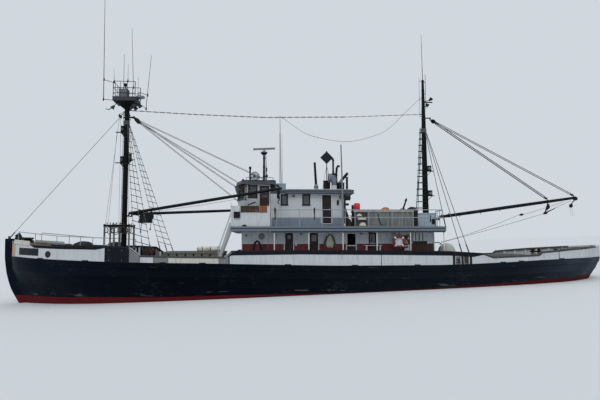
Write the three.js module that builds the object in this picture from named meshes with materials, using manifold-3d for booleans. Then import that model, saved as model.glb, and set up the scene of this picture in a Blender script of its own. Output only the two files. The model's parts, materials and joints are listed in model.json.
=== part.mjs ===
// Wooden coastal freighter, afloat: decked hull, bulwarks, two-storey deckhouse amidships,
// two masts, three cargo booms, rudder and propeller.
// Millimetres. Ship axes: +X forward, +Y port, +Z up. The origin is on the centreline amidships
// at the load line. She floats trimmed by the stern, so the whole group is pitched at the end.

import * as THREE from 'three';
import { mergeVertices } from 'three/addons/utils/BufferGeometryUtils.js';
import Module from 'manifold-3d';

const wasm = await Module();
wasm.setup();

// Driving dimensions

const TRIM_DEG = 2.04;            // bow up
const SEAT = 0.3;                 // gap between pieces that touch
const SWING = 6;                  // gap round a moving panel
const BOW = 19150;                // deck edge where the planking meets the stem
const STERN = -19880;             // deck edge at the fantail
const HALF_BEAM = 3900;
const KEEL_Z = -2750;
const KEEL_HALF = 160;

const FOREMAST_X = 12180;
const MAINMAST_X = -7975;

const BOAT_DECK = { bottom: 3800, top: 4080, half: 3450, fore: 5000, aft: -8150 };
const HOUSE = { fore: 4380, aft: -7700, half: 2500, wall: 80 };
const BRIDGE = { aft: 2610, half: 1750, wall: 60, top: 6830 };
const CABIN = { fore: 2600, aft: -1980, half: 2000, wall: 60, top: 6200 };
const RAIL_TOP = 5100;
const RAIL_MID = 4630;
const RAIL_Y = 3330;
const BAR = 4;                    // sides of rails, wires and other thin bars
const DODGER = { top: 5300, aft: 2660, wall: 50 };

// Small tools for shapes

const SIDES = [['port', 1], ['starboard', -1]];
const lerp = (a, b, t) => a + (b - a) * t;

/** Straight-line interpolation in rows [x, value] sorted by rising x. */
function along(rows, x, column = 1) {
  const last = rows.length - 1;
  if (x <= rows[0][0]) return rows[0][column];
  if (x >= rows[last][0]) return rows[last][column];
  const i = rows.findIndex((row) => row[0] > x);
  const t = (x - rows[i - 1][0]) / (rows[i][0] - rows[i - 1][0]);
  return lerp(rows[i - 1][column], rows[i][column], t);
}

/** Closed three.js geometry to a solid, turned outside out if its faces point in. */
function toSolid(geometry) {
  const bare = geometry.clone();
  bare.deleteAttribute('normal');
  bare.deleteAttribute('uv');
  const merged = mergeVertices(bare, 1e-3);
  const points = new Float32Array(merged.attributes.position.array);
  const faces = new Uint32Array(merged.index.array);
  let volume = 0;
  const p = (i) => [points[3 * i], points[3 * i + 1], points[3 * i + 2]];
  for (let f = 0; f < faces.length; f += 3) {
    const [a, b, c] = [p(faces[f]), p(faces[f + 1]), p(faces[f + 2])];
    volume += a[0] * (b[1] * c[2] - b[2] * c[1]) - a[1] * (b[0] * c[2] - b[2] * c[0])
      + a[2] * (b[0] * c[1] - b[1] * c[0]);
  }
  if (volume < 0) faces.reverse();
  return new wasm.Manifold(new wasm.Mesh({ numProp: 3, vertProperties: points, triVerts: faces }));
}

const join = (...solids) => solids.flat().reduce((sum, next) => sum.add(next));
const cut = (solid, ...tools) => tools.flat().reduce((rest, tool) => rest.subtract(tool), solid);
const mirrored = (solid) => solid.mirror([0, 1, 0]);
const onSide = (solid, side) => (side > 0 ? solid : mirrored(solid));

function box(x0, x1, y0, y1, z0, z1) {
  const g = new THREE.BoxGeometry(Math.abs(x1 - x0), Math.abs(y1 - y0), Math.abs(z1 - z0));
  g.translate((x0 + x1) / 2, (y0 + y1) / 2, (z0 + z1) / 2);
  return toSolid(g);
}

/** Round bar from a to b, radius ra at a and rb at b. */
function rod(a, b, ra, sides = BAR, rb = ra) {
  const from = new THREE.Vector3(...a);
  const to = new THREE.Vector3(...b);
  const axis = to.clone().sub(from);
  const g = new THREE.CylinderGeometry(rb, ra, axis.length(), sides);
  g.applyQuaternion(new THREE.Quaternion().setFromUnitVectors(
    new THREE.Vector3(0, 1, 0), axis.clone().normalize()));
  g.translate(...from.add(to).multiplyScalar(0.5).toArray());
  return toSolid(g);
}

/** Plate with an outline of [x, z] points, from y0 to y1. */
function plateXZ(outline, y0, y1) {
  const shape = new THREE.Shape(outline.map(([x, z]) => new THREE.Vector2(x, z)));
  const g = new THREE.ExtrudeGeometry(shape, { depth: y1 - y0, bevelEnabled: false });
  g.applyMatrix4(new THREE.Matrix4().makeBasis(
    new THREE.Vector3(1, 0, 0), new THREE.Vector3(0, 0, 1), new THREE.Vector3(0, -1, 0)));
  g.translate(0, y1, 0);
  return toSolid(g);
}

/** Upright prism with a plan outline of [x, y] points, from z0 to z1. */
function prism(outline, z0, z1) {
  const shape = new THREE.Shape(outline.map(([x, y]) => new THREE.Vector2(x, y)));
  const g = new THREE.ExtrudeGeometry(shape, { depth: z1 - z0, bevelEnabled: false });
  g.translate(0, 0, z0);
  return toSolid(g);
}

/** Solid of revolution about +Z at [x, y], from [radius, z] points that start and end at radius 0. */
function lathe(profile, x, y, sides = 16) {
  const g = new THREE.LatheGeometry(profile.map(([r, z]) => new THREE.Vector2(r, z)), sides);
  g.rotateX(Math.PI / 2);
  g.translate(x, y, 0);
  return toSolid(g);
}

/** Closed body through loops of equal point count. Each end is closed in strips across the loop. */
function loft(loops) {
  const n = loops[0].length;
  const points = loops.flat(2);
  const faces = [];
  for (let i = 0; i + 1 < loops.length; i += 1) {
    for (let k = 0; k < n; k += 1) {
      const a = i * n + k;
      const b = i * n + ((k + 1) % n);
      faces.push(a, b, b + n, a, b + n, a + n);
    }
  }
  for (const [start, flip] of [[0, true], [(loops.length - 1) * n, false]]) {
    for (let k = 0; k < n / 2 - 1; k += 1) {
      const quad = [start + k, start + k + 1, start + n - 2 - k, start + n - 1 - k];
      if (flip) quad.reverse();
      faces.push(quad[0], quad[1], quad[2], quad[0], quad[2], quad[3]);
    }
  }
  const g = new THREE.BufferGeometry();
  g.setAttribute('position', new THREE.Float32BufferAttribute(points, 3));
  g.setIndex(faces);
  return toSolid(g);
}

/** Radius of a round hole whose flats clear a round bar of radius r with the same side count. */
const bore = (r, sides) => (r + 0.25) / Math.cos(Math.PI / sides);

// The ship as a scene graph

const ship = new THREE.Group();
ship.rotation.y = -THREE.MathUtils.degToRad(TRIM_DEG);

const paint = (color, roughness = 0.7, metalness = 0) => (
  new THREE.MeshStandardMaterial({ color, roughness, metalness }));
const PAINT = {
  hull: paint(0x11151f, 0.6),
  white: paint(0xc6ccd2, 0.6),
  slate: paint(0x5c6b7c, 0.6),
  wood: paint(0x4a2f22, 0.7),
  black: paint(0x15161a, 0.6),
  mast: paint(0x2a1f1d, 0.6),
  wire: paint(0x4c4f55, 0.5, 0.6),
  grey: paint(0x7d868e, 0.6),
  rust: paint(0x5a3327, 0.8),
  canvas: paint(0xd0d3d2, 0.9),
  bronze: paint(0x8a6b3c, 0.4, 0.8),
  red: paint(0x7a1a20, 0.6),
};

function add(name, solid, material) {
  const raw = solid.getMesh();
  const g = new THREE.BufferGeometry();
  g.setAttribute('position', new THREE.BufferAttribute(raw.vertProperties, 3));
  g.setIndex(new THREE.BufferAttribute(raw.triVerts, 1));
  g.computeVertexNormals();
  const mesh = new THREE.Mesh(g, material);
  mesh.name = name;
  ship.add(mesh);
}

// Hull
// Stations: share of the length from the stern, then how full the hull is there at the deck,
// at the load line and at the bilge, and the height of the deck edge.

const STATIONS = [
  [0.000, 0.05, 0.045, 0.05, 2130],
  [0.008, 0.240, 0.170, 0.05, 2120],
  [0.025, 0.39, 0.290, 0.05, 2105],
  [0.050, 0.60, 0.470, 0.06, 2085],
  [0.090, 0.77, 0.660, 0.12, 2050],
  [0.140, 0.87, 0.790, 0.27, 1980],
  [0.220, 0.94, 0.900, 0.52, 1830],
  [0.330, 0.985, 0.97, 0.80, 1715],
  [0.450, 1.00, 1.000, 1.00, 1715],
  [0.570, 1.00, 1.000, 1.00, 1790],
  [0.680, 1.00, 0.985, 0.92, 1890],
  [0.770, 0.985, 0.93, 0.72, 1950],
  [0.840, 0.945, 0.83, 0.50, 2040],
  [0.890, 0.87, 0.690, 0.33, 2120],
  [0.930, 0.75, 0.510, 0.20, 2200],
  [0.965, 0.53, 0.290, 0.10, 2270],
  [0.985, 0.32, 0.150, 0.07, 2300],
  [1.000, 0.05, 0.040, 0.05, 2290],
];
const [AT_DECK, AT_WATER, AT_BILGE] = [1, 2, 3];

// Levels from the deck down: bow x, stern x, half breadth, height (below the deck edge where
// sheer is true) and the fullness column. Pairs at one height are the ledges of the two wales.
const LEVELS = [
  { bow: BOW, stern: STERN, half: HALF_BEAM, z: 0, sheer: true, full: AT_DECK },
  { bow: BOW - 10, stern: STERN + 90, half: HALF_BEAM, z: -320, sheer: true, full: AT_DECK },
  { bow: BOW - 20, stern: STERN + 130, half: HALF_BEAM - 50, z: -320, sheer: true, full: AT_DECK },
  { bow: BOW - 80, stern: STERN + 400, half: HALF_BEAM - 50, z: -800, sheer: true, full: AT_DECK },
  { bow: BOW - 90, stern: STERN + 430, half: HALF_BEAM - 90, z: -800, sheer: true, full: AT_DECK },
  { bow: 18700, stern: -18900, half: 3740, z: 300, full: AT_WATER },
  { bow: 18150, stern: -17350, half: 3480, z: -700, full: AT_WATER },
  { bow: 17850, stern: -15900, half: 3150, z: -1150, full: AT_BILGE },
  { bow: 17350, stern: -15900, half: 2500, z: -1800, full: AT_BILGE },
  { bow: 16750, stern: -15900, half: 1000, z: -2350, full: AT_BILGE },
  { bow: 16200, stern: -15900, half: KEEL_HALF, z: KEEL_Z, full: AT_BILGE },
];

function hullPoint(level, station, side) {
  const [share] = station;
  const x = lerp(level.stern, level.bow, share);
  const y = Math.max(KEEL_HALF, level.half * station[level.full]);
  const z = level.sheer ? station[4] + level.z : level.z;
  return [x, side * y, z];
}

/** Deck edge at x: half breadth and height. */
const DECK_EDGE = STATIONS.map((station) => {
  const [x, y, z] = hullPoint(LEVELS[0], station, 1);
  return [x, y, z];
});
const deckHalf = (x) => along(DECK_EDGE, x, 1);
const deckZ = (x) => along(DECK_EDGE, x, 2);

// Stem post: its fore edge from the head down to the keel, then back inside the hull.
const STEM = { half: 170, aft: 19110, head: 3430 };
const STEM_OUTLINE = [
  [STEM.aft, STEM.head], [19640, STEM.head], [19610, 2250], [19450, 1190], [19170, 310],
  [18600, -680], [18250, -1250], [17700, -1900], [17000, -2450], [16200, KEEL_Z],
  [15600, KEEL_Z], [15600, -2600], [17200, -1400], [18200, 200], [18900, 1900], [STEM.aft, 2000],
];
const RUDDER_X = -17180;
const PROP = { x: -16300, z: -1750, radius: 620, shaft: 90 };
const SOLE = { x0: -17450, x1: -15700, half: 130, z0: KEEL_Z, z1: KEEL_Z + 190 };
const STOCK = { radius: 85, top: -300 };

function hullSolid() {
  const loops = STATIONS.map((station) => [
    ...LEVELS.map((level) => hullPoint(level, station, 1)),
    ...[...LEVELS].reverse().map((level) => hullPoint(level, station, -1)),
  ]);
  const stem = plateXZ(STEM_OUTLINE, -STEM.half, STEM.half);
  const sole = box(SOLE.x0, SOLE.x1, -SOLE.half, SOLE.half, SOLE.z0, SOLE.z1);
  const shaftHole = rod([-15900 - 400, 0, PROP.z], [-15500, 0, PROP.z], bore(PROP.shaft, 32), 32);
  const stockHole = rod([RUDDER_X, 0, -1200], [RUDDER_X, 0, STOCK.top + 40],
    bore(STOCK.radius, 24), 24);
  return cut(join(loft(loops), stem, sole), shaftHole, stockHole);
}
const deckBody = hullSolid();
const onDeck = deckBody.translate(0, 0, SEAT);

/** Trims a piece that stands on the deck to the deck's own slope. */
const standOnDeck = (solid) => cut(solid, onDeck);

/** Open coaming that rises from the deck. */
function coaming({ x0, x1, half, top }) {
  const wall = 100;
  return cut(box(x0, x1, -half, half, 1500, top),
    box(x0 + wall, x1 - wall, -half + wall, half - wall, 1000, top + 100));
}
const FORE_HATCH = { name: 'fore_hatch', x0: 5600, x1: 9300, half: 1500, top: 2450, cover: 2570 };
const AFT_HATCH = { name: 'aft_hatch', x0: -14200, x1: -11000, half: 1200, top: 2180, cover: 2270 };
const HATCHES = [FORE_HATCH, AFT_HATCH];

/** Pair of mooring posts with a cross bar. */
function bitts(x, y) {
  const posts = [-230, 230].map((d) => rod([x + d, y, 1500], [x + d, y, deckZ(x) + 620], 100, 10));
  return join(posts, rod([x - 420, y, deckZ(x) + 400], [x + 420, y, deckZ(x) + 400], 50));
}
const BITTS = [[-16400, 1500], [-16400, -1500], [15500, 1500], [15500, -1500]];

add('hull', join(deckBody, HATCHES.map(coaming), BITTS.map(([x, y]) => bitts(x, y))), PAINT.hull);
for (const hatch of HATCHES) {
  add(`${hatch.name}_cover`, box(hatch.x0 - 40, hatch.x1 + 40, -hatch.half - 40, hatch.half + 40,
    hatch.top + SEAT, hatch.cover), PAINT.wood);
}

// Rudder and propeller

function rudder() {
  const blade = plateXZ([
    [RUDDER_X + 90, -900], [RUDDER_X - 700, -820], [RUDDER_X - 1150, -1250],
    [RUDDER_X - 1080, -2420], [RUDDER_X + 90, -2500],
  ], -55, 55);
  const stock = rod([RUDDER_X, 0, -2500], [RUDDER_X, 0, STOCK.top], STOCK.radius, 24);
  const heel = rod([RUDDER_X, 0, SOLE.z1 + SEAT], [RUDDER_X, 0, -2480], 70, 12);
  return join(blade, stock, heel);
}
add('rudder', rudder(), PAINT.red);

function propeller() {
  const hub = rod([PROP.x - 260, 0, PROP.z], [PROP.x + 200, 0, PROP.z], 90, 16, 130);
  const shaft = rod([PROP.x + 100, 0, PROP.z], [-15540, 0, PROP.z], PROP.shaft, 32);
  const r = PROP.radius;
  const blade = plateXZ([[-90, 60], [-0.3 * r, 0.55 * r], [-0.22 * r, 0.92 * r], [0, r],
    [0.22 * r, 0.92 * r], [0.3 * r, 0.55 * r], [90, 60]], -16, 16).rotate([0, 0, 62]);
  const blades = [0, 90, 180, 270].map((a) => (
    blade.rotate([a, 0, 0]).translate(PROP.x, 0, PROP.z)));
  return join(hub, shaft, blades);
}
add('propeller', propeller(), PAINT.bronze);

// Bulwarks
// Top of the cap rail along the ship: high at the bow, low at the two waists, high amidships.

const BULWARK_TOP = [
  [STERN, 2910], [-16400, 2690], [-14240, 2510], [-14030, 2340], [-10980, 2220],
  [-10370, 2440], [-8230, 2570], [-5160, 2620], [870, 2680], [4920, 2640],
  [5300, 2300], [7910, 2335], [10200, 2400], [10860, 2885], [12240, 2960],
  [14780, 3010], [16500, 3080], [BOW, 3290],
];
const BULWARK = { wall: 110, cap: 260, capHigh: 110, inset: 12, overhang: 20 };
const BULWARK_PARTS = [['bow', 10200, BOW], ['waist', -14240, 10200], ['quarter', STERN, -14240]];

/** Points of the deck edge from x0 to x1 with the inward direction in plan. */
function edgePath(x0, x1, extra) {
  const xs = [x0, x1, ...extra, ...DECK_EDGE.map((row) => row[0])]
    .filter((x) => x >= x0 && x <= x1)
    .sort((a, b) => a - b)
    .filter((x, i, all) => i === 0 || x - all[i - 1] > 1);
  return xs.map((x) => {
    const step = 40;
    const slope = (deckHalf(Math.min(x + step, BOW)) - deckHalf(Math.max(x - step, STERN)))
      / (Math.min(x + step, BOW) - Math.max(x - step, STERN));
    const length = Math.hypot(1, slope);
    return { x, y: deckHalf(x), z: deckZ(x), inward: [slope / length, -1 / length] };
  });
}

/** Band along the deck edge between two insets and two heights, on the port side. */
function edgeBand(path, inset0, inset1, low, high) {
  const at = (p, inset, z) => [
    p.x + p.inward[0] * inset, Math.max(1, p.y + p.inward[1] * inset), z];
  return loft(path.map((p) => [
    at(p, inset0, low(p)), at(p, inset1, low(p)), at(p, inset1, high(p)), at(p, inset0, high(p)),
  ]));
}

const FAIRLEADS = [-8740, -9260];   // mooring ports with rollers, each side
const HAWSE = { x: 15700, z: 2462, radius: 140 };

function bulwark(x0, x1, part) {
  const path = edgePath(x0 + SEAT, x1 - SEAT, BULWARK_TOP.map((row) => row[0]));
  const top = (p) => along(BULWARK_TOP, p.x);
  const wall = edgeBand(path, BULWARK.inset, BULWARK.inset + BULWARK.wall,
    (p) => p.z - 40, (p) => top(p) - BULWARK.capHigh / 2);
  const cap = edgeBand(path, -BULWARK.overhang, BULWARK.cap - BULWARK.overhang,
    (p) => top(p) - BULWARK.capHigh, top);
  let solid = join(wall, cap);
  if (part === 'waist') {
    const ports = FAIRLEADS.map((x) => box(x - 150, x + 150, 3000, 4200, 1960, 2240));
    solid = cut(solid, ports);
  }
  if (part === 'bow') {
    const hawse = rod([HAWSE.x, 2000, HAWSE.z], [HAWSE.x, 4200, HAWSE.z], HAWSE.radius, 16);
    const stem = box(STEM.aft - SEAT, BOW + 500, -STEM.half - SEAT, STEM.half + SEAT, 1500, 4000);
    solid = join(cut(solid, hawse, stem), forecastleRail());
  }
  if (part === 'quarter') solid = join(solid, ...sternBulwark());
  return standOnDeck(solid);
}

/** Wall and cap across the flat of the stern, on the port side. */
function sternBulwark() {
  const { wall, cap, capHigh, inset, overhang } = BULWARK;
  const top = BULWARK_TOP[0][1];
  return [
    box(STERN + inset, STERN + inset + wall, SEAT / 2, 190, deckZ(STERN) - 20, top - capHigh / 2),
    box(STERN - overhang, STERN - overhang + cap, SEAT / 2, 230, top - capHigh, top),
  ];
}

// Pipe rail above the forecastle bulwark

const FORE_RAIL = [[12300, 3400], [15200, 3540], [18100, 3830]];
function forecastleRail() {
  const y = (x) => deckHalf(x) - 130;
  const bars = FORE_RAIL.slice(1).map(([x, z], i) => (
    rod([FORE_RAIL[i][0], y(FORE_RAIL[i][0]), FORE_RAIL[i][1]], [x, y(x), z], 22)));
  const posts = [12300, 13750, 15200, 16650, 18100].map((x) => (
    rod([x, y(x), along(BULWARK_TOP, x) - 60], [x, y(x), along(FORE_RAIL, x)], 22)));
  const joints = FORE_RAIL.slice(1, 2).map(([x, z]) => rod([x, y(x), z - 22], [x, y(x), z + 22], 24, 8));
  return join(bars, posts, joints);
}

const RAIL_SOLIDS = {};
for (const [part, x0, x1] of BULWARK_PARTS) {
  RAIL_SOLIDS[part] = bulwark(x0, x1, part);
  for (const [label, side] of SIDES) {
    add(`bulwark_${part}_${label}`, onSide(RAIL_SOLIDS[part], side), PAINT.white);
  }
}

// Doors
// Each leaf sits flush in its wall and swings outward on two knuckles outside the wall's face.

const DOOR = { leaf: 45, knuckle: 13, stand: 14, height: 60 };

/** Knuckle heights of a door between z0 and z1. */
const knuckleHeights = (z0, z1) => [lerp(z0, z1, 0.14), lerp(z0, z1, 0.86)];

/** Lower knuckles, part of the port wall with its outer face at y. */
function wallKnuckles(door, y) {
  const x = door.hinge + door.away * DOOR.stand;
  return knuckleHeights(door.z0, door.z1).map((z) => join(
    rod([x, y + DOOR.stand, z - DOOR.height], [x, y + DOOR.stand, z], DOOR.knuckle, 10),
    box(x - 9, x + 9, y - 5, y + DOOR.stand, z - DOOR.height, z),
  ));
}

/** Door leaf with its upper knuckles and straps, for the port wall with its outer face at y. */
function doorLeaf(door, y) {
  const [x0, x1] = [door.x0 + SWING, door.x1 - SWING];
  const axis = door.hinge + door.away * DOOR.stand;
  let leaf = box(x0, x1, y - DOOR.leaf, y, door.z0 + SWING, door.z1 - SWING);
  if (door.light) {
    const [margin, low, high] = door.light;
    leaf = cut(leaf, box(x0 + margin, x1 - margin, y - 100, y + 100, low, high));
  }
  const reach = door.hinge - door.away * 160;
  const straps = knuckleHeights(door.z0, door.z1).map((z) => join(
    rod([axis, y + DOOR.stand, z + SEAT], [axis, y + DOOR.stand, z + DOOR.height],
      DOOR.knuckle, 10),
    box(axis, reach, y + 3, y + DOOR.stand + 4, z + 4, z + DOOR.height - 4),
    box(door.hinge - door.away * 30, reach, y - 5, y + 6, z + 4, z + DOOR.height - 4),
  ));
  return join(leaf, straps);
}

// away: +1 where the hinge is at the door's forward edge, -1 at its after edge.
const HOUSE_SILL = 1950;
const HOUSE_DOORS = [
  { name: 'galley_door', x0: 1220, x1: 1700, z0: HOUSE_SILL, z1: 3700, away: 1,
    light: [130, 3340, 3560] },
  { name: 'engine_room_door', x0: -340, x1: 180, z0: HOUSE_SILL, z1: 3700, away: 1,
    light: [90, 3180, 3580] },
  { name: 'mess_half_door', x0: -2690, x1: -2180, z0: HOUSE_SILL, z1: 2950, away: 1 },
];
const MESS_DOORWAY_TOP = 3660;
const BRIDGE_DOOR = { name: 'wheelhouse_door', x0: 2700, x1: 3300, z0: 4280, z1: 6730, away: 1,
  light: [110, 6000, 6620] };
const CABIN_DOOR = { name: 'cabin_door', x0: -1240, x1: -670, z0: 4330, z1: 6130, away: 1 };
for (const door of [...HOUSE_DOORS, BRIDGE_DOOR, CABIN_DOOR]) {
  door.hinge = door.away > 0 ? door.x1 : door.x0;
}

function addDoors(door, y) {
  const leaf = doorLeaf(door, y);
  for (const [label, side] of SIDES) {
    add(`${door.name}_${label}`, onSide(leaf, side), PAINT.wood);
  }
}

/** Hollow house: plan outline and its inner outline, with side openings cut through both sides. */
function house(outer, inner, z0, z1, holes) {
  const shell = cut(prism(outer, z0, z1), prism(inner, z0 - 100, z1 + 100));
  return cut(shell, holes);
}

// Main deckhouse

const HOUSE_WINDOW = { x0: -3950, x1: -3570, z0: 3020, z1: 3690 };
const FRONT_PORTS = [-1500, -500, 500, 1500];   // windows in the front wall, y of their centres

function rect(x0, x1, half) {
  return [[x0, -half], [x1, -half], [x1, half], [x0, half]];
}

function deckhouse() {
  const { fore, aft, half, wall } = HOUSE;
  const openings = [
    ...HOUSE_DOORS,
    { x0: -2690, x1: -2180, z0: 2950, z1: MESS_DOORWAY_TOP },
    HOUSE_WINDOW,
  ];
  const holes = openings.map((o) => box(o.x0, o.x1, -half - 200, half + 200, o.z0, o.z1));
  const front = FRONT_PORTS.map((y) => box(fore - 300, fore + 300, y - 220, y + 220, 2950, 3450));
  const aftDoor = box(aft - 300, aft + 300, 700, 1350, 1950, 3650);
  const shell = house(rect(aft, fore, half), rect(aft + wall, fore - wall, half - wall),
    1500, BOAT_DECK.bottom - SEAT, [...holes, ...front, aftDoor]);
  const knuckles = HOUSE_DOORS.flatMap((door) => wallKnuckles(door, half));
  return standOnDeck(join(shell, knuckles, knuckles.map(mirrored)));
}
add('deckhouse', deckhouse(), PAINT.white);
HOUSE_DOORS.forEach((door) => addDoors(door, HOUSE.half));

// Boat deck, its stanchions and rails

const TONGUE = { aft: -8420, half: 520 };      // carries the mainmast's collar
const MAST_BASE = 205;

function boatDeck() {
  const { bottom, top, half, fore, aft } = BOAT_DECK;
  const slab = prism([
    [fore, -half], [fore, half], [aft, half], [aft, TONGUE.half], [TONGUE.aft, TONGUE.half],
    [TONGUE.aft, -TONGUE.half], [aft, -TONGUE.half], [aft, -half],
  ], bottom, top);
  return cut(slab, rod([MAINMAST_X, 0, bottom - 100], [MAINMAST_X, 0, top + 100],
    bore(MAST_BASE, 16), 16));
}
add('boat_deck', boatDeck(), PAINT.slate);

const STANCHIONS = { first: 2390, pitch: 2089, count: 6, y: 3300, radius: 35 };

function stanchionRow() {
  const { first, pitch, count, y, radius } = STANCHIONS;
  const top = BOAT_DECK.bottom - SEAT;
  const posts = Array.from({ length: count }, (_, i) => {
    const x = first - pitch * i;
    return rod([x, y, 1600], [x, y, top - 40], radius, 8);
  });
  const beam = box(first + 200, first - pitch * (count - 1) - 100, y - 45, y + 45, top - 80, top);
  return standOnDeck(join(posts, beam));
}

const RAIL_POSTS = [2260, 870, -540, -1930, -3380, -4880, -6150, -7660];
const RAIL_R = 24;
const POST_R = 21;
const RAIL_END = 1790;                // the after rail stops here, beside the locker

function boatDeckRail() {
  const foot = BOAT_DECK.top + SEAT;
  const aft = BOAT_DECK.aft + 90;
  const post = (x, y) => rod([x, y, foot], [x, y, RAIL_TOP - 5], POST_R, 6);
  const posts = RAIL_POSTS.map((x) => post(x, RAIL_Y));
  const end = [[aft, RAIL_Y], [aft, 2560], [aft, RAIL_END]].map(([x, y]) => (
    post(x, y)));
  const bars = [RAIL_TOP, RAIL_MID].flatMap((z) => [
    rod([RAIL_POSTS[0] + 300, RAIL_Y, z], [aft, RAIL_Y, z], RAIL_R),
    rod([aft, RAIL_Y, z], [aft, RAIL_END, z], RAIL_R),
  ]);
  return join(posts, end, bars);
}
for (const [label, side] of SIDES) {
  add(`stanchions_${label}`, onSide(stanchionRow(), side), PAINT.white);
}
// The signal pole stands inside the port rail and is clamped to it.
const signalPole = join(
  rod([-1900, RAIL_Y - 90, BOAT_DECK.top + SEAT], [-1900, RAIL_Y - 90, 9120], 38, 8, 26),
  box(-1952, -1848, RAIL_Y - 112, RAIL_Y + 8, RAIL_TOP - 31, RAIL_TOP + 31),
);
add('boat_deck_rail_port', join(boatDeckRail(), signalPole), PAINT.grey);
add('boat_deck_rail_starboard', mirrored(boatDeckRail()), PAINT.grey);

// Bridge front and its side wings

const WING_Y = 3300;
const FORE_LADDER = { y0: 2250, y1: 2800 };
add('bridge_front', cut(
  box(BOAT_DECK.fore - DODGER.wall, BOAT_DECK.fore, -WING_Y, WING_Y, BOAT_DECK.top + SEAT,
    DODGER.top),
  box(BOAT_DECK.fore - 200, BOAT_DECK.fore + 200, FORE_LADDER.y0 - 60, FORE_LADDER.y1 + 60,
    BOAT_DECK.top + 60, DODGER.top - 60)), PAINT.white);
for (const [label, side] of SIDES) {
  const wing = box(DODGER.aft, BOAT_DECK.fore - DODGER.wall - SEAT, WING_Y - DODGER.wall, WING_Y,
    BOAT_DECK.top + SEAT, DODGER.top);
  add(`bridge_wing_${label}`, onSide(wing, side), PAINT.white);
}

// Wheelhouse, with a front of flat panels that bows forward

const BRIDGE_PLAN = [
  [BRIDGE.aft, BRIDGE.half], [4170, BRIDGE.half], [4600, 1050], [4750, 350],
  [4750, -350], [4600, -1050], [4170, -BRIDGE.half], [BRIDGE.aft, -BRIDGE.half],
];
const BRIDGE_SIDE_WINDOW = { x0: 3500, x1: 3980, z0: 6000, z1: 6720 };
// Front windows: centre of each panel and the angle it faces, from ahead.
const BRIDGE_FRONT_WINDOWS = [[4750, 0, 0], [4675, 700, 12], [4385, 1400, 58]];

function wheelhouse() {
  const inner = BRIDGE_PLAN.map(([x, y]) => [
    x + (x > BRIDGE.aft ? -1 : 1) * BRIDGE.wall, y * (1 - BRIDGE.wall / BRIDGE.half)]);
  const holes = [
    ...[BRIDGE_DOOR, BRIDGE_SIDE_WINDOW].map((o) => (
      box(o.x0, o.x1, -BRIDGE.half - 200, BRIDGE.half + 200, o.z0, o.z1))),
    ...BRIDGE_FRONT_WINDOWS.flatMap(([x, y, turn]) => (y === 0 ? [1] : [1, -1]).map((s) => (
      box(-250, 250, -230, 230, 6000, 6680).rotate([0, 0, s * turn]).translate(x, s * y, 0)))),
    box(BRIDGE.aft - 200, BRIDGE.aft + 200, -350, 350, 4300, 6000),
  ];
  const knuckles = wallKnuckles(BRIDGE_DOOR, BRIDGE.half);
  const shell = house(BRIDGE_PLAN, inner, BOAT_DECK.top + SEAT, BRIDGE.top - SEAT, holes);
  return join(shell, knuckles, knuckles.map(mirrored));
}
add('wheelhouse', wheelhouse(), PAINT.white);
addDoors(BRIDGE_DOOR, BRIDGE.half);

// Cabin abaft the wheelhouse

const CABIN_WINDOWS = [{ x0: 1560, x1: 1920 }, { x0: 150, x1: 550 }];
const WINDOW_Z = [5500, 6120];

function cabin() {
  const { fore, aft, half, wall, top } = CABIN;
  const holes = [
    ...CABIN_WINDOWS.map((w) => box(w.x0, w.x1, -half - 200, half + 200, ...WINDOW_Z)),
    box(CABIN_DOOR.x0, CABIN_DOOR.x1, -half - 200, half + 200, CABIN_DOOR.z0, CABIN_DOOR.z1),
    box(fore - 200, fore + 200, -350, 350, 4300, 6000),
    box(aft - 200, aft + 200, -900, -400, ...WINDOW_Z),
  ];
  const shell = house(rect(aft, fore, half), rect(aft + wall, fore - wall, half - wall),
    BOAT_DECK.top + SEAT, top - SEAT, holes);
  const knuckles = wallKnuckles(CABIN_DOOR, half);
  return join(shell, knuckles, knuckles.map(mirrored));
}
add('cabin', cabin(), PAINT.white);
addDoors(CABIN_DOOR, CABIN.half);

const CABIN_ROOF = { z0: CABIN.top, z1: 6430, aft: -2650, fore: 2600, wide: 2300, step: 1720 };
add('cabin_roof', prism([
  [CABIN_ROOF.aft, 2300], [CABIN_ROOF.step, 2300], [CABIN_ROOF.step, 2000],
  [CABIN_ROOF.fore, 2000], [CABIN_ROOF.fore, -2000], [CABIN_ROOF.step, -2000],
  [CABIN_ROOF.step, -2300], [CABIN_ROOF.aft, -2300],
], CABIN_ROOF.z0, CABIN_ROOF.z1), PAINT.slate);

// Roof gear

const BRIDGE_ROOF = { z0: BRIDGE.top, z1: 7050, aft: 2300 };
const RADAR = { x: 3040, top: 9230 };

function radarMast() {
  const foot = BRIDGE_ROOF.z1 + SEAT;
  return join(
    rod([RADAR.x, 0, foot], [RADAR.x, 0, 9000], 75, 10, 60),
    rod([RADAR.x, 0, foot], [RADAR.x, 0, foot + 30], 180, 12),
    lathe([[0, 8980], [90, 8980], [230, 9150], [230, RADAR.top], [0, RADAR.top]], RADAR.x, 0),
  );
}
add('radar_mast', radarMast(), PAINT.grey);
add('radar_scanner', join(
  rod([RADAR.x, 0, RADAR.top + SEAT], [RADAR.x, 0, 9400], 70, 12),
  box(-750, 750, -60, 60, 9380, 9500).rotate([0, 0, -14]).translate(RADAR.x, 0, 0),
), PAINT.grey);

/** Aerials on the cable box that stands against the roof's after edge. */
function bridgeAerials() {
  const [top, offRoof] = [6990, 20];
  return join(
    box(1610, BRIDGE_ROOF.aft + 30, 560, 900, CABIN_ROOF.z1 + offRoof, top),
    rod([1915, 650, top - 20], [1985, 650, 11560], 26, BAR, 14),
    rod([2030, 760, top - 20], [2010, 760, 10400], 16, BAR, 8),
    rod([1840, 820, top - 20], [1860, 820, 10300], 16, BAR, 8),
  );
}

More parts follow.
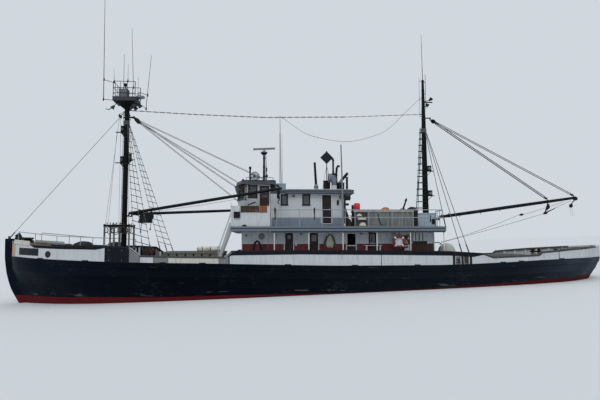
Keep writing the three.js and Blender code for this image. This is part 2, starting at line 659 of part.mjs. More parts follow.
function searchlight() {
  const foot = BRIDGE_ROOF.z1 - 20;
  return join(
    rod([3970, 0, foot], [3970, 0, 8200], 55, 8),
    box(3430, 3990, -90, 90, foot, foot + 90),
    rod([3610, 0, foot + 60], [3610, 0, 7420], 50, 8),
    rod([3450, 0, 7560], [3770, 0, 7560], 210, 12),
  );
}

function wheelhouseRoof() {
  const slab = prism([
    [BRIDGE_ROOF.aft, 1950], [4390, 1950], [4640, 1250], [4830, 450],
    [4830, -450], [4640, -1250], [4390, -1950], [BRIDGE_ROOF.aft, -1950],
  ], BRIDGE_ROOF.z0, BRIDGE_ROOF.z1);
  return join(slab, searchlight(), bridgeAerials());
}
add('wheelhouse_roof', wheelhouseRoof(), PAINT.slate);

const EXHAUST_Y = 600;
function exhaust() {
  const foot = CABIN_ROOF.z1 + SEAT;
  return join(
    rod([-440, EXHAUST_Y, foot], [-330, EXHAUST_Y, 8440], 85, 10, 70),
    rod([-440, EXHAUST_Y, foot], [-420, EXHAUST_Y, foot + 420], 125, 12, 110),
  );
}

const DAY_SHAPE = { x: -1100, y: 900, z: 8720, half: 430 };
function dayShape() {
  const { x, y, z, half } = DAY_SHAPE;
  const plate = plateXZ([[x - half, z], [x, z - half], [x + half, z], [x, z + half]],
    y - 12, y + 12);
  return join(plate, rod([x, y, CABIN_ROOF.z1 + SEAT], [x, y, z], 28, 8));
}

const COWL = { x: -1540, y: 1250, neck: 6850 };

/** Low casing on the cabin roof with the exhaust, pipes, tanks and the cowl's neck on it. */
function roofCasing() {
  const foot = CABIN_ROOF.z1 + SEAT;
  const gear = join(
    box(-2300, -250, 200, 1400, foot, foot + 80),
    box(-1340, -920, 350, 800, foot, 7200),
    box(-2280, -1900, 350, 800, foot, 7070),
    rod([-1580, 500, foot], [-1580, 500, 8730], 60, 8),
    rod([-1580, 500, 8690], [-1180, 500, 8690], 45, 8),
    rod([-1750, 250, foot], [-1660, 250, 7700], 210, 12),
    rod([-1950, 560, 7040], [-2540, 560, 7740], 75, 8),
    rod([-2490, 560, foot], [-2490, 560, 7470], 70, 8),
    box(-2520, -2250, 480, 640, foot, foot + 80),
    rod([COWL.x, COWL.y, foot], [COWL.x, COWL.y, COWL.neck], 170, 14),
    exhaust(),
    dayShape(),
  );
  return cut(gear, box(CABIN_ROOF.aft, CABIN_ROOF.fore, -3000, 3000, 6000, foot));
}
add('roof_casing', roofCasing(), PAINT.black);

function cowl() {
  const neck = rod([COWL.x, COWL.y, COWL.neck + SEAT], [COWL.x, COWL.y, 7150], 150, 14);
  const bend = rod([COWL.x, COWL.y, 7000], [COWL.x + 150, COWL.y, 7420], 160, 14, 240);
  const mouth = rod([COWL.x + 60, COWL.y, 7300], [COWL.x + 330, COWL.y, 7340], 200, 14, 290);
  const hollow = rod([COWL.x + 100, COWL.y, 7305], [COWL.x + 400, COWL.y, 7350], 170, 14, 265);
  return cut(join(neck, bend, mouth), hollow);
}
add('cowl_vent', cowl(), PAINT.slate);

// Deck cargo on the boat deck

const DECK_BOX = { x0: -6200, x1: -2550, y0: 2050, y1: 3080, top: 5000 };
add('deck_box', join(
  box(DECK_BOX.x0, DECK_BOX.x1, DECK_BOX.y0, DECK_BOX.y1, BOAT_DECK.top + SEAT, DECK_BOX.top),
  box(DECK_BOX.x0 - 40, DECK_BOX.x1 + 40, DECK_BOX.y0 - 30, DECK_BOX.y1 + 30,
    DECK_BOX.top - 20, DECK_BOX.top + 90),
), PAINT.grey);
add('mast_locker', box(-8130, -6800, 600, 1700, BOAT_DECK.top + SEAT, 4990), PAINT.slate);

// Masts

const FORE = { foot: 1600, top: 12450, base: 175, head: 135 };
const MAIN = { foot: 1500, straight: 4300, top: 14340, head: 75 };
const FORE_HEEL = { x: 11810, y: 350, z: 4940 };
const FORE_HEAD = { x: 11670, y: 150, z: 11440 };
const AFT_HEEL = { x: -8890, y: 0, z: 4710 };
const AFT_HEAD = { x: -8440, y: 0, z: 11650 };
const PIVOT = { radius: 45, high: 90 };

/** Point on the line from a to b, a signed distance beyond a. */
function beyond(a, b, distance) {
  const dir = new THREE.Vector3(b.x - a.x, b.y - a.y, b.z - a.z).normalize();
  return [a.x + dir.x * distance, a.y + dir.y * distance, a.z + dir.z * distance];
}

/** Fixed half of a pivot at point a on the axis towards b, and its arm from the mast. */
function mastPivot(a, b, mastX, below, radius = 40) {
  const span = below ? [-PIVOT.high, -SEAT] : [SEAT, PIVOT.high];
  const [p, q] = span.map((d) => beyond(a, b, d));
  const middle = beyond(a, b, (span[0] + span[1]) / 2);
  return join(rod(p, q, PIVOT.radius, 12), rod([mastX, 0, middle[2]], middle, radius, 8));
}

/** Moving half of the same pivot. */
function boomPivot(a, b, below) {
  const [p, q] = (below ? [-PIVOT.high, -SEAT] : [SEAT, PIVOT.high]).map((d) => beyond(a, b, d));
  return rod(p, q, PIVOT.radius, 12);
}
const portOf = (p) => ({ ...p, y: -p.y });

function pinRail() {
  const [x0, x1] = [11700, 13250];
  const posts = [[x0, 620], [x1, 620], [12650, 620]].flatMap(([x, y]) => [1, -1].map((s) => (
    rod([x, s * y, 1700], [x, s * y, 4300], 55, 5))));
  const bars = [1, -1].map((s) => box(x0 - 60, x1 + 60, s * 560, s * 680, 4180, 4290));
  const cross = box(x1 - 60, x1 + 60, -600, 600, 4180, 4290);
  const collar = box(x0, x1, -60, 60, 4190, 4280);
  const after = box(x0 - 60, x0 + 60, -600, 600, 4180, 4290);
  return join(posts, bars, cross, collar, after);
}

function foremast() {
  const pole = rod([FOREMAST_X, 0, FORE.foot], [FOREMAST_X, 0, FORE.top], FORE.base, 12, FORE.head);
  const heels = [FORE_HEEL, portOf(FORE_HEEL)].map((heel) => (
    mastPivot(heel, heel.y > 0 ? FORE_HEAD : portOf(FORE_HEAD), FOREMAST_X, true, 38)));
  const heads = [FORE_HEAD, portOf(FORE_HEAD)].map((head) => (
    mastPivot(head, head.y > 0 ? FORE_HEEL : portOf(FORE_HEEL), FOREMAST_X, true, 38)));
  const ring = rod([FOREMAST_X, 0, 6040], [FOREMAST_X, 0, 6130], 185, 12);
  const brackets = [[1, 10490, 690], [1, 8440, 680], [-1, 8620, 460]].map(([dir, z, reach]) => (
    join(
      box(FOREMAST_X, FOREMAST_X + dir * reach, -60, 60, z - 40, z),
      box(FOREMAST_X + dir * 130, FOREMAST_X + dir * 360, -70, 70, z - 10, z + 420),
    )));
  return standOnDeck(join(pole, heels, heads, ring, brackets, pinRail()));
}
add('foremast', foremast(), PAINT.mast);

const LOOKOUT = { fore: 12950, aft: 11480, half: 740, z0: 12450, z1: 12620, rail: 13730 };

function lookout() {
  const { fore, aft, half, z0, z1, rail } = LOOKOUT;
  const mid = (z) => lerp(z1, rail, z);
  const floor = box(aft, fore, -half, half, z0 + SEAT, z1);
  const corners = [[fore, half], [fore, -half], [aft, half], [aft, -half], [12000, half],
    [12000, -half]].map(([x, y]) => [x - Math.sign(x - 12200) * 30, y - Math.sign(y) * 30]);
  const posts = corners.map(([x, y]) => rod([x, y, z1 - 20], [x, y, rail], 24));
  const bars = [rail, mid(0.62), mid(0.3)].flatMap((z) => [
    rod([fore - 30, half - 30, z], [aft + 30, half - 30, z], 20),
    rod([fore - 30, 30 - half, z], [aft + 30, 30 - half, z], 20),
    rod([fore - 30, half - 30, z], [fore - 30, 30 - half, z], 20),
  ]);
  const instrument = box(12130, 12690, -250, 250, z1 - 10, 13350);
  return join(floor, posts, bars, instrument);
}

/** Whip aerials round the lookout: foot, tip and radius. */
const WHIPS = [
  [[13650, 300, 12500], [13760, 300, 20100], 26],
  [[12920, 500, 13700], [12980, 500, 14650], 14],
  [[12450, 0, 13300], [12460, 0, 15820], 20],
  [[11990, -710, 13700], [12180, -710, 17940], 20],
  [[11990, 710, 13700], [11990, 710, 14900], 14],
  [[11510, 0, 12500], [11490, 0, 14230], 14],
  [[11030, -300, 12040], [10730, -300, 15880], 22],
];
const WHIP_ARMS = [
  [[12930, 300, 13730], [13660, 300, 13950]], [[12930, 300, 12560], [13660, 300, 12620]],
  [[11500, -300, 13300], [10900, -300, 13100]], [[11500, -300, 12560], [11010, -300, 12160]],
];
function aerials() {
  const whips = WHIPS.map(([foot, tip, r]) => rod(foot, tip, r, BAR, r * 0.5));
  const arms = WHIP_ARMS.map(([a, b]) => rod(a, b, 20));
  const radome = rod([11260, 300, 12740], [11260, 300, 12830], 290, 16);
  const stalk = rod([11480, 300, 12560], [11260, 300, 12760], 25);
  const extra = rod([11510, -300, 12560], [11510, -300, 13320], 20);
  const tie = rod([11510, -30, 12560], [11510, 30, 12560], 60);
  return join(whips, arms, radome, stalk, extra, tie);
}
add('lookout', join(lookout(), aerials()), PAINT.grey);

function mainmast() {
  const pole = join(
    rod([MAINMAST_X, 0, MAIN.foot], [MAINMAST_X, 0, MAIN.straight], MAST_BASE, 16),
    rod([MAINMAST_X, 0, MAIN.straight - 20], [MAINMAST_X, 0, MAIN.top], MAST_BASE, 16, MAIN.head),
  );
  const heel = mastPivot(AFT_HEEL, AFT_HEAD, MAINMAST_X, true, 40);
  const head = mastPivot(AFT_HEAD, AFT_HEEL, MAINMAST_X, true, 40);
  const whip = rod([MAINMAST_X, 0, MAIN.top - 50], [-7940, 0, 17640], 24, BAR, 10);
  // Ladder up the fore side of the mast, held by a tie at every fourth rung
  const ladderX = (z) => lerp(-7380, -7740, (z - 5200) / 5800);
  const rails = [1, -1].map((side) => (
    rod([ladderX(5200), side * 180, 5200], [ladderX(11000), side * 110, 11000], 20)));
  const rungZ = Array.from({ length: 10 }, (_, i) => 5450 + i * 600);
  const rungs = rungZ.map((z) => rod([ladderX(z), 190, z], [ladderX(z), -190, z], 16));
  const ties = rungZ.filter((_, i) => i % 4 === 0).map((z) => (
    rod([MAINMAST_X, 0, z], [ladderX(z) + 6, 0, z], 25)));
  const lamps = [[8000, 440], [6300, 470]].map(([z, reach]) => join(
    box(MAINMAST_X - reach, MAINMAST_X, -60, 60, z - 40, z),
    box(MAINMAST_X - reach, MAINMAST_X - reach + 240, -90, 90, z - 10, z + 360)));
  const yard = box(MAINMAST_X - 640, MAINMAST_X, -50, 50, 12780, 12840);
  return standOnDeck(join(pole, heel, head, whip, rails, rungs, ties, lamps, yard));
}
add('mainmast', mainmast(), PAINT.mast);

// Booms with their topping lifts

function boom(heel, head, tip, radius, lifts) {
  const root = beyond(heel, head, radius + 6);
  const end = [tip.x, tip.y, tip.z];
  const spar = rod(root, end, radius, 10, radius * 0.8);
  const swivel = boomPivot(heel, head, false);
  const eye = boomPivot(head, heel, false);
  const lift = beyond(head, heel, 60);
  const wires = lifts.map((t) => rod(lift, root.map((v, i) => lerp(v, end[i], t)), 28));
  return join(spar, swivel, eye, wires);
}
const FORE_TIP = { x: 1930, y: 2900, z: 6450 };
const FORE_TIP_LOW = { x: 1900, y: -2900, z: 5580 };
const AFT_TIP = { x: -18640, y: 0, z: 6190 };
add('fore_boom_port', boom(FORE_HEEL, FORE_HEAD, FORE_TIP, 100, [0.76, 0.985]), PAINT.black);
add('fore_boom_starboard', boom(portOf(FORE_HEEL), portOf(FORE_HEAD), FORE_TIP_LOW, 95,
  [0.76, 0.985]), PAINT.black);
add('aft_boom', boom(AFT_HEEL, AFT_HEAD, AFT_TIP, 115, [0.79, 0.985]), PAINT.black);

// Standing rigging

const WIRE = 14;
const MASTS = {
  fore: { x: FOREMAST_X, sides: 12, radius: [[FORE.foot, FORE.base], [FORE.top, FORE.head]] },
  main: { x: MAINMAST_X, sides: 16, radius: [[MAIN.straight - 20, MAST_BASE], [MAIN.top, MAIN.head]] },
};

/** The space a mast takes between two heights, with the seat round it. */
function mastCore(mast, z0, z1) {
  const r = (z) => along(mast.radius, z) + SEAT / Math.cos(Math.PI / mast.sides);
  return rod([mast.x, 0, z0], [mast.x, 0, z1], r(z0), mast.sides, r(z1));
}

/** Wires from a mast down to their feet on both sides, with rungs seized across if wanted. */
function shrouds(mast, top, feet, rungs) {
  const spread = 30;
  const wires = feet.map((foot) => rod([mast.x, spread, top], foot, WIRE));
  const steps = Array.from({ length: rungs }, (_, i) => {
    const t = lerp(0.14, 0.92, i / Math.max(1, rungs - 1));
    const at = (foot) => [lerp(mast.x, foot[0], t), lerp(spread, foot[1], t), lerp(top, foot[2], t)];
    return rod(at(feet[0]), at(feet[feet.length - 1]), 9);
  });
  const band = rod([mast.x, 0, top - 480], [mast.x, 0, top - 200],
    along(mast.radius, top) + 30, mast.sides);
  const side = join(wires, steps);
  return cut(join(side, mirrored(side), band), mastCore(mast, top - 900, top + 300));
}

const SHROUD_TOP = { fore: 11450, main: 11150 };
const FORE_CHAINS = [[10560, 3700, 2600], [9560, 3700, 2300]];
const MAIN_CHAINS = [[-8135, 3400, BOAT_DECK.top - 20], [-9000, 3700, 2470], [-9450, 3700, 2440]];

function foreShrouds() {
  const wires = shrouds(MASTS.fore, SHROUD_TOP.fore, FORE_CHAINS, 10);
  const rails = [RAIL_SOLIDS.bow, RAIL_SOLIDS.waist].map((rail) => rail.translate(0, 0, SEAT));
  return cut(wires, rails, rails.map(mirrored));
}
function mainShrouds() {
  const wires = shrouds(MASTS.main, SHROUD_TOP.main, MAIN_CHAINS, 0);
  const rails = [RAIL_SOLIDS.waist, RAIL_SOLIDS.quarter].map((rail) => rail.translate(0, 0, SEAT));
  return cut(wires, rails, rails.map(mirrored),
    box(BOAT_DECK.aft - 30, -7000, -4000, 4000, 3000, BOAT_DECK.top + SEAT));
}
add('fore_shrouds', foreShrouds(), PAINT.wire);
add('main_shrouds', mainShrouds(), PAINT.wire);

function forestay() {
  const stay = rod([FOREMAST_X, 0, 11950], [19420, 0, STEM.head], 18);
  const plate = box(19340, 19500, -30, 30, STEM.head - 20, STEM.head + 160);
  return cut(join(stay, plate), mastCore(MASTS.fore, 11000, 12400),
    box(19000, 19800, -200, 200, 3000, STEM.head + SEAT));
}
add('forestay', forestay(), PAINT.wire);

// The stay between the mastheads hangs in a shallow bend.
const TRIATIC = [[FOREMAST_X, 11960], [7600, 11740], [3000, 11600], [-2500, 11700], [MAINMAST_X, 11960]];
function triatic() {
  const spans = TRIATIC.slice(1).map(([x, z], i) => (
    rod([TRIATIC[i][0], 0, TRIATIC[i][1]], [x, 0, z], 20)));
  return cut(join(spans), mastCore(MASTS.fore, 11500, 12400), mastCore(MASTS.main, 11500, 12400));
}
add('triatic_stay', triatic(), PAINT.wire);

const ROLL = { x0: 5650, x1: 7250, y: 1180, radius: 165 };
add('canvas_roll', rod([ROLL.x0, ROLL.y, FORE_HATCH.cover + ROLL.radius + SEAT],
  [ROLL.x1, ROLL.y, FORE_HATCH.cover + ROLL.radius + SEAT], ROLL.radius, 12), PAINT.canvas);

// Winches: a frame on the deck and a drum on a shaft between its cheeks

/** Frame and drum of a winch. Its shaft lies across the ship. */
function winch(x, shaftZ, cheek, drumR, width) {
  const floor = deckZ(x);
  const bearing = 55;
  const cheeks = [-1, 1].map((s) => join(
    box(x - cheek, x + cheek, s * width, s * (width + 60), floor + 60, shaftZ - 40),
    rod([x, s * width, shaftZ], [x, s * (width + 60), shaftZ], cheek * 0.62, 12)));
  const bed = box(x - cheek - 80, x + cheek + 80, -width - 90, width + 90, floor - 60, floor + 80);
  const frame = standOnDeck(cut(join(bed, cheeks),
    rod([x, -width - 200, shaftZ], [x, width + 200, shaftZ], bore(bearing, 24), 24)));
  const drum = join(
    rod([x, -width - 330, shaftZ], [x, width + 330, shaftZ], bearing, 24),
    rod([x, -width + 60, shaftZ], [x, width - 60, shaftZ], drumR * 0.62, 12),
    [-1, 1].map((s) => join(
      rod([x, s * (width - 60), shaftZ], [x, s * (width - 110), shaftZ], drumR, 12),
      rod([x, s * (width + 80), shaftZ], [x, s * (width + 330), shaftZ], drumR * 0.5, 12,
        drumR * 0.62))));
  return { frame, drum };
}
const WINCHES = [
  ['cargo_winch', winch(10520, 2560, 300, 330, 420), PAINT.rust],
  ['windlass', winch(17250, 2830, 260, 300, 330), PAINT.black],
];
for (const [name, made, material] of WINCHES) {
  add(`${name}_drum`, made.drum, material);
}
add('cargo_winch_frame', WINCHES[0][1].frame, PAINT.rust);

// Deck fittings

const ANCHOR = { x: 18500, z: 3330 };
function bowAnchor() {
  const bedZ = deckZ(18300);
  return standOnDeck(join(
    box(17950, 18800, -170, 170, bedZ - 60, ANCHOR.z),
    box(17300, 18000, -170, 170, bedZ - 60, bedZ + 60),
    rod([18000, 0, ANCHOR.z + 60], [19050, 0, ANCHOR.z + 130], 90, 8),
    plateXZ([[18850, ANCHOR.z - 60], [19080, ANCHOR.z + 300], [18800, ANCHOR.z + 480],
      [18600, ANCHOR.z + 120]], -60, 60),
    rod([18150, -480, ANCHOR.z + 120], [18150, 480, ANCHOR.z + 120], 55, 8),
  ));
}
add('windlass_and_anchor', join(WINCHES[1][1].frame, bowAnchor()), PAINT.black);

/** Steep wooden ladder from a deck edge at x down to the main deck, its foot further out by run. */
function ladder(x, top, run, y0, y1, steps) {
  const out = Math.sign(run);
  const near = x + out * SEAT;
  const foot = x + run;
  const floor = deckZ(foot) - 60;
  const board = 45;
  const side = [[near, top], [near + out * 130, top], [foot + out * 130, floor],
    [foot - out * 40, floor], [near, BOAT_DECK.bottom + 60]];
  const stringers = [y0, y1 - board].map((y) => plateXZ(side, y, y + board));
  const treads = Array.from({ length: steps }, (_, i) => {
    const t = (i + 0.6) / (steps + 0.4);
    const [tx, tz] = [lerp(near, foot, t) + out * 70, lerp(top, floor, t)];
    return box(tx - 75, tx + 75, y0 + 20, y1 - 20, tz - 16, tz + 16);
  });
  return standOnDeck(join(stringers, cut(join(treads),
    box(x - out * 900, near, y0, y1, 3000, top + 100))));
}
add('fore_ladder', ladder(BOAT_DECK.fore, 4350, 800, FORE_LADDER.y0, FORE_LADDER.y1, 9), PAINT.wood);
add('aft_ladder', ladder(BOAT_DECK.aft, 4350, -800, -2800, -2250, 9), PAINT.wood);

const DOME = { x: -8850, y: 1450, radius: 560, top: 3060 };
add('covered_capstan', standOnDeck(lathe([
  [0, 1500], [DOME.radius, 1500], [DOME.radius, 2500], [DOME.radius * 0.85, 2830],
  [DOME.radius * 0.5, 3010], [0, DOME.top]], DOME.x, DOME.y, 16)), PAINT.canvas);

export default ship;
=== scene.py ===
"""Fine pieces and finishes of a wooden coastal freighter afloat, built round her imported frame.

Sizes are metres in ship axes: +X to the bow, +Y to port, +Z up from the load line amidships. She
floats trimmed by the stern, so each finished mesh is turned by TRIM into the frame's own axes.
"""

import bisect
import json
import logging
import math
import random
from collections.abc import Iterable, Sequence
from dataclasses import dataclass, field
from enum import Enum

import bmesh
import bpy
from mathutils import Matrix, Vector


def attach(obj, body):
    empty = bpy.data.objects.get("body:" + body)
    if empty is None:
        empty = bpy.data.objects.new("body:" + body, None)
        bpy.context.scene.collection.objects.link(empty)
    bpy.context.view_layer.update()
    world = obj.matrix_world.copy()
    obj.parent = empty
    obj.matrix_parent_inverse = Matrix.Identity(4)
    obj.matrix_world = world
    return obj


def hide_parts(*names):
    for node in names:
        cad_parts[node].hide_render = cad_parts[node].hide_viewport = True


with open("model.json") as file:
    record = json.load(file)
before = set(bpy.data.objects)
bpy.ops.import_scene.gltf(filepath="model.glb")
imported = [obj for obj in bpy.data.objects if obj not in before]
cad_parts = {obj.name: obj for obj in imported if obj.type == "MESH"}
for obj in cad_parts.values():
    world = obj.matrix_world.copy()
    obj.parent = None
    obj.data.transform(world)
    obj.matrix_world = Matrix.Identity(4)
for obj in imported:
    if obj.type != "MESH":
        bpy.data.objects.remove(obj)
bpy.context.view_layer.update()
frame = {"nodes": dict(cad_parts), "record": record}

LOG = logging.getLogger("freighter")
Number = float | int
Colour = tuple[float, float, float]
Point = Sequence[float]

TRIM = Matrix.Rotation(-math.radians(2.04), 4, "Y")
UP = Vector((0, 0, 1))
FORWARD = Vector((1, 0, 0))
TO_PORT = Vector((0, 1, 0))
SAME_POINT = 1e-6      # points closer than this are one

# Driving dimensions of the ship
BOW, STERN = 19.15, -19.88
HALF_BEAM = 3.9
KEEL_HALF, KEEL_Z = 0.16, -2.75
FOREMAST_X, MAINMAST_X = 12.18, -7.975
BOAT_DECK = {"bottom": 3.80, "top": 4.08, "half": 3.45, "fore": 5.00, "aft": -8.15}
HOUSE = {"fore": 4.38, "aft": -7.70, "half": 2.50}
CABIN = {"fore": 2.60, "aft": -1.98, "half": 2.00, "top": 6.20}
BRIDGE = {"aft": 2.61, "half": 1.75, "top": 6.83}
RAIL_Y, RAIL_TOP, RAIL_MID = 3.33, 5.10, 4.63


class Side(Enum):
    """The two sides of the ship, with the sign of y."""

    PORT = 1
    STARBOARD = -1

    @property
    def label(self) -> str:
        """The side's name as used in the frame's node names."""
        return self.name.lower()


def tone(red: int, green: int, blue: int) -> Colour:
    """Linear colour of a paint named by its display values from 0 to 255."""
    def linear(value: int) -> float:
        """One channel, display to linear."""
        share = value / 255
        return share / 12.92 if share <= 0.04045 else ((share + 0.055) / 1.055) ** 2.4
    return linear(red), linear(green), linear(blue)


def lerp(a: float, b: float, share: float) -> float:
    """The value a share of the way from a to b."""
    return a + (b - a) * share


def steps(low: float, high: float, pitch: float) -> list[float]:
    """Even steps from low to high, both included, no wider than pitch."""
    count = max(1, math.ceil(abs(high - low) / pitch))
    return [lerp(low, high, i / count) for i in range(count + 1)]


class Polyline:
    """Straight-line interpolation through (x, value) rows of rising x."""

    def __init__(self, rows: Sequence[tuple[float, float]]) -> None:
        self.xs = [row[0] for row in rows]
        self.values = [row[1] for row in rows]

    def find(self, x: float) -> tuple[int, float]:
        """The span that holds x, and the share of the way through it."""
        i = min(max(bisect.bisect_right(self.xs, x) - 1, 0), len(self.xs) - 2)
        share = (x - self.xs[i]) / (self.xs[i + 1] - self.xs[i])
        return i, min(max(share, 0.0), 1.0)

    def __call__(self, x: float) -> float:
        """The value at x."""
        i, share = self.find(x)
        return lerp(self.values[i], self.values[i + 1], share)


class Fair(Polyline):
    """Fair curve through the same rows, with no overshoot between them."""

    def __init__(self, rows: Sequence[tuple[float, float]]) -> None:
        super().__init__(rows)
        slopes = [(v1 - v0) / (x1 - x0) for x0, x1, v0, v1
                  in zip(self.xs, self.xs[1:], self.values, self.values[1:])]
        inner = [0.0 if a * b <= 0 else 2 * a * b / (a + b) for a, b in zip(slopes, slopes[1:])]
        self.slopes = [slopes[0], *inner, slopes[-1]]

    def __call__(self, x: float) -> float:
        """The value at x."""
        i, t = self.find(x)
        width = self.xs[i + 1] - self.xs[i]
        rise = self.values[i + 1] - self.values[i]
        a, b = self.slopes[i] * width, self.slopes[i + 1] * width
        curved = t * (a + t * (3 * rise - 2 * a - b + t * (a + b - 2 * rise)))
        return self.values[i] + curved


class Shape:
    """Points and faces of one piece in ship axes, gathered from simple parts."""

    def __init__(self) -> None:
        self.points: list[Vector] = []
        self.faces: list[tuple[int, ...]] = []
        self.marks: dict[str, dict[int, float]] = {}

    def add(self, points: Iterable[Point], faces: Iterable[Sequence[int]]) -> "Shape":
        """Adds points and the faces between them, numbered from the first new point."""
        start = len(self.points)
        self.points += [Vector(p) for p in points]
        self.faces += [tuple(start + i for i in face) for face in faces]
        return self

    def grid(self, rows: Sequence[Sequence[Point]], ring: bool = True, caps: bool = True) -> "Shape":
        """Skins rows of equally many points.

        Args:
            rows: the rows, in order along the piece.
            ring: whether each row closes on itself.
            caps: whether the first and last rows are filled.

        Returns:
            The shape itself.
        """
        n = len(rows[0])
        span = n if ring else n - 1
        faces = [(i * n + k, i * n + (k + 1) % n, (i + 1) * n + (k + 1) % n, (i + 1) * n + k)
                 for i in range(len(rows) - 1) for k in range(span)]
        if ring and caps:
            last = (len(rows) - 1) * n
            faces += [tuple(range(n))[::-1], tuple(range(last, last + n))]
        return self.add([p for row in rows for p in row], faces)

    def block(self, low: Point, high: Point) -> "Shape":
        """Box between two opposite corners."""
        (x0, y0, z0), (x1, y1, z1) = low, high
        ring = [(x0, y0), (x1, y0), (x1, y1), (x0, y1)]
        return self.grid([[(x, y, z) for x, y in ring] for z in (z0, z1)])

    def beam(self, a: Point, b: Point, width: float, height: float, across: Vector = TO_PORT) -> "Shape":
        """Square bar from a to b, its width measured along across."""
        a, b = Vector(a), Vector(b)
        along = (b - a).normalized()
        side = (across - along * across.dot(along)).normalized() * width / 2
        rise = along.cross(side).normalized() * height / 2
        ring = [side + rise, rise - side, -side - rise, side - rise]
        return self.grid([[end + corner for corner in ring] for end in (a, b)])

    def pipe(self, path: Sequence[Point], radius: float | Sequence[float], sides: int = 8,
             closed: bool = False) -> "Shape":
        """Round bar along a path.

        Args:
            path: the points of its centre line.
            radius: one radius, or one for each point.
            sides: how many flats make it round.
            closed: whether its end joins its start.

        Returns:
            The shape itself.
        """
        path = [Vector(p) for p in path]
        count = len(path)
        radii = [radius] * count if isinstance(radius, (int, float)) else list(radius)
        rows = []
        side = None
        for i, centre in enumerate(path):
            before = path[i - 1] if i or closed else path[0]
            after = path[(i + 1) % count] if i + 1 < count or closed else path[-1]
            along = (after - before).normalized()
            if side is None:
                side = along.orthogonal().normalized()
            side = (side - along * side.dot(along)).normalized()
            up = along.cross(side)
            turn = [2 * math.pi * k / sides for k in range(sides)]
            rows.append([centre + (side * math.cos(a) + up * math.sin(a)) * radii[i] for a in turn])
        if closed:
            first = rows[0]
            twist = min(range(sides), key=lambda k: (rows[-1][k] - first[0]).length)
            rows.append(first[-twist:] + first[:-twist] if twist else first)
            return self.grid(rows, caps=False)
        return self.grid(rows)

    def bar(self, a: Point, b: Point, radius: float, tip: float | None = None,
            sides: int = 12) -> "Shape":
        """Straight round bar from a to b, with another radius at b if tip is given."""
        return self.pipe([a, b], [radius, radius if tip is None else tip], sides)

    def spin(self, profile: Sequence[tuple[float, float]], centre: Point, axis: Vector = UP,
             sides: int = 24) -> "Shape":
        """Turned body about axis through centre, from (radius, height) points."""
        side = axis.orthogonal().normalized()
        up = axis.cross(side).normalized()
        turn = [2 * math.pi * k / sides for k in range(sides)]
        return self.grid([[Vector(centre) + axis * h + (side * math.cos(a) + up * math.sin(a)) * r
                           for a in turn] for r, h in profile])

    def plate(self, outline: Sequence[Point], depth: Vector) -> "Shape":
        """Flat plate with an outline of points, as thick as depth."""
        n = len(outline)
        front = [Vector(p) for p in outline]
        back = [p + depth for p in front]
        sides = [(i, (i + 1) % n, n + (i + 1) % n, n + i) for i in range(n)]
        return self.add(front + back, [tuple(range(n))[::-1], tuple(range(n, 2 * n)), *sides])

    def join(self, other: "Shape") -> "Shape":
        """Adds another shape's points and faces."""
        return self.add(other.points, other.faces)

    def moved(self, matrix: Matrix) -> "Shape":
        """The same shape turned and moved by a matrix."""
        self.points = [matrix @ p for p in self.points]
        return self

    def on(self, side: Side) -> "Shape":
        """The shape as it stands on one side, made on the port side first."""
        if side is Side.STARBOARD:
            self.points = [Vector((p.x, -p.y, p.z)) for p in self.points]
            self.faces = [face[::-1] for face in self.faces]
        return self

    def both(self) -> "Shape":
        """The shape joined with its mirror image on the other side."""
        n = len(self.points)
        self.points += [Vector((p.x, -p.y, p.z)) for p in self.points]
        self.faces += [tuple(n + i for i in face[::-1]) for face in self.faces]
        for table in self.marks.values():
            table.update({n + i: value for i, value in table.items()})
        return self

    def piece(self, name: str, finish: "Finish", body: str = "ship", bevel: float = 0.0,
              crease: float = 35.0, replaces: Sequence[str] = ()) -> None:
        """Makes the object, gives it its finish and lets it ride on its body.

        Args:
            name: the piece's name.
            finish: what it is painted or made of.
            body: the frame's body that it moves with.
            bevel: how far its sharp edges are rounded.
            crease: the angle in degrees from which an edge stays sharp.
            replaces: the frame's nodes that it stands for.
        """
        mesh = bpy.data.meshes.new(name)
        mesh.from_pydata([tuple(TRIM @ p) for p in self.points], [], self.faces)
        for attribute, table in self.marks.items():
            layer = mesh.attributes.new(attribute, "FLOAT", "POINT")
            layer.data.foreach_set("value", [table.get(i, 0.0) for i in range(len(self.points))])
        work = bmesh.new()
        work.from_mesh(mesh)
        bmesh.ops.remove_doubles(work, verts=work.verts, dist=SAME_POINT)
        bmesh.ops.recalc_face_normals(work, faces=work.faces)
        work.to_mesh(mesh)
        work.free()
        mesh.shade_smooth()
        mesh.set_sharp_from_angle(angle=math.radians(crease))
        mesh.materials.append(finish.material())
        made = bpy.data.objects.new(name, mesh)
        bpy.context.scene.collection.objects.link(made)
        if bevel:
            rounding = made.modifiers.new("rounding", "BEVEL")
            rounding.width, rounding.segments, rounding.harden_normals = bevel, 2, True
            rounding.limit_method, rounding.angle_limit = "ANGLE", math.radians(crease + 5)
        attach(made, body)
        if replaces:
            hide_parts(*replaces)
        LOG.info("%s: %d faces on %s", name, len(mesh.polygons), body)


def blocks(*corners: tuple[Point, Point]) -> Shape:
    """Boxes, each between two opposite corners."""
    shape = Shape()
    for low, high in corners:
        shape.block(low, high)
    return shape


def circle(centre: Point, u: Vector, v: Vector, pitch: float) -> list[Vector]:
    """Points round a ring with half axes u and v, a turn of pitch apart."""
    return [Vector(centre) + u * math.cos(a) + v * math.sin(a) for a in steps(0, math.tau, pitch)[:-1]]


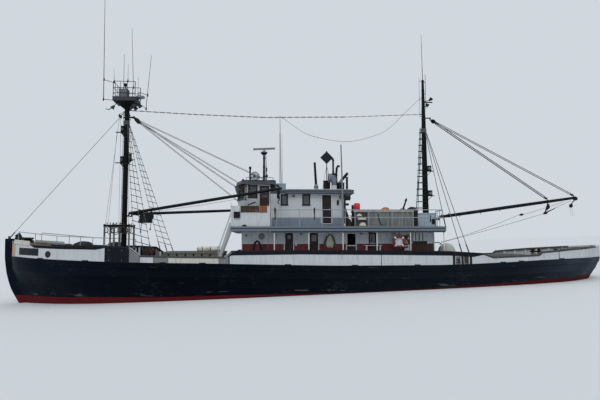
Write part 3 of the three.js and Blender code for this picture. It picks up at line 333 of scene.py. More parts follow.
class Wire:
    """A shader socket whose arithmetic adds Math nodes."""

    def __init__(self, tree: "Tree", socket: bpy.types.NodeSocket) -> None:
        self.tree, self.socket = tree, socket

    def __add__(self, other: "Wire | Number") -> "Wire":
        """Sum."""
        return self.tree.math("ADD", self, other)

    def __sub__(self, other: "Wire | Number") -> "Wire":
        """Difference."""
        return self.tree.math("SUBTRACT", self, other)

    def __rsub__(self, other: "Wire | Number") -> "Wire":
        """Difference from a number."""
        return self.tree.math("SUBTRACT", other, self)

    def __mul__(self, other: "Wire | Number") -> "Wire":
        """Product."""
        return self.tree.math("MULTIPLY", self, other)

    def __truediv__(self, other: "Wire | Number") -> "Wire":
        """Quotient."""
        return self.tree.math("DIVIDE", self, other)

    __radd__, __rmul__ = __add__, __mul__


class Tree:
    """The node tree of one material."""

    def __init__(self, name: str) -> None:
        self.material = bpy.data.materials.new(name)
        self.material.use_nodes = True
        self.nodes, self.links = self.material.node_tree.nodes, self.material.node_tree.links
        self.nodes.clear()
        self.shader = self.nodes.new("ShaderNodeBsdfPrincipled")
        output = self.nodes.new("ShaderNodeOutputMaterial")
        self.links.new(self.shader.outputs[0], output.inputs[0])
        self._place: Wire | None = None

    def feed(self, socket: bpy.types.NodeSocket, value: "Wire | Number | Sequence[float]") -> None:
        """Links a wire to a socket, or sets the socket to a value."""
        if isinstance(value, Wire):
            self.links.new(value.socket, socket)
        elif socket.type == "RGBA":
            socket.default_value = (*value, 1.0)
        else:
            socket.default_value = value

    def node(self, kind: str, settings: dict | None = None, values: dict | None = None,
             output: int | str = 0) -> Wire:
        """Adds any node.

        Args:
            kind: the node's type, without ShaderNode in front.
            settings: its own settings, which are set first.
            values: values or wires for its sockets, by name or number.
            output: which of its outputs is wanted.

        Returns:
            That output.
        """
        made = self.nodes.new("ShaderNode" + kind)
        for key, value in (settings or {}).items():
            setattr(made, key, value)
        for key, value in (values or {}).items():
            self.feed(made.inputs[key], value)
        return Wire(self, made.outputs[output])

    def math(self, operation: str, a: Wire | Number, b: Wire | Number = 0.0) -> Wire:
        """One Math node."""
        return self.node("Math", {"operation": operation}, {0: a, 1: b})

    def mix(self, share: Wire | Number, low: Wire | Colour, high: Wire | Colour) -> Wire:
        """Colour that goes from low to high as share goes from 0 to 1."""
        return self.node("Mix", {"data_type": "RGBA"}, {0: share, 6: low, 7: high}, 2)

    def ship(self) -> Wire:
        """Place in ship axes, with the trim turned out again."""
        if self._place is None:
            place = self.node("TexCoord", output="Object")
            self._place = self.node("VectorRotate", {"rotation_type": "Y_AXIS"},
                                    {"Vector": place, "Angle": math.radians(2.04)})
        return self._place

    def axes(self) -> tuple[Wire, Wire, Wire]:
        """The three ship coordinates."""
        split = self.node("SeparateXYZ", {}, {0: self.ship()})
        return tuple(Wire(self, socket) for socket in split.socket.node.outputs)

    def faces_sideways(self) -> Wire:
        """1 on surfaces that face port or starboard, 0 on those that face the ends."""
        normal = self.node("TexCoord", output="Normal")
        split = self.node("SeparateXYZ", {}, {0: normal}, 1)
        return self.math("GREATER_THAN", self.math("ABSOLUTE", split), 0.6)

    def noise(self, scale: float, stretch: Sequence[float] = (1, 1, 1), detail: float = 3.0,
              rough: float = 0.6) -> Wire:
        """Noise from 0 to 1 in ship axes, drawn out along the axes with a small stretch."""
        place = self.node("VectorMath", {"operation": "MULTIPLY"}, {0: self.ship(), 1: stretch})
        return self.node("TexNoise", {}, {"Vector": place, "Scale": scale, "Detail": detail,
                                          "Roughness": rough})

    def above(self, value: Wire, edge: float, soft: float) -> Wire:
        """Mask that rises from 0 to 1 across an edge."""
        return self.node("MapRange", {"interpolation_type": "SMOOTHSTEP"},
                         {"Value": value, "From Min": edge - soft, "From Max": edge + soft})

    def between(self, value: Wire, low: float, high: float, soft: float) -> Wire:
        """Mask of a band between two edges."""
        return self.above(value, low, soft) * (1 - self.above(value, high, soft))

    def seams(self, value: Wire, pitch: float, half: float) -> Wire:
        """Mask of the joints between boards of one width."""
        distance = self.math("PINGPONG", value, pitch / 2)
        return 1 - self.above(distance, half, half * 0.6)

    def attribute(self, name: str) -> Wire:
        """A value stored on the mesh."""
        return self.node("Attribute", {"attribute_name": name}, output="Fac")

    def finish(self, colour: Wire | Colour, rough: Wire | Number, height: Wire | None = None,
               depth: float = 0.004, **constants: Number) -> bpy.types.Material:
        """Feeds the shader.

        Args:
            colour: base colour.
            rough: roughness.
            height: relief from 0 to 1, for the bump.
            depth: how deep that relief is.
            constants: values of other shader sockets, the same all over, with _ for a space.

        Returns:
            The finished material.
        """
        self.feed(self.shader.inputs["Base Color"], colour)
        self.feed(self.shader.inputs["Roughness"], rough)
        for key, value in constants.items():
            self.feed(self.shader.inputs[key.replace("_", " ").title().replace("Ior", "IOR")], value)
        if height is not None:
            bump = self.node("Bump", {}, {"Height": height, "Distance": depth, "Strength": 0.8})
            self.feed(self.shader.inputs["Normal"], bump)
        return self.material


@dataclass(frozen=True)
class Finish:
    """What a piece is painted or made of. slot is the record's material slot, if it has one."""

    name: str
    slot: str | None = None

    def material(self) -> bpy.types.Material:
        """The material, made on first use."""
        made = bpy.data.materials.get(self.name)
        return made or self.dress(Tree(self.name))

    def dress(self, tree: Tree) -> bpy.types.Material:
        """Builds the nodes. Each kind of finish has its own."""
        raise NotImplementedError


class Run(Enum):
    """Which way boards run, with the ship axis that counts across them."""

    LEVEL = 2
    UPRIGHT = 0
    NONE = -1


DEEP, HIGH = -99.0, 99.0       # below and above everything


@dataclass(frozen=True)
class Zone:
    """Part of a painted surface in another colour, between heights and perhaps between two x or y."""

    colour: Colour
    z: tuple[float, float]
    x: tuple[float, float] | None = None
    y: tuple[float, float] | None = None


@dataclass(frozen=True)
class Boards(Finish):
    """Old paint on boards: seams, dirt that runs down, chips down to grey wood."""

    colour: Colour = (0.5, 0.5, 0.5)
    run: Run = Run.NONE
    pitch: float = 0.14
    seam: float = 0.45
    dirt: float = 0.35
    chips: float = 0.25
    bare: Colour = tone(128, 116, 100)
    streak: Colour = tone(104, 92, 74)
    zones: tuple[Zone, ...] = ()
    rough: float = 0.55
    gloss: float = 0.35

    def dress(self, tree: Tree) -> bpy.types.Material:
        """Builds the nodes."""
        axes = tree.axes()
        colour: Wire | Colour = self.colour
        for zone in self.zones:
            mask: Wire | Number = 1.0
            for axis, span in zip(axes, (zone.x, zone.y, zone.z)):
                if span:
                    mask = mask * tree.between(axis, *span, 0.008)
            colour = tree.mix(mask, colour, zone.colour)
        cloud = tree.noise(1.1, detail=4.0)
        runs = tree.noise(2.2, (3.5, 3.5, 0.3), 4.0, 0.65)
        speck = tree.noise(26.0, (1, 1, 0.45), 3.0, 0.7)
        colour = tree.mix(tree.above(cloud, 0.62, 0.3) * 0.35 * self.dirt, colour, tone(92, 88, 80))
        colour = tree.mix(tree.above(runs, 0.62 - 0.1 * self.dirt * self.dirt, 0.13) * self.dirt, colour,
                          self.streak)
        chipped = tree.above(speck * 0.72 + runs * 0.28, 0.70 - 0.09 * self.chips, 0.018)
        colour = tree.mix(chipped * min(1.0, self.chips * 2), colour, self.bare)
        height = speck * 0.12 + cloud * 0.2 - chipped * 0.3
        if self.run is not Run.NONE:
            across = axes[self.run.value] + 0.013
            if self.run is Run.UPRIGHT:
                on_side = tree.faces_sideways()
                across = axes[0] * on_side + axes[1] * (1 - on_side)
            joint = tree.seams(across, self.pitch, 0.005)
            colour = tree.mix(joint * self.seam, colour, tone(38, 36, 36))
            height = height - joint
        return tree.finish(colour, speck * 0.25 + (self.rough - 0.12), height, 0.004,
                           specular_ior_level=self.gloss)


@dataclass(frozen=True)
class HullPaint(Finish):
    """Dark planking above a dull red bottom. above_boot is the height over the red's edge."""

    def dress(self, tree: Tree) -> bpy.types.Material:
        """Builds the nodes."""
        over, strake = tree.attribute("above_boot"), tree.attribute("strake")
        x, _, z = tree.axes()
        aft = x * -1.0
        cloud, fine = tree.noise(0.7, (1, 1, 1.6), 4.0), tree.noise(13.0, (0.35, 1, 1), 4.0, 0.7)
        scuffs = tree.noise(1.5, (0.5, 1, 3.2), 5.0, 0.72)
        rubbed = tree.above(tree.noise(2.4, (0.35, 1, 2.2), 4.0, 0.7), 0.60, 0.03)
        rusty = tree.noise(0.9, (2.6, 1, 0.35), 4.0, 0.7)
        butt = tree.seams(x + strake * 2.35, 6.4, 0.006)
        plank = tree.node("TexWhiteNoise", {"noise_dimensions": "1D"}, {"W": strake * 3.7})
        dark = tree.mix(plank * 0.5 + cloud * 0.35, tone(0, 3, 11), tone(3, 8, 19))
        for mask, coat in (
                (tree.above(aft, 6.0, 13.0) * 0.35, tone(38, 45, 56)),
                (tree.above(aft, 15.5, 3.5) * (cloud * 0.5 + 0.25), tone(66, 76, 90)),
                (tree.above(x, 12.5, 5.0) * 0.5, tone(10, 23, 38)),
                (tree.above(scuffs, 0.665, 0.03) * 0.2, tone(96, 94, 80)),
                (rubbed * tree.between(over, 0.05, 0.24, 0.05) * 0.55, tone(88, 102, 92)),
                (tree.above(fine * 0.6 + cloud * 0.4, 0.585, 0.03) * 0.10, tone(80, 84, 92)),
                (tree.above(rusty, 0.70, 0.05) * 0.22, tone(70, 48, 38)), (butt * 0.7, tone(6, 7, 9))):
            dark = tree.mix(mask, dark, coat)
        red = tree.mix(cloud, tone(98, 27, 32), tone(70, 19, 22))
        red = tree.mix(tree.above(fine, 0.6, 0.08) * 0.35, red, tone(62, 44, 36))
        weed = tree.between(z + x * 0.0357 + cloud * 0.1, -0.09, 0.10, 0.05)
        red = tree.mix(weed * 0.55, red, tone(26, 28, 20))
        colour = tree.mix(tree.above(over + (fine - 0.5) * 0.05, 0.0, 0.012), red, dark)
        return tree.finish(colour, fine * 0.3 + 0.40, fine * 0.3 + cloud * 0.3 - butt, 0.006,
                           specular_ior_level=0.05)


@dataclass(frozen=True)
class DeckPlanks(Finish):
    """Bare grey deck planks with tarred seams, stained where gear stands."""

    base: Colour = tone(128, 120, 106)
    pitch: float = 0.13

    def dress(self, tree: Tree) -> bpy.types.Material:
        """Builds the nodes."""
        x, y, _ = tree.axes()
        row = tree.math("FLOOR", y / self.pitch)
        shade = tree.node("TexWhiteNoise", {"noise_dimensions": "1D"}, {"W": row})
        grain = tree.noise(20.0, (0.12, 1, 1), 4.0, 0.65)
        stain = tree.noise(0.8, (1, 1, 1), 5.0, 0.7)
        colour = tree.mix(shade * 0.5 + grain * 0.4, self.base, tone(88, 82, 74))
        colour = tree.mix(tree.above(stain, 0.55, 0.14) * 0.6, colour, tone(58, 54, 50))
        joint = tree.seams(y, self.pitch, 0.005)
        butt = tree.seams(x + row * 1.73, 5.2, 0.004)
        lines = tree.math("MAXIMUM", joint, butt)
        colour = tree.mix(lines * 0.85, colour, tone(20, 19, 19))
        return tree.finish(colour, grain * 0.2 + 0.62, grain * 0.3 - lines, 0.004)


@dataclass(frozen=True)
class Metal(Finish):
    """Painted, galvanised or rusty ironwork."""

    colour: Colour = (0.1, 0.1, 0.1)
    rust: float = 0.3
    rough: float = 0.5
    metallic: float = 0.0
    rusty: Colour = tone(104, 58, 36)
    gloss: float = 0.3

    def dress(self, tree: Tree) -> bpy.types.Material:
        """Builds the nodes."""
        cloud, fine = tree.noise(3.2, (1, 1, 0.6), 4.0), tree.noise(42.0, detail=3.0)
        runs = tree.noise(4.0, (4, 4, 0.4), 4.0, 0.7)
        colour = tree.mix(cloud * 0.6, self.colour, tuple(c * 0.62 for c in self.colour))
        eaten = tree.above(cloud * 0.5 + fine * 0.2 + runs * 0.3, 0.64 - 0.17 * self.rust, 0.04)
        colour = tree.mix(eaten * min(1.0, self.rust * 1.6), colour, self.rusty)
        return tree.finish(colour, fine * 0.25 + (self.rough - 0.1) + eaten * 0.2,
                           fine * 0.4 + eaten * 0.5, 0.0015, metallic=self.metallic,
                           specular_ior_level=self.gloss)


@dataclass(frozen=True)
class Timber(Finish):
    """Varnished or oiled timber with its grain along one axis, worn through in places."""

    colour: Colour = tone(84, 48, 30)
    dark: Colour = tone(40, 24, 18)
    worn: Colour = tone(130, 104, 78)
    grain: Point = (1, 1, 0.08)
    wear: float = 0.3
    rough: float = 0.5
    gloss: float = 0.25

    def dress(self, tree: Tree) -> bpy.types.Material:
        """Builds the nodes."""
        grain = tree.noise(22.0, self.grain, 5.0, 0.65)
        cloud = tree.noise(2.0, detail=4.0)
        colour = tree.mix(tree.above(grain, 0.5, 0.22), self.colour, self.dark)
        worn = tree.above(cloud * 0.6 + grain * 0.4, 0.66 - 0.16 * self.wear, 0.06)
        colour = tree.mix(worn * 0.8, colour, self.worn)
        return tree.finish(colour, worn * 0.25 + self.rough, grain, 0.002, specular_ior_level=self.gloss)


@dataclass(frozen=True)
class Cloth(Finish):
    """Canvas or tarpaulin: woven, creased, stained, with painted shade in its creases."""

    colour: Colour = tone(206, 208, 205)
    # stain: colour of the stains, and of the painted shade in the creases
    stain: Colour = tone(120, 112, 96)
    weave: float = 420.0

    def dress(self, tree: Tree) -> bpy.types.Material:
        """Builds the nodes."""
        x, y, z = tree.axes()
        cloud = tree.noise(2.6, detail=5.0, rough=0.65)
        creases = tree.noise(5.0, (0.6, 1.4, 1.4), 3.0, 0.5)
        threads = (tree.math("SINE", (x + y) * self.weave) + tree.math("SINE", z * self.weave)) * 0.25 + 0.5
        colour = tree.mix(tree.above(cloud, 0.54, 0.16) * 0.65, self.colour, self.stain)
        # painted shade: the hollows of the creases are darkened towards the stain colour
        colour = tree.mix((1 - creases) * 0.3, colour, self.stain)
        return tree.finish(colour, 0.88, threads * 0.08 + creases * 0.9, 0.012,
                           sheen_weight=0.15)


@dataclass(frozen=True)
class Rope(Finish):
    """Laid fibre or wire rope. Fine slanting bands stand for its strands, with painted shade in the grooves
    between them.
    """

    colour: Colour = tone(150, 132, 100)
    # dark: the rope's darker tone, also the painted shade between its strands
    dark: Colour = tone(84, 70, 50)
    rough: float = 0.85
    metallic: float = 0.0

    def dress(self, tree: Tree) -> bpy.types.Material:
        """Builds the nodes."""
        x, y, z = tree.axes()
        lay = tree.math("SINE", (x + y * 1.3 + z * 0.9) * 190.0) * 0.5 + 0.5
        cloud = tree.noise(7.0, detail=3.0)
        # painted shade: the grooves of the lay go towards dark, with random tone from cloud
        colour = tree.mix(lay * 0.6 + cloud * 0.4, self.dark, self.colour)
        return tree.finish(colour, self.rough, lay, 0.003, metallic=self.metallic)


@dataclass(frozen=True)
class Glass(Finish):
    """Window glass. alpha under 1 lets the inside show."""

    colour: Colour = tone(34, 40, 46)
    alpha: float = 1.0

    def dress(self, tree: Tree) -> bpy.types.Material:
        """Builds the nodes."""
        grime = tree.noise(3.0, (1, 1, 0.5), 4.0)
        colour = tree.mix(tree.above(grime, 0.5, 0.2) * 0.5, self.colour, tone(84, 90, 94))
        return tree.finish(colour, grime * 0.16 + 0.04, coat_weight=0.6, alpha=self.alpha)


@dataclass(frozen=True)
class Plain(Finish):
    """Moulded plastic or rubber with a little wear."""

    colour: Colour = (0.3, 0.02, 0.02)
    rough: float = 0.45

    def dress(self, tree: Tree) -> bpy.types.Material:
        """Builds the nodes."""
        cloud, fine = tree.noise(4.0, detail=4.0), tree.noise(60.0, detail=2.0)
        colour = tree.mix(cloud * 0.5, self.colour, tuple(c * 0.5 for c in self.colour))
        colour = tree.mix(tree.above(fine, 0.66, 0.05) * 0.3, colour, tone(150, 140, 132))
        return tree.finish(colour, fine * 0.2 + self.rough, fine, 0.0006)


# Palette

WHITE = tone(186, 190, 194)
NAVY = tone(7, 12, 23)
SLATE = tone(74, 85, 98)
BAND_RED = tone(96, 22, 32)

HULL_PAINT = HullPaint("hull_paint", "tarred_planking")
DECK_PLANKS = DeckPlanks("deck_planks", "tarred_planking")
WHITE_LEVEL = Boards("white_level_boards", "white_boards", WHITE, Run.LEVEL, 0.155, 0.22, 0.30, 0.25)
WHITE_FLAT = Boards("white_flat", "white_boards", WHITE, dirt=0.3, chips=0.25)
NAVY_WOOD = Boards("navy_wood", "tarred_planking", NAVY, dirt=0.06, chips=0.18, rough=0.55, gloss=0.15)
GREY_WOOD = Boards("grey_wood", "white_boards", tone(112, 114, 116), Run.LEVEL, 0.155, 0.3, 0.5, 0.5)
TAN_WOOD = Boards("worn_cap_wood", "white_boards", tone(84, 64, 52), dirt=0.4, chips=0.5)
SLATE_PAINT = Boards("slate_boards", "slate_paint", SLATE, dirt=0.3, chips=0.3)
SLATE_DARK = Boards("slate_shadow", "slate_paint", tone(34, 40, 50), dirt=0.2, chips=0.2)
BLACK_IRON = Metal("black_ironwork", "black_iron", tone(12, 12, 15), rust=0.2, rusty=tone(52, 34, 26),
                   gloss=0.2)
GREY_IRON = Metal("grey_ironwork", "grey_iron", tone(146, 152, 156), rust=0.2, rough=0.5)
RUSTY_IRON = Metal("rusty_ironwork", "rusty_iron", tone(44, 36, 35), rust=0.8, rough=0.75,
                   rusty=tone(72, 42, 32))
WIRE_ROPE = Rope("greased_wire", "wire_rope", tone(92, 96, 102), tone(40, 42, 46), 0.5, 0.5)
BRONZE = Metal("dull_bronze", "bronze", tone(150, 116, 66), 0.3, 0.4, 0.9, tone(84, 110, 84))
RED_LEAD = Metal("bottom_red", "red_lead", tone(112, 32, 34), 0.3, 0.7)
VARNISH = Timber("worn_varnish", "varnish", tone(62, 40, 32), tone(34, 24, 20), tone(100, 76, 58))
MAST_PAINT = Timber("mast_timber", "mast_paint", tone(12, 10, 11), tone(6, 5, 6), tone(46, 36, 30),
                    (1, 1, 0.05), 0.12, 0.55, 0.12)
BOOM_PAINT = Timber("boom_paint", "black_iron", tone(20, 20, 23), tone(12, 12, 14), tone(70, 64, 58),
                    (0.05, 1, 1), 0.2, 0.55, 0.15)
CANVAS = Cloth("white_canvas", "canvas", tone(232, 229, 220), tone(150, 142, 128))
MANILA = Rope("manila_rope")
DARK_ROPE = Rope("dark_rope", None, tone(70, 66, 60), tone(34, 32, 30))
GLASS = Glass("window_glass")
RUBBER = Plain("black_rubber", None, tone(22, 22, 24), 0.6)
CLEAR_GLASS = Glass("clear_glass", None, tone(60, 68, 74), 0.72)
PALE_GLASS = Glass("lamp_glass", None, tone(196, 200, 196), 1.0)
# Painted shade: dark finish for the insides of windows and of the cowl's mouth, where there is only shade.
SHADE_INSIDE = Plain("painted_inside_shade", None, tone(24, 25, 28), 0.8)
CURTAIN = Cloth("curtain_cloth", None, tone(214, 212, 204), tone(150, 146, 138))
CREAM_CLOTH = Cloth("cream_cloth", None, tone(206, 198, 178), tone(132, 116, 92))
COVER_CLOTH = Cloth("cover_cloth", "canvas", tone(196, 198, 196), tone(140, 134, 124))
DARK_TARP = Cloth("dark_tarp", None, tone(14, 15, 18), tone(40, 38, 36))
WEATHERED_IRON = Metal("weathered_iron", "grey_iron", tone(58, 60, 64), 0.3, 0.6, rusty=tone(70, 54, 44),
                       gloss=0.2)
LAMP_GREY = Metal("lamp_grey", None, tone(136, 142, 148), 0.1, 0.5)
WOOD_DARK = Timber("dark_wood", None, tone(50, 38, 30), tone(28, 22, 18), tone(84, 66, 52))
# Darker than the varnish: the doors' own dark finish, darkened further as painted shade for doors under the
# boat deck.
DARK_DOOR = Timber("dark_door_wood", "varnish", tone(38, 28, 27), tone(20, 16, 16), tone(66, 50, 42))
RED_PLASTIC = Plain("red_plastic", None, tone(104, 16, 28))
GREEN_PLASTIC = Plain("green_plastic", None, tone(24, 108, 62))
TANK_RED = Plain("tank_red", None, tone(206, 34, 38))
WHITE_PLASTIC = Plain("white_plastic", None, tone(214, 214, 210))
ORANGE_PLASTIC = Plain("orange_plastic", None, tone(176, 92, 40))
BRASS = Metal("worn_brass", None, tone(168, 132, 70), 0.15, 0.35, 0.9, tone(92, 104, 76))
VERDIGRIS = Metal("green_bronze", None, tone(122, 132, 116), 0.3, 0.5, 0.3, tone(92, 112, 96))
DARK_FRAME = Timber("dark_window_frames", None, tone(20, 17, 18), tone(12, 11, 12), tone(50, 42, 38))
WORN_BOARD = Timber("worn_board", None, tone(58, 42, 36), tone(34, 26, 24), tone(104, 84, 66),
                    (0.1, 1, 1), 0.5)
ORANGE_WOOD = Timber("orange_wood", None, tone(146, 88, 48), tone(96, 56, 34), tone(170, 130, 92))
GREY_TRIM = Boards("grey_trim", None, tone(110, 116, 122), dirt=0.4, chips=0.3)
PALE_BLUE = Boards("pale_blue_paint", "slate_paint", tone(156, 172, 185), dirt=0.35, chips=0.2)
CREAM_WOOD = Boards("cream_wood", None, tone(160, 158, 150), dirt=0.6, chips=0.5)
STAINED_WOOD = Boards("stained_wood", "grey_iron", tone(116, 119, 118), Run.UPRIGHT, 0.2, 0.4, 0.72, 0.5,
                      streak=tone(56, 60, 60))
GREY_PLANKS = DeckPlanks("boat_deck_planking", "slate_paint", tone(92, 96, 100), 0.11)
HOUSE_BOARDS = Boards("house_boards", "white_boards", tone(180, 187, 194), Run.UPRIGHT, 0.14, 0.16, 0.4,
                      0.25, zones=(Zone(BAND_RED, (DEEP, 3.04), (-8.0, 4.5)),))
CABIN_BOARDS = Boards("cabin_boards", "white_boards", WHITE, Run.UPRIGHT, 0.10, 0.3, 0.3, 0.2,
                      zones=(Zone(tone(112, 127, 142), (DEEP, 4.66), (-2.2, 2.62)),))
# Cream posts; above 3.71 m, under the boat deck's edge, a dark zone of painted shadow.
CREAM_POST_WITH_SHADE = Boards("cream_posts_with_painted_shade", "white_boards", tone(204, 204, 199), dirt=0.3, chips=0.3,
                    zones=(Zone(tone(60, 66, 74), (3.71, HIGH)),))
TAN_EDGE = Boards("tan_edge", None, tone(176, 142, 110), dirt=0.4, chips=0.3)
CREAM_BOARDS = Boards("cream_boards", "white_boards", tone(188, 187, 178), Run.LEVEL, 0.155, 0.2, 0.4, 0.3)
GREY_CAP = Boards("worn_grey_cap", "tarred_planking", tone(52, 53, 56), dirt=0.5, chips=0.4, gloss=0.2)
COAMING = Boards("coaming_boards", "slate_paint", tone(104, 104, 98), Run.LEVEL, 0.2, 0.3, 0.4, 0.3)
BARE_BOARD = Boards("blank_board", "tarred_planking", tone(26, 30, 40), dirt=0.15, chips=0.0, gloss=0.15)
CASING_NAVY = Boards("casing_navy", "slate_paint", tone(16, 22, 33), dirt=0.15, chips=0.15, gloss=0.2)
LADDER_GREY = Boards("ladder_grey", "grey_iron", tone(168, 173, 174), dirt=0.3, chips=0.3)
COWL_GREY = Boards("cowl_grey", "slate_paint", tone(108, 120, 132), dirt=0.3, chips=0.2)
TAN_ROPE = Rope("tan_rope", None, tone(92, 86, 76), tone(54, 50, 44))
PALE_ROPE = Rope("pale_rope", None, tone(226, 224, 216), tone(176, 174, 168))
BRIDGE_BOARDS = Boards("bridge_boards", "white_boards", WHITE, Run.UPRIGHT, 0.10, 0.3, 0.3, 0.2)
WING_BOARDS = Boards("wing_boards", "white_boards", WHITE, Run.UPRIGHT, 0.6, 0.25, 0.25, 0.15)
SLATE_LIGHT = Boards("slate_light", "slate_paint", tone(98, 108, 120), dirt=0.35, chips=0.3)
ROOF_PAINT = Boards("roof_paint", "slate_paint", tone(58, 68, 80), dirt=0.4, chips=0.3, zones=(
    Zone(tone(116, 120, 126), (7.0, HIGH), (1.7, 2.2), (0.70, 0.90)),
    Zone(tone(34, 36, 40), (7.0, HIGH), (1.7, 2.2), (0.5, 0.70)),
    Zone(tone(140, 156, 168), (6.435, 6.995), (1.5, 2.4), (0.5, 0.95))))
FRAME_FINISHES = {
    "cabin_roof": ROOF_PAINT, "wheelhouse_roof": ROOF_PAINT, "deckhouse": HOUSE_BOARDS,
    "cabin": CABIN_BOARDS, "wheelhouse": BRIDGE_BOARDS, "bridge_front": WING_BOARDS,
    "deck_box": STAINED_WOOD, "mast_locker": PALE_BLUE, "lookout": WEATHERED_IRON,
    "radar_mast": MAST_PAINT, "cargo_winch_frame": RUSTY_IRON, "cowl_vent": COWL_GREY,
    "roof_casing": CASING_NAVY, "fore_ladder": LADDER_GREY, "aft_ladder": LADDER_GREY,
    "fore_hatch_cover": COAMING, "aft_hatch_cover": COAMING,
    **{f"{name}_{side.label}": finish for side in Side for name, finish in (
        ("bridge_wing", WING_BOARDS), ("stanchions", CREAM_POST_WITH_SHADE), ("mess_half_door", DARK_DOOR),
        ("galley_door", DARK_DOOR), ("engine_room_door", DARK_DOOR), ("cabin_door", DARK_DOOR))},
}


# Hull form

@dataclass(frozen=True)
class Level:
    """One line along the hull: where it ends, its half breadth, height and fullness column."""

    bow: float
    stern: float
    half: float
    z: float
    full: str
    sheer: bool = False


class HullForm:
    """Fair hull surface: fullness at deck, load line and bilge by share of the length."""

    STATIONS = (  # share from the stern, deck, water, bilge, height of the deck edge
        (0.000, 0.05, 0.045, 0.05, 2.130), (0.008, 0.24, 0.170, 0.05, 2.120),
        (0.025, 0.39, 0.290, 0.05, 2.105), (0.050, 0.60, 0.470, 0.06, 2.085),
        (0.090, 0.77, 0.660, 0.12, 2.050), (0.140, 0.87, 0.790, 0.27, 1.980),
        (0.220, 0.94, 0.900, 0.52, 1.830), (0.330, 0.985, 0.97, 0.80, 1.715),
        (0.450, 1.00, 1.000, 1.00, 1.715), (0.570, 1.00, 1.000, 1.00, 1.790),
        (0.680, 1.00, 0.985, 0.92, 1.890), (0.770, 0.985, 0.93, 0.72, 1.950),
        (0.840, 0.945, 0.83, 0.50, 2.040), (0.890, 0.87, 0.690, 0.33, 2.120),
        (0.930, 0.75, 0.510, 0.20, 2.200), (0.965, 0.53, 0.290, 0.10, 2.270),
        (0.985, 0.32, 0.150, 0.07, 2.300), (1.000, 0.05, 0.040, 0.05, 2.290))
    LEVELS = (
        Level(BOW, STERN, HALF_BEAM, 0.0, "deck", True),
        Level(BOW - 0.01, STERN + 0.09, HALF_BEAM, -0.32, "deck", True),
        Level(BOW - 0.02, STERN + 0.13, HALF_BEAM - 0.05, -0.321, "deck", True),
        Level(BOW - 0.08, STERN + 0.40, HALF_BEAM - 0.05, -0.80, "deck", True),
        Level(BOW - 0.09, STERN + 0.43, HALF_BEAM - 0.09, -0.801, "deck", True),
        Level(18.70, -18.90, 3.74, 0.30, "water"), Level(18.15, -17.35, 3.48, -0.70, "water"),
        Level(17.85, -15.90, 3.15, -1.15, "bilge"), Level(17.35, -15.90, 2.50, -1.80, "bilge"),
        Level(16.75, -15.90, 1.00, -2.35, "bilge"), Level(16.20, -15.90, KEEL_HALF, KEEL_Z, "bilge"))
    BOOT_TOP = Fair([(-19.9, 1.03), (-16.5, 0.86), (-13.8, 0.71), (-10.8, 0.53), (-6.4, 0.30), (-1.5, 0.12),
                     (5.6, 0.02), (9.0, -0.06), (12.5, -0.07), (14.7, -0.11), (19.2, -0.17)])

    def __init__(self) -> None:
        self.full = {name: Fair([(row[0], row[i]) for row in self.STATIONS])
                     for i, name in enumerate(("deck", "water", "bilge"), start=1)}
        self.sheer = Fair([(row[0], row[4]) for row in self.STATIONS])

    def point(self, level: Level, share: float) -> Vector:
        """Point of the port side on a level."""
        y = max(KEEL_HALF, level.half * self.full[level.full](share))
        z = level.z + (self.sheer(share) if level.sheer else 0.0)
        return Vector((lerp(level.stern, level.bow, share), y, z))

    def share(self, x: float) -> float:
        """Share of the deck's length at x."""
        return (x - STERN) / (BOW - STERN)

    def deck_half(self, x: float) -> float:
        """Half breadth of the deck at x."""
        return HALF_BEAM * self.full["deck"](self.share(x))

    def deck_z(self, x: float) -> float:
        """Height of the deck at x."""
        return self.sheer(self.share(x))

    def edge(self, x: float, inset: float, z: float) -> Vector:
        """Point at a height, set in square to the deck edge in plan, on the port side."""
        near, far = max(x - 0.04, STERN), min(x + 0.04, BOW)
        slope = (self.deck_half(far) - self.deck_half(near)) / (far - near)
        length = math.hypot(1, slope)
        y = self.deck_half(x) - inset / length
        return Vector((x + slope * inset / length, max(0.001, y), z))

    def section(self, x: float, profile: Iterable[tuple[float, float]]) -> list[Vector]:
        """Points at x, from their insets and heights."""
        return [self.edge(x, inset, z) for inset, z in profile]

    def along(self, x: float) -> Vector:
        """Which way the deck edge runs at x."""
        return (self.edge(x + 0.1, 0, 0) - self.edge(x - 0.1, 0, 0)).normalized()

    def shares(self) -> list[float]:
        """Shares of the length at which the surface is cut, closer together at the ends."""
        count = 110
        return [0.5 - 0.5 * math.cos(math.pi * i / count) * (1 - 0.12 * math.sin(math.pi * i / count))
                for i in range(count + 1)]


FORM = HullForm()


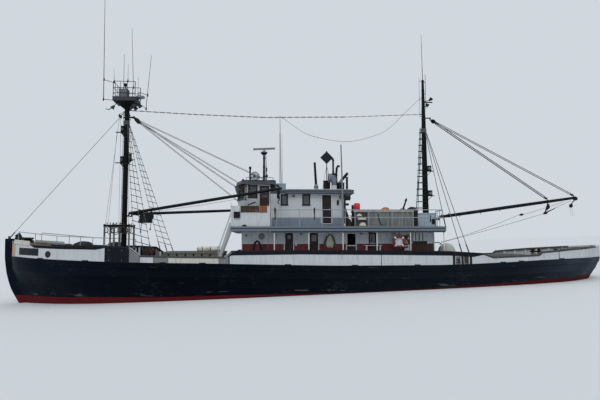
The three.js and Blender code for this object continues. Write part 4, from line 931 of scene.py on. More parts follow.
class Hull:
    """Planked hull with stem, keel shoe, deck, hatch coamings and mooring posts."""

    STRAKE = 0.17
    GROOVE = 0.007
    STEM = ((19.11, 3.43), (19.64, 3.43), (19.63, 2.9), (19.61, 2.25), (19.54, 1.7), (19.45, 1.19),
            (19.32, 0.74), (19.17, 0.31), (18.91, -0.18), (18.60, -0.68), (18.25, -1.25),
            (17.70, -1.90), (17.00, -2.45), (16.20, -2.75), (15.60, -2.75), (15.60, -2.60),
            (17.20, -1.40), (18.20, 0.20), (18.90, 1.90), (19.11, 2.00))
    HATCHES = ((5.6, 9.3, 1.5, 2.45), (-14.2, -11.0, 1.2, 2.18))   # aft, fore, half, top
    BITTS = ((-16.4, 1.5), (15.5, 1.5))

    def rows(self) -> list[tuple[Level, Level, float, float]]:
        """Every row of points down the side: two levels, the share between them, and the groove."""
        made = []
        for upper, lower in zip(FORM.LEVELS, FORM.LEVELS[1:]):
            size = abs(FORM.point(upper, 0.5).z - FORM.point(lower, 0.5).z)
            if size < 0.01:
                continue
            count = max(1, round(size / self.STRAKE))
            lip = 0.05 / count
            for k in range(count):
                made += [(upper, lower, (k + lip) / count if k else 0.0, 0.0),
                         (upper, lower, (k + 1 - lip) / count, 0.0)]
                if k + 1 < count:
                    made.append((upper, lower, (k + 1) / count, self.GROOVE))
            made.append((upper, lower, 1.0, 0.0))
        return made

    def planking(self) -> None:
        """The hull's skin, with a groove between every two strakes."""
        shape = Shape()
        rows, shares = self.rows(), FORM.shares()
        over: list[float] = []
        strakes: list[float] = []
        grid = []
        number = 0
        for upper, lower, share, groove in rows:
            if groove or share == 0.0:
                number += 1
            line = []
            for s in shares:
                p = FORM.point(upper, s).lerp(FORM.point(lower, s), share)
                p.y = max(KEEL_HALF, p.y - groove)
                line.append(p)
                over.append(p.z - FORM.BOOT_TOP(p.x))
                strakes.append(float(number))
            grid.append(line)
        shape.grid(grid, ring=False)
        shape.marks = {"above_boot": dict(enumerate(over)), "strake": dict(enumerate(strakes))}
        shape.both()
        half = len(shape.points) // 2
        n = len(shares)
        last = (len(grid) - 1) * n
        shape.faces += [(last + i, last + i + 1, half + last + i + 1, half + last + i)
                        for i in range(n - 1)]
        shape.faces += [(k * n + e, (k + 1) * n + e, half + (k + 1) * n + e, half + k * n + e)
                        for k in range(len(grid) - 1) for e in (0, n - 1)]
        shape.piece("hull_planking", HULL_PAINT, replaces=["hull"], crease=28)

    def deck(self) -> None:
        """The main deck, with its covering board along the edge."""
        shares = FORM.shares()
        edge = [FORM.point(FORM.LEVELS[0], s) for s in shares]
        rows = [[Vector((p.x, y * (p.y - 0.004), p.z)) for y in (-1, -0.5, 0, 0.5, 1)] for p in edge]
        Shape().grid(rows, ring=False).piece("main_deck", DECK_PLANKS)
        board = [[FORM.edge(x, inset, FORM.deck_z(x) + z) for inset, z in
                  ((0.0, 0.0), (0.0, 0.02), (0.42, 0.02), (0.42, 0.0))]
                 for x in steps(STERN + 0.6, BOW - 0.5, 0.3)]
        Shape().grid(board).both().piece("covering_board", NAVY_WOOD, bevel=0.004)

    def ends(self) -> None:
        """Stem post, its iron, the strip under the keel, and the shoe under the rudder."""
        iron = range(1, 12)
        outline = [(x - 0.012 if k in iron else x, 0.17, z) for k, (x, z) in enumerate(self.STEM)]
        post = Shape().plate(outline, Vector((0, -0.34, 0)))
        post.marks = {"above_boot": {i: p.z - FORM.BOOT_TOP(p.x) for i, p in enumerate(post.points)}}
        post.piece("stem_post", HULL_PAINT, bevel=0.025, crease=40)
        rows = [[(x - 0.03, 0.09, z), (x, 0.04, z), (x, -0.04, z), (x - 0.03, -0.09, z)]
                for x, z in (self.STEM[k] for k in iron)]
        Shape().grid(rows).piece("stem_iron", BLACK_IRON)
        shoe = Shape().block((-17.45, -0.13, KEEL_Z), (-15.7, 0.13, KEEL_Z + 0.19))
        shoe.block((-15.95, -0.15, KEEL_Z), (15.8, 0.15, KEEL_Z + 0.05))
        shoe.piece("keel_shoe", RED_LEAD, bevel=0.015)

    def coamings(self) -> None:
        """Hatch coamings with their cleats."""
        walls, cleats = Shape(), Shape()
        for aft, fore, half, top in self.HATCHES:
            floor = min(FORM.deck_z(aft), FORM.deck_z(fore)) - 0.05
            for y in (half - 0.1, -half):
                walls.block((aft, y, floor), (fore, y + 0.1, top))
            for x in (aft, fore - 0.1):
                walls.block((x, -half + 0.1, floor), (x + 0.1, half - 0.1, top))
            for x in steps(aft + 0.3, fore - 0.3, 0.55):
                cleats.block((x - 0.05, half, top - 0.16), (x + 0.05, half + 0.028, top - 0.03))
        walls.piece("hatch_coamings", COAMING, bevel=0.012)
        cleats.both().piece("hatch_cleats", BLACK_IRON, bevel=0.004)

    def bitts(self) -> None:
        """Paired mooring posts with their cross bars and turns of rope."""
        posts, rope = Shape(), Shape()
        for x, y in self.BITTS:
            floor = FORM.deck_z(x)
            for d in (-0.23, 0.23):
                profile = [(0.1, 0.0), (0.1, 0.56), (0.125, 0.57), (0.125, 0.6), (0.09, 0.62), (0.0, 0.62)]
                posts.spin([(0.0, 0.0), *profile], (x + d, y, floor), sides=20)
                turns = [(x + d + 0.125 * math.cos(a), y + 0.125 * math.sin(a),
                          floor + 0.12 + 0.036 * a / (2 * math.pi))
                         for a in steps(0, 10 * math.pi, math.pi / 8)]
                rope.pipe(turns, 0.018, 6)
            posts.bar((x - 0.42, y, floor + 0.4), (x + 0.42, y, floor + 0.4), 0.05, sides=14)
            posts.block((x - 0.4, y - 0.17, floor), (x + 0.4, y + 0.17, floor + 0.05))
        posts.both().piece("mooring_posts", BLACK_IRON, bevel=0.006)
        rope.both().piece("mooring_turns", MANILA)

    def build(self) -> None:
        """Builds every piece of the hull."""
        self.planking()
        self.deck()
        self.ends()
        self.coamings()
        self.bitts()


@dataclass
class Panel:
    """Stretch of the bulwark's outside in one finish."""

    aft: float
    fore: float
    finish: Finish


@dataclass
class Bulwarks:
    """Bulwark planking, cap rail, timberheads and what is fixed to them, on both sides."""

    inset: float = 0.012
    wall: float = 0.11
    cap: float = 0.26
    cap_high: float = 0.11
    overhang: float = 0.02
    top: Polyline = field(default_factory=lambda: Polyline([
        (STERN, 2.91), (-16.4, 2.69), (-14.24, 2.51), (-14.03, 2.34), (-10.98, 2.22), (-10.37, 2.44),
        (-8.23, 2.57), (-5.16, 2.62), (0.87, 2.68), (4.92, 2.64), (5.30, 2.30), (7.91, 2.335),
        (10.2, 2.40), (10.86, 2.885), (12.24, 2.96), (14.78, 3.01), (16.5, 3.08), (BOW, 3.29)]))
    panels: tuple[Panel, ...] = (
        Panel(STERN, 5.02, WHITE_LEVEL), Panel(5.02, 5.67, GREY_WOOD), Panel(5.67, 8.57, CREAM_BOARDS),
        Panel(8.57, 9.46, GREY_WOOD), Panel(9.46, 10.2, WHITE_LEVEL), Panel(10.2, 10.9, GREY_WOOD),
        Panel(10.9, 12.24, NAVY_WOOD), Panel(12.24, 18.3, WHITE_LEVEL), Panel(18.3, BOW, TAN_EDGE))
    # The bow band is partly painted shadow under the cap rail.
    bands: tuple[tuple[float, float, float], ...] = ((-10.3, 5.25, 0.17),
                                                     (12.2, 16.95, 0.14))   # ends, depth

    def stations(self, aft: float, fore: float) -> list[float]:
        """Places along a stretch at which it is cut, the breaks of the sheer included."""
        even = steps(aft, fore, 0.3)
        fine = [STERN + 0.02 * k * k for k in range(1, 12)] + [BOW - 0.02 * k * k for k in range(1, 9)]
        return sorted({x for x in [*even, *fine, *self.top.xs] if aft <= x <= fore})

    def wall_top(self, x: float) -> float:
        """Height of the wall at x, under the cap rail."""
        return self.top(x) - self.cap_high

    def planks(self) -> None:
        """The walls, panel by panel, cut by the two mooring ports on each side."""
        inner = self.inset + self.wall
        for finish in dict.fromkeys(panel.finish for panel in self.panels):
            shape, replaced = Shape(), []
            for panel in (panel for panel in self.panels if panel.finish is finish):
                ports = [x + d for x in sorted(Fairleads.places) for d in (-0.15, 0.15)]
                cuts = [panel.aft, *[x for x in ports if panel.aft < x < panel.fore], panel.fore]
                for k, (aft, fore) in enumerate(zip(cuts, cuts[1:])):
                    rows = []
                    for x in self.stations(aft, fore):
                        low, high = 2.24 if k % 2 else FORM.deck_z(x) - 0.02, self.wall_top(x)
                        rows.append(FORM.section(x, ((self.inset, low), (inner, low), (inner, high),
                                                     (self.inset, high))))
                    shape.grid(rows)
            if finish is WHITE_LEVEL:
                replaced = [f"bulwark_{part}_{side.label}" for part in ("bow", "waist", "quarter")
                            for side in Side]
                shape.block((STERN + self.inset, 0.0, FORM.deck_z(STERN) - 0.02),
                            (STERN + inner, 0.19, self.wall_top(STERN)))
            shape.both().piece(f"bulwark_{finish.name}", finish, replaces=replaced, bevel=0.004)

    def dark_strake_and_cap_shadow(self) -> None:
        """The dark strake under the cap rail, along the deckhouse and at the bow, where the band is partly
        painted shadow of the cap rail.
        """
        shape = Shape()
        inner, outer = self.inset + 0.01, self.inset - 0.014
        for aft, fore, deep in self.bands:
            rows = []
            for x in self.stations(aft, fore):
                high = self.wall_top(x)
                low = high - deep * max(0.05, min(1.0, (x - aft) / 0.5, (fore - x) / 0.3))
                rows.append(FORM.section(x,
                                         ((inner, low), (outer, low + 0.01), (outer, high), (inner, high))))
            shape.grid(rows)
        shape.both().piece("dark_strake_and_cap_shadow", NAVY_WOOD, bevel=0.003)

    def caps(self) -> None:
        """The cap rail: navy, worn to grey at the ends and the fore waist, white at the stern."""
        outer, inner = -self.overhang, self.cap - self.overhang
        for name, finish, aft, fore in (
                ("stern", WHITE_FLAT, STERN, -18.9), ("aft", GREY_CAP, -18.9, -10.4),
                ("house", NAVY_WOOD, -10.4, 5.3), ("waist", GREY_CAP, 5.3, 10.2),
                ("fore", NAVY_WOOD, 10.2, 15.5),
                ("worn", TAN_WOOD, 15.5, 16.9), ("bow", GREY_WOOD, 16.9, 19.09)):
            rows = []
            for x in self.stations(aft, fore):
                high, low = self.top(x), self.wall_top(x)
                rows.append(FORM.section(x, (
                    (outer, low + 0.015), (outer, high - 0.03), (outer + 0.03, high),
                    (inner - 0.03, high), (inner, high - 0.03), (inner, low))))
            shape = Shape().grid(rows)
            if name == "stern":
                shape.block((STERN + outer, 0.0, self.wall_top(STERN)),
                            (STERN + inner, 0.23, self.top(STERN)))
            shape.both().piece(f"cap_rail_{name}", finish, crease=50)

    def timberheads(self) -> None:
        """Posts inside the wall that carry the cap rail, and the iron bolts outside."""
        posts, bolts = Shape(), Shape()
        inner = self.inset + self.wall
        for x in steps(-18.6, 18.0, 0.76):
            if any(abs(x - port) < 0.3 for port in Fairleads.places):
                continue
            foot, head, along = FORM.deck_z(x), self.wall_top(x), FORM.along(x)
            posts.beam(FORM.edge(x, inner + 0.06, foot), FORM.edge(x, inner + 0.05, head), 0.13, 0.11, along)
            for z in (foot + 0.1, head - 0.12):
                base = FORM.edge(x, self.inset + 0.004, z)
                bolts.bar(base, base - along.cross(UP) * 0.012, 0.014, sides=8)
        posts.both().piece("timberheads", WHITE_FLAT, bevel=0.008)
        bolts.both().piece("bulwark_bolts", WHITE_FLAT)

    def scuppers(self) -> None:
        """Freeing slots at the foot of the wall, drawn as dark strips of painted shade."""
        slots = Shape()
        for x in (-15.6, -12.8, -11.6, -6.2, -2.4, 1.6, 6.6, 8.9, 13.4, 16.2):
            z = FORM.deck_z(x) + 0.035
            middle, proud = FORM.edge(x, self.inset, z), self.inset - 0.003
            half = (FORM.edge(x + 0.19, proud, z) - FORM.edge(x - 0.19, proud, z)) / 2
            # painted shade: a thin dark strip stands for the opening
            slots.beam(middle - half, middle + half, 0.012, 0.06)
        slots.both().piece("scuppers", BLACK_IRON)

    def joints(self) -> None:
        """Battens over the joints of the panels, and white edges where the wall steps down."""
        battens, slopes = Shape(), Shape()
        for x, wide in ((11.55, 0.07), (12.24, 0.05), (10.88, 0.07), (5.05, 0.05), (-4.0, 0.03),
                        (-15.4, 0.03)):
            low, high = FORM.edge(x, 0.008, FORM.deck_z(x)), FORM.edge(x, 0.008, self.wall_top(x))
            battens.beam(low, high, wide, 0.022, FORM.along(x))
        for a, b in ((10.22, 10.84), (5.30, 4.94)):
            slopes.beam(FORM.edge(a, -0.006, self.top(a) - 0.05), FORM.edge(b, -0.006, self.top(b) - 0.05),
                        0.02, 0.11)
        battens.both().piece("panel_battens", NAVY_WOOD, bevel=0.003)
        slopes.both().piece("sloping_edges", WHITE_FLAT, bevel=0.004)

    def name_boards(self) -> None:
        """Blank boards on the bulwark at the bow."""
        aft, outer = 16.34, self.inset - 0.02
        rows = []
        for x in steps(aft, 17.87, 0.1):
            low = 2.37 + (x - aft) * 0.04
            rows.append(FORM.section(x, ((self.inset, low), (outer, low + 0.01), (outer, low + 0.42),
                                         (self.inset, low + 0.43))))
        Shape().grid(rows).both().piece("name_boards", BARE_BOARD, bevel=0.004)
        rows = [FORM.section(x, [(inset, self.top(x) + z) for inset, z in (
            (0.0, -0.14), (-0.035, -0.13), (-0.035, 0.12), (0.0, 0.13))]) for x in steps(16.95, 18.4, 0.1)]
        Shape().grid(rows).both().piece("bow_boards", CREAM_BOARDS, bevel=0.004)

    def hawse_pipes(self) -> None:
        """The round pipes that the mooring lines run through at the bow, each with a dark disc of painted
        shade in its opening.
        """
        x, z, radius = 15.70, 2.462, 0.14
        centre, out = FORM.edge(x, self.inset, z), UP.cross(FORM.along(x))
        profile = [(radius + 0.05, -0.01), (radius + 0.045, 0.016), (radius, 0.022), (radius - 0.03, 0.0),
                   (radius - 0.03, -0.16), (radius + 0.05, -0.16), (radius + 0.05, -0.01)]
        Shape().spin(profile, centre, out).both().piece("hawse_pipes", BLACK_IRON, crease=50)
        # painted shade: a dark disc across the opening stands for the shaded inside of the pipe
        opening_shade = Shape().spin([(0, 0.002), (radius - 0.02, 0.002), (radius - 0.02, 0.008), (0, 0.008)], centre,
                            out)
        opening_shade.both().piece("hawse_throat_shades", RUBBER)

    def fore_rail(self) -> None:
        """Pipe rail over the forecastle bulwark."""
        aft, middle, fore = 12.3, 15.2, 18.1
        line = Polyline([(aft, 3.4), (middle, 3.54), (fore, 3.83)])

        def at(x: float, z: float) -> Vector:
            """Point over the bulwark."""
            return Vector((x, FORM.deck_half(x) - 0.13, z))
        shape = Shape().pipe([at(x, line(x)) for x in steps(aft, fore, 0.3)], 0.022, 10)
        for x in (aft, 13.75, middle, 16.65, fore):
            shape.bar(at(x, self.top(x) - 0.02), at(x, line(x)), 0.02, sides=10)
            shape.spin([(0, 0), (0.055, 0), (0.055, 0.012), (0.026, 0.02), (0, 0.02)], at(x, self.top(x)),
                       sides=12)
        shape.both().piece("forecastle_rail", GREY_IRON)

    def build(self) -> None:
        """Builds every piece of the bulwarks."""
        self.planks()
        self.dark_strake_and_cap_shadow()
        self.caps()
        self.timberheads()
        self.scuppers()
        self.joints()
        self.name_boards()
        self.hawse_pipes()
        self.fore_rail()
        Fairleads().build()


class Fairleads:
    """Mooring ports through the after bulwark, with black roller posts and their ropes."""

    places = (-8.74, -9.26)

    def build(self) -> None:
        """Builds the posts, their rollers and the ropes round them."""
        posts, rope = Shape(), Shape()
        for x in (-8.47, -9.0, -9.53):
            base = FORM.edge(x, -0.004, FORM.deck_z(x))
            posts.beam(base, (base.x, base.y, 2.42), 0.13, 0.05, FORWARD)
        roller = [(0, 0), (0.03, 0), (0.018, 0.05), (0.018, 0.39), (0.03, 0.44), (0, 0.44)]
        for x in self.places:
            for d in (-0.12, 0.12):
                posts.spin(roller, FORM.edge(x + d, 0.065, 1.80), sides=14)
            rope.pipe([FORM.edge(x + 0.05 * math.sin(3 * a), 0.05 + 0.05 * math.cos(a),
                                 1.84 + 0.11 * a / math.pi)
                       for a in steps(0, 2.8 * math.pi, 0.35)], 0.024, 6)
        posts.both().piece("fairlead_posts", BLACK_IRON, bevel=0.006)
        rope.both().piece("fairlead_ropes", DARK_ROPE)
        lumps = heap(FORM.edge(-8.80, 0.06, 1.84), (0.10, 0.07, 0.20))
        lumps.join(heap(FORM.edge(-9.28, 0.06, 1.84), (0.10, 0.07, 0.12)))
        lumps.both().piece("fairlead_lashings", DARK_TARP, crease=80)
        chafe = heap(FORM.edge(-9.27, 0.06, 1.93), (0.08, 0.05, 0.17))
        chafe.both().piece("fairlead_chafe_pieces", WORN_BOARD)


# Superstructure

def wall(origin: Point, along: Vector, out: Vector) -> Matrix:
    """Wall axes that stand at origin: X along the wall, Y up, Z outwards."""
    return Matrix(((along.x, 0, out.x, origin[0]), (along.y, 0, out.y, origin[1]),
                   (along.z, 1, out.z, origin[2]), (0, 0, 0, 1)))


def side_wall(half: float) -> Matrix:
    """The port wall with its face at y = half, measured by x and z."""
    return wall((0, half, 0), FORWARD, TO_PORT)


def cross_wall(x: float, facing: int = 1) -> Matrix:
    """The wall across the ship with its face at x, measured by y and z."""
    return wall((x, 0, 0), TO_PORT, FORWARD * facing)


@dataclass
class Hole:
    """Opening in a wall, in wall axes, with the wall's thickness."""

    place: Matrix
    left: float
    right: float
    foot: float
    head: float
    thick: float = 0.08
    curtain: float = 0.0       # share of the width that each curtain covers
    mirrored: bool = True


@dataclass
class Glazing:
    """Frames, sashes, panes, sills and curtains of the windows of one house."""

    name: str
    proud: float = 0.018
    pieces: dict[str, Shape] = field(default_factory=dict)

    def put(self, kind: str, shape: Shape, hole: Hole) -> None:
        """Adds a part that was made in wall axes."""
        shape.moved(hole.place)
        if hole.mirrored:
            shape.both()
        self.pieces.setdefault(kind, Shape()).join(shape)

    def add(self, hole: Hole) -> None:
        """Dresses one window."""
        u0, u1, v0, v1 = hole.left, hole.right, hole.foot, hole.head
        w, lap, back, proud = 0.055, 0.006, -0.004, self.proud
        self.put("frames", blocks(
            ((u0 - w, v0, back), (u0 + lap, v1, proud)), ((u1 - lap, v0, back), (u1 + w, v1, proud)),
            ((u0 - w - 0.01, v1 - lap, back), (u1 + w + 0.01, v1 + w, proud + 0.008)),
            ((u0 - w - 0.02, v0 - 0.05, back), (u1 + w + 0.02, v0 + lap, proud + 0.03)),
            ((u0, v0, -0.045), (u0 + 0.03, v1, -0.015)), ((u1 - 0.03, v0, -0.045), (u1, v1, -0.015)),
            ((u0, v0, -0.045), (u1, v0 + 0.035, -0.015)), ((u0, v1 - 0.035, -0.045), (u1, v1, -0.015))),
                 hole)
        self.put("panes", blocks(((u0 + 0.01, v0 + 0.01, -0.034), (u1 - 0.01, v1 - 0.01, -0.028))), hole)
        # painted shade: a dark box behind each window stands for the shaded room inside
        near, deep = ([(u, v, -hole.thick - depth) for u, v in ((u0, v0), (u1, v0), (u1, v1), (u0, v1))]
                      for depth in (0.004, 0.22))
        recess = Shape().grid([near, deep], caps=False).add(deep, [(0, 1, 2, 3)])
        self.put("shade_recesses", recess, hole)
        if hole.curtain:
            for a, b in ((u0, lerp(u0, u1, hole.curtain)), (lerp(u1, u0, hole.curtain), u1)):
                rows = [[(lerp(a, b, k / 12), v, -0.062 + 0.010 * math.sin(k * 1.9 + v * 2))
                         for k in range(13)]
                        for v in steps(v0 + 0.02, v1 - 0.02, 0.12)]
                self.put("curtains", Shape().grid(rows, ring=False), hole)

    def build(self) -> None:
        """Makes the pieces."""
        finishes = {"frames": DARK_FRAME, "panes": CLEAR_GLASS, "shade_recesses": SHADE_INSIDE,
                    "curtains": CURTAIN}
        for kind, shape in self.pieces.items():
            shape.piece(f"{self.name}_{kind}", finishes[kind], bevel=0.004 if kind == "frames" else 0)


@dataclass
class Door:
    """Hinged door: trim on the wall, and panels, glass and handle on the leaf of each side."""

    name: str
    left: float
    right: float
    foot: float
    head: float
    half: float
    light: tuple[float, float, float] | None = None    # margin, foot and head of its glass
    top: float | None = None                           # top of the doorway over a half door
    wood: Finish = DARK_DOOR

    def panels(self) -> Shape:
        """Stiles, rails and bead of the leaf, on both its faces."""
        a, b = self.left + 0.012, self.right - 0.012
        low, high = self.foot + 0.015, self.head - 0.015
        shape, wide = Shape(), 0.085
        rails = [(low, low + 0.16), (high - wide, high)]
        if self.light:
            _, sill, top = self.light
            middle = lerp(low, sill, 0.48)
            rails += [(sill - wide, sill - 0.004), (middle - 0.05, middle + 0.05)]
            if high - top > 0.2:
                rails.append((top + 0.004, top + wide))
        else:
            rails += [(z - 0.045, z + 0.045) for z in steps(low, high, 0.75)[1:-1]]
        for out in (self.half, self.half - 0.057):
            for x in (a, b - wide):
                shape.block((x, out - 0.002, low), (x + wide, out + 0.012, high))
            for z0, z1 in rails:
                shape.block((a + wide, out - 0.002, z0), (b - wide, out + 0.012, z1))
        return shape

    def casing(self) -> None:
        """Trim on the wall round the doorway."""
        w, gap, back = 0.06, 0.010, -0.004
        u0, u1, top = self.left - gap, self.right + 0.036, (self.top or self.head) + gap
        trim = blocks(((u0 - w, self.foot, back), (u0, top, 0.02)),
                      ((u1, self.foot, back), (u1 + w, top, 0.02)),
                      ((u0 - w - 0.015, top, back), (u1 + w + 0.015, top + w, 0.03)),
                      ((u0, self.foot - 0.06, back), (u1, self.foot - 0.012, 0.04)))
        trim.moved(side_wall(self.half)).both().piece(f"{self.name}_casing", WHITE_FLAT, bevel=0.004)

    def handle(self) -> Shape:
        """Lever handle on both faces of the leaf."""
        shape, x, middle = Shape(), self.left + 0.075, lerp(self.foot, self.head, 0.52)
        for y, out in ((self.half + 0.012, 1), (self.half - 0.057, -1)):
            shape.bar((x, y, middle), (x, y + out * 0.022, middle), 0.009, sides=10)
            shape.bar((x, y + out * 0.02, middle), (x + 0.09, y + out * 0.02, middle - 0.006), 0.008,
                      sides=8)
        return shape

    def build(self) -> None:
        """Dresses the doorway and both leaves."""
        self.casing()
        for side in Side:
            body = f"{self.name}_{side.label}"
            self.panels().on(side).piece(f"{body}_panels", self.wood, body, bevel=0.004)
            self.handle().on(side).piece(f"{body}_handle", BRASS, body)
            if self.light:
                margin, low, high = self.light
                pane = blocks(((self.left + margin - 0.01, self.half - 0.03, low - 0.01),
                               (self.right - margin + 0.01, self.half - 0.022, high + 0.01)))
                pane.on(side).piece(f"{body}_pane", GLASS, body)


def heap(foot: Point, size: Point) -> Shape:
    """Low lumpy heap under a cover: the middle of its foot, and its half length, half width and height."""
    rows = []
    for k in range(9):
        a = math.pi / 2 * k / 8
        rows.append([(foot[0] + size[0] * math.cos(a) * math.cos(t) * (1 + 0.06 * math.sin(3 * t + k)),
                      foot[1] + size[1] * math.cos(a) * math.sin(t) * (1 + 0.05 * math.cos(4 * t)),
                      foot[2] + size[2] * math.sin(a)) for t in steps(0, 2 * math.pi, 0.32)[:-1]])
    return Shape().grid(rows)


def coil(centre: Point, out: Vector, radius: float, turns: int, rope: float, seed: int) -> Shape:
    """Rope hung in a loose coil against a wall.

    Args:
        centre: middle of the coil.
        out: the way the wall faces.
        radius: mean radius of the turns.
        turns: how many turns there are.
        rope: radius of the rope itself.
        seed: starts the small differences between turns.

    Returns:
        The coil.
    """
    rng = random.Random(seed)
    side = UP.cross(out)
    path = []
    drift, sag = 0.0, 0.0
    for k in range(turns * 18):
        a = 2 * math.pi * k / 18
        if k % 18 == 0:
            drift, sag = rng.uniform(-0.04, 0.04), rng.uniform(0.9, 1.25)
        r = radius * (1 + drift)
        drop = math.cos(a) * r * (sag if math.cos(a) < 0 else 1.0)
        path.append(Vector(centre) + side * math.sin(a) * r * 0.82 + UP * drop
                    + out * (rope + rope * 1.5 * (k / (turns * 18)) * 2))
    return Shape().pipe(path, rope, 6)


def fanned(top: Point, spreads: Sequence[float], drop: float, rope: float) -> Shape:
    """Strands of rope or hose that hang from a peg and spread below it.

    Args:
        top: the peg, on a wall that faces port.
        spreads: how far forward of the peg each strand ends.
        drop: how far they hang down.
        rope: radius of a strand.

    Returns:
        The strands.
    """
    shape = Shape()
    x, y, z = top
    for k, spread in enumerate(spreads):
        out = rope * (1.0 + 1.1 * (k % 3))
        deep = drop * (0.9 + 0.1 * math.sin(2.4 * k))
        shape.pipe([(x, y + out + 0.03, z), (x + spread * 0.55, y + out + 0.02, z - deep * 0.2),
                    (x + spread * 0.92, y + out, z - deep * 0.6), (x + spread, y + out, z - deep)], rope, 6)
    return shape


class Deckhouse:
    """Main deckhouse under the boat deck: windows, doors, portholes and what hangs on the walls."""

    HALF = HOUSE["half"]

    def windows(self) -> None:
        """Windows on the sides and front, and the round lights."""
        glazing = Glazing("deckhouse")
        glazing.add(Hole(side_wall(self.HALF), -3.95, -3.57, 3.02, 3.69, curtain=0.2))
        for y in (0.5, 1.5):
            glazing.add(Hole(cross_wall(HOUSE["fore"]), y - 0.22, y + 0.22, 2.95, 3.45))
        glazing.build()
        rings, lights = Shape(), Shape()
        for centre in (Vector((3.16, self.HALF, 3.5)), Vector((-6.05, self.HALF, 3.42))):
            rings.spin([(0.20, -0.01), (0.20, 0.018), (0.185, 0.03), (0.145, 0.032), (0.13, 0.015),
                        (0.13, -0.01), (0.20, -0.01)], centre, TO_PORT)
            lights.spin([(0, 0.0), (0.135, 0.0), (0.135, 0.008), (0.08, 0.013), (0, 0.015)], centre, TO_PORT)
            for bolt in circle((centre.x, self.HALF + 0.03, 3.5), FORWARD * 0.165, UP * 0.165, 1.05):
                rings.bar(bolt, bolt + TO_PORT * 0.01, 0.012)
        rings.both().piece("porthole_rings", VERDIGRIS, crease=50)
        lights.both().piece("porthole_glass", GLASS)

    def doors(self) -> None:
        """The three doors of each side and the casing of the after doorway."""
        for name, left, right, head, light, top in (
                ("galley_door", 1.22, 1.70, 3.70, (0.136, 3.34, 3.56), None),
                ("engine_room_door", -0.34, 0.18, 3.70, (0.096, 3.18, 3.58), None),
                ("mess_half_door", -2.69, -2.18, 2.95, None, 3.66)):
            Door(name, left, right, 1.95, head, self.HALF, light, top).build()
        for side in Side:
            body = f"mess_half_door_{side.label}"
            bar = blocks(((-2.70, self.HALF, 2.885), (-2.17, self.HALF + 0.022, 2.95))).on(side)
            bar.piece(f"{body}_bar", WHITE_FLAT, body, bevel=0.004)
        casing = blocks(((0.64, 1.95, -0.004), (0.695, 3.66, 0.02)),
                        ((1.355, 1.95, -0.004), (1.41, 3.66, 0.02)),
                        ((0.62, 3.655, -0.004), (1.43, 3.72, 0.028)))
        casing.moved(cross_wall(HOUSE["aft"], -1)).piece("after_doorway_casing", GREY_TRIM, bevel=0.004)

    def trim(self) -> None:
        """Corner posts, and moulding over the red band."""
        fore, aft, y = HOUSE["fore"], HOUSE["aft"], self.HALF
        posts = blocks(*(((x, y - 0.035, 1.80), (x + 0.05, y + 0.016, 3.79))
                         for x in (fore - 0.035, aft - 0.015)))
        posts.both().piece("house_corner_posts", WHITE_FLAT, bevel=0.006)
        bead = blocks(*(((a, y - 0.004, 3.035), (b, y + 0.014, 3.07))
                        for b, a in ((fore, 1.80), (1.12, 0.28), (-0.42, -2.08), (-2.78, aft))),
                      ((fore - 0.004, 0, 2.86), (fore + 0.014, y, 2.89)))
        bead.both().piece("house_bead", WHITE_FLAT, bevel=0.004)

    def lamps(self) -> None:
        """Lamps along the side deck."""
        y, brackets, lenses = self.HALF, Shape(), Shape()
        for x, z in ((4.12, 3.52), (0.72, 3.60), (-3.06, 3.60), (-5.1, 3.6)):
            centre = (x, y + 0.07, z + 0.03)
            brackets.block((x - 0.06, y - 0.004, z - 0.05), (x + 0.06, y + 0.02, z + 0.09))
            brackets.spin([(0, 0.0), (0.05, 0.0), (0.055, 0.035), (0, 0.04)], centre)
            lenses.spin([(0, -0.09), (0.03, -0.085), (0.045, -0.05), (0.045, 0.0), (0, 0.0)], centre)
        brackets.both().piece("side_deck_lamps", BLACK_IRON, bevel=0.004)
        lenses.both().piece("side_deck_lenses", PALE_GLASS)

    def hung_gear(self) -> None:
        """Hoses and ropes on their pegs."""
        y, pegs = self.HALF, Shape()
        hose = fanned((3.43, y, 3.24), (-0.27, -0.22, -0.17, 0.17, 0.22, 0.27), 0.60, 0.03)
        hose.join(fanned((3.00, y, 3.02), (-0.10, 0.10), 0.36, 0.022)).both().piece("water_hoses", RUBBER)
        hung = fanned((-1.07, y, 3.58), steps(-0.20, 0.20, 0.044), 0.80, 0.024)
        hung.both().piece("hung_ropes", PALE_ROPE)
        legs = fanned((-1.07, y + 0.03, 3.62), (-0.38, -0.34, -0.30, 0.30, 0.34, 0.38), 0.94, 0.03)
        legs.both().piece("hung_rope_legs", TAN_ROPE)
        for x, z in ((3.43, 3.22), (3.00, 3.00), (-1.07, 3.60)):
            pegs.bar((x, y - 0.004, z), (x, y + 0.12, z + 0.03), 0.014, sides=8)
        pegs.both().piece("rope_pegs", BLACK_IRON)

    def fittings(self) -> None:
        """Boxes, fire bottles and the bench along the side deck."""
        y = self.HALF
        boxes = blocks(((0.98, y, 2.92), (1.10, y + 0.11, 3.16)),
                       ((-6.06, y, 2.60), (-5.74, y + 0.16, 2.92)))
        boxes.both().piece("side_boxes", WHITE_FLAT, bevel=0.01)
        bottle = Shape().spin([(0, 0), (0.055, 0.0), (0.06, 0.02), (0.06, 0.3), (0.045, 0.36), (0.018, 0.38),
                               (0.018, 0.42), (0, 0.42)], (1.02, y + 0.075, 2.42), sides=16)
        bottle.both().piece("fire_bottles", RED_PLASTIC)
        bench = blocks(*(((-4.30, y + 0.03 + d, 2.90), (-3.20, y + 0.14 + d, 2.935))
                         for d in (0.0, 0.12, 0.24)))
        for x in (-4.2, -3.36):
            for out, wide, low, high in ((0.04, 0.06, 1.80, 2.90), (0.31, 0.06, 1.80, 2.90),
                                         (0.10, 0.21, 2.80, 2.86)):
                bench.block((x, y + out, low), (x + 0.06, y + out + wide, high))
        bench.both().piece("side_benches", WHITE_FLAT, bevel=0.006)

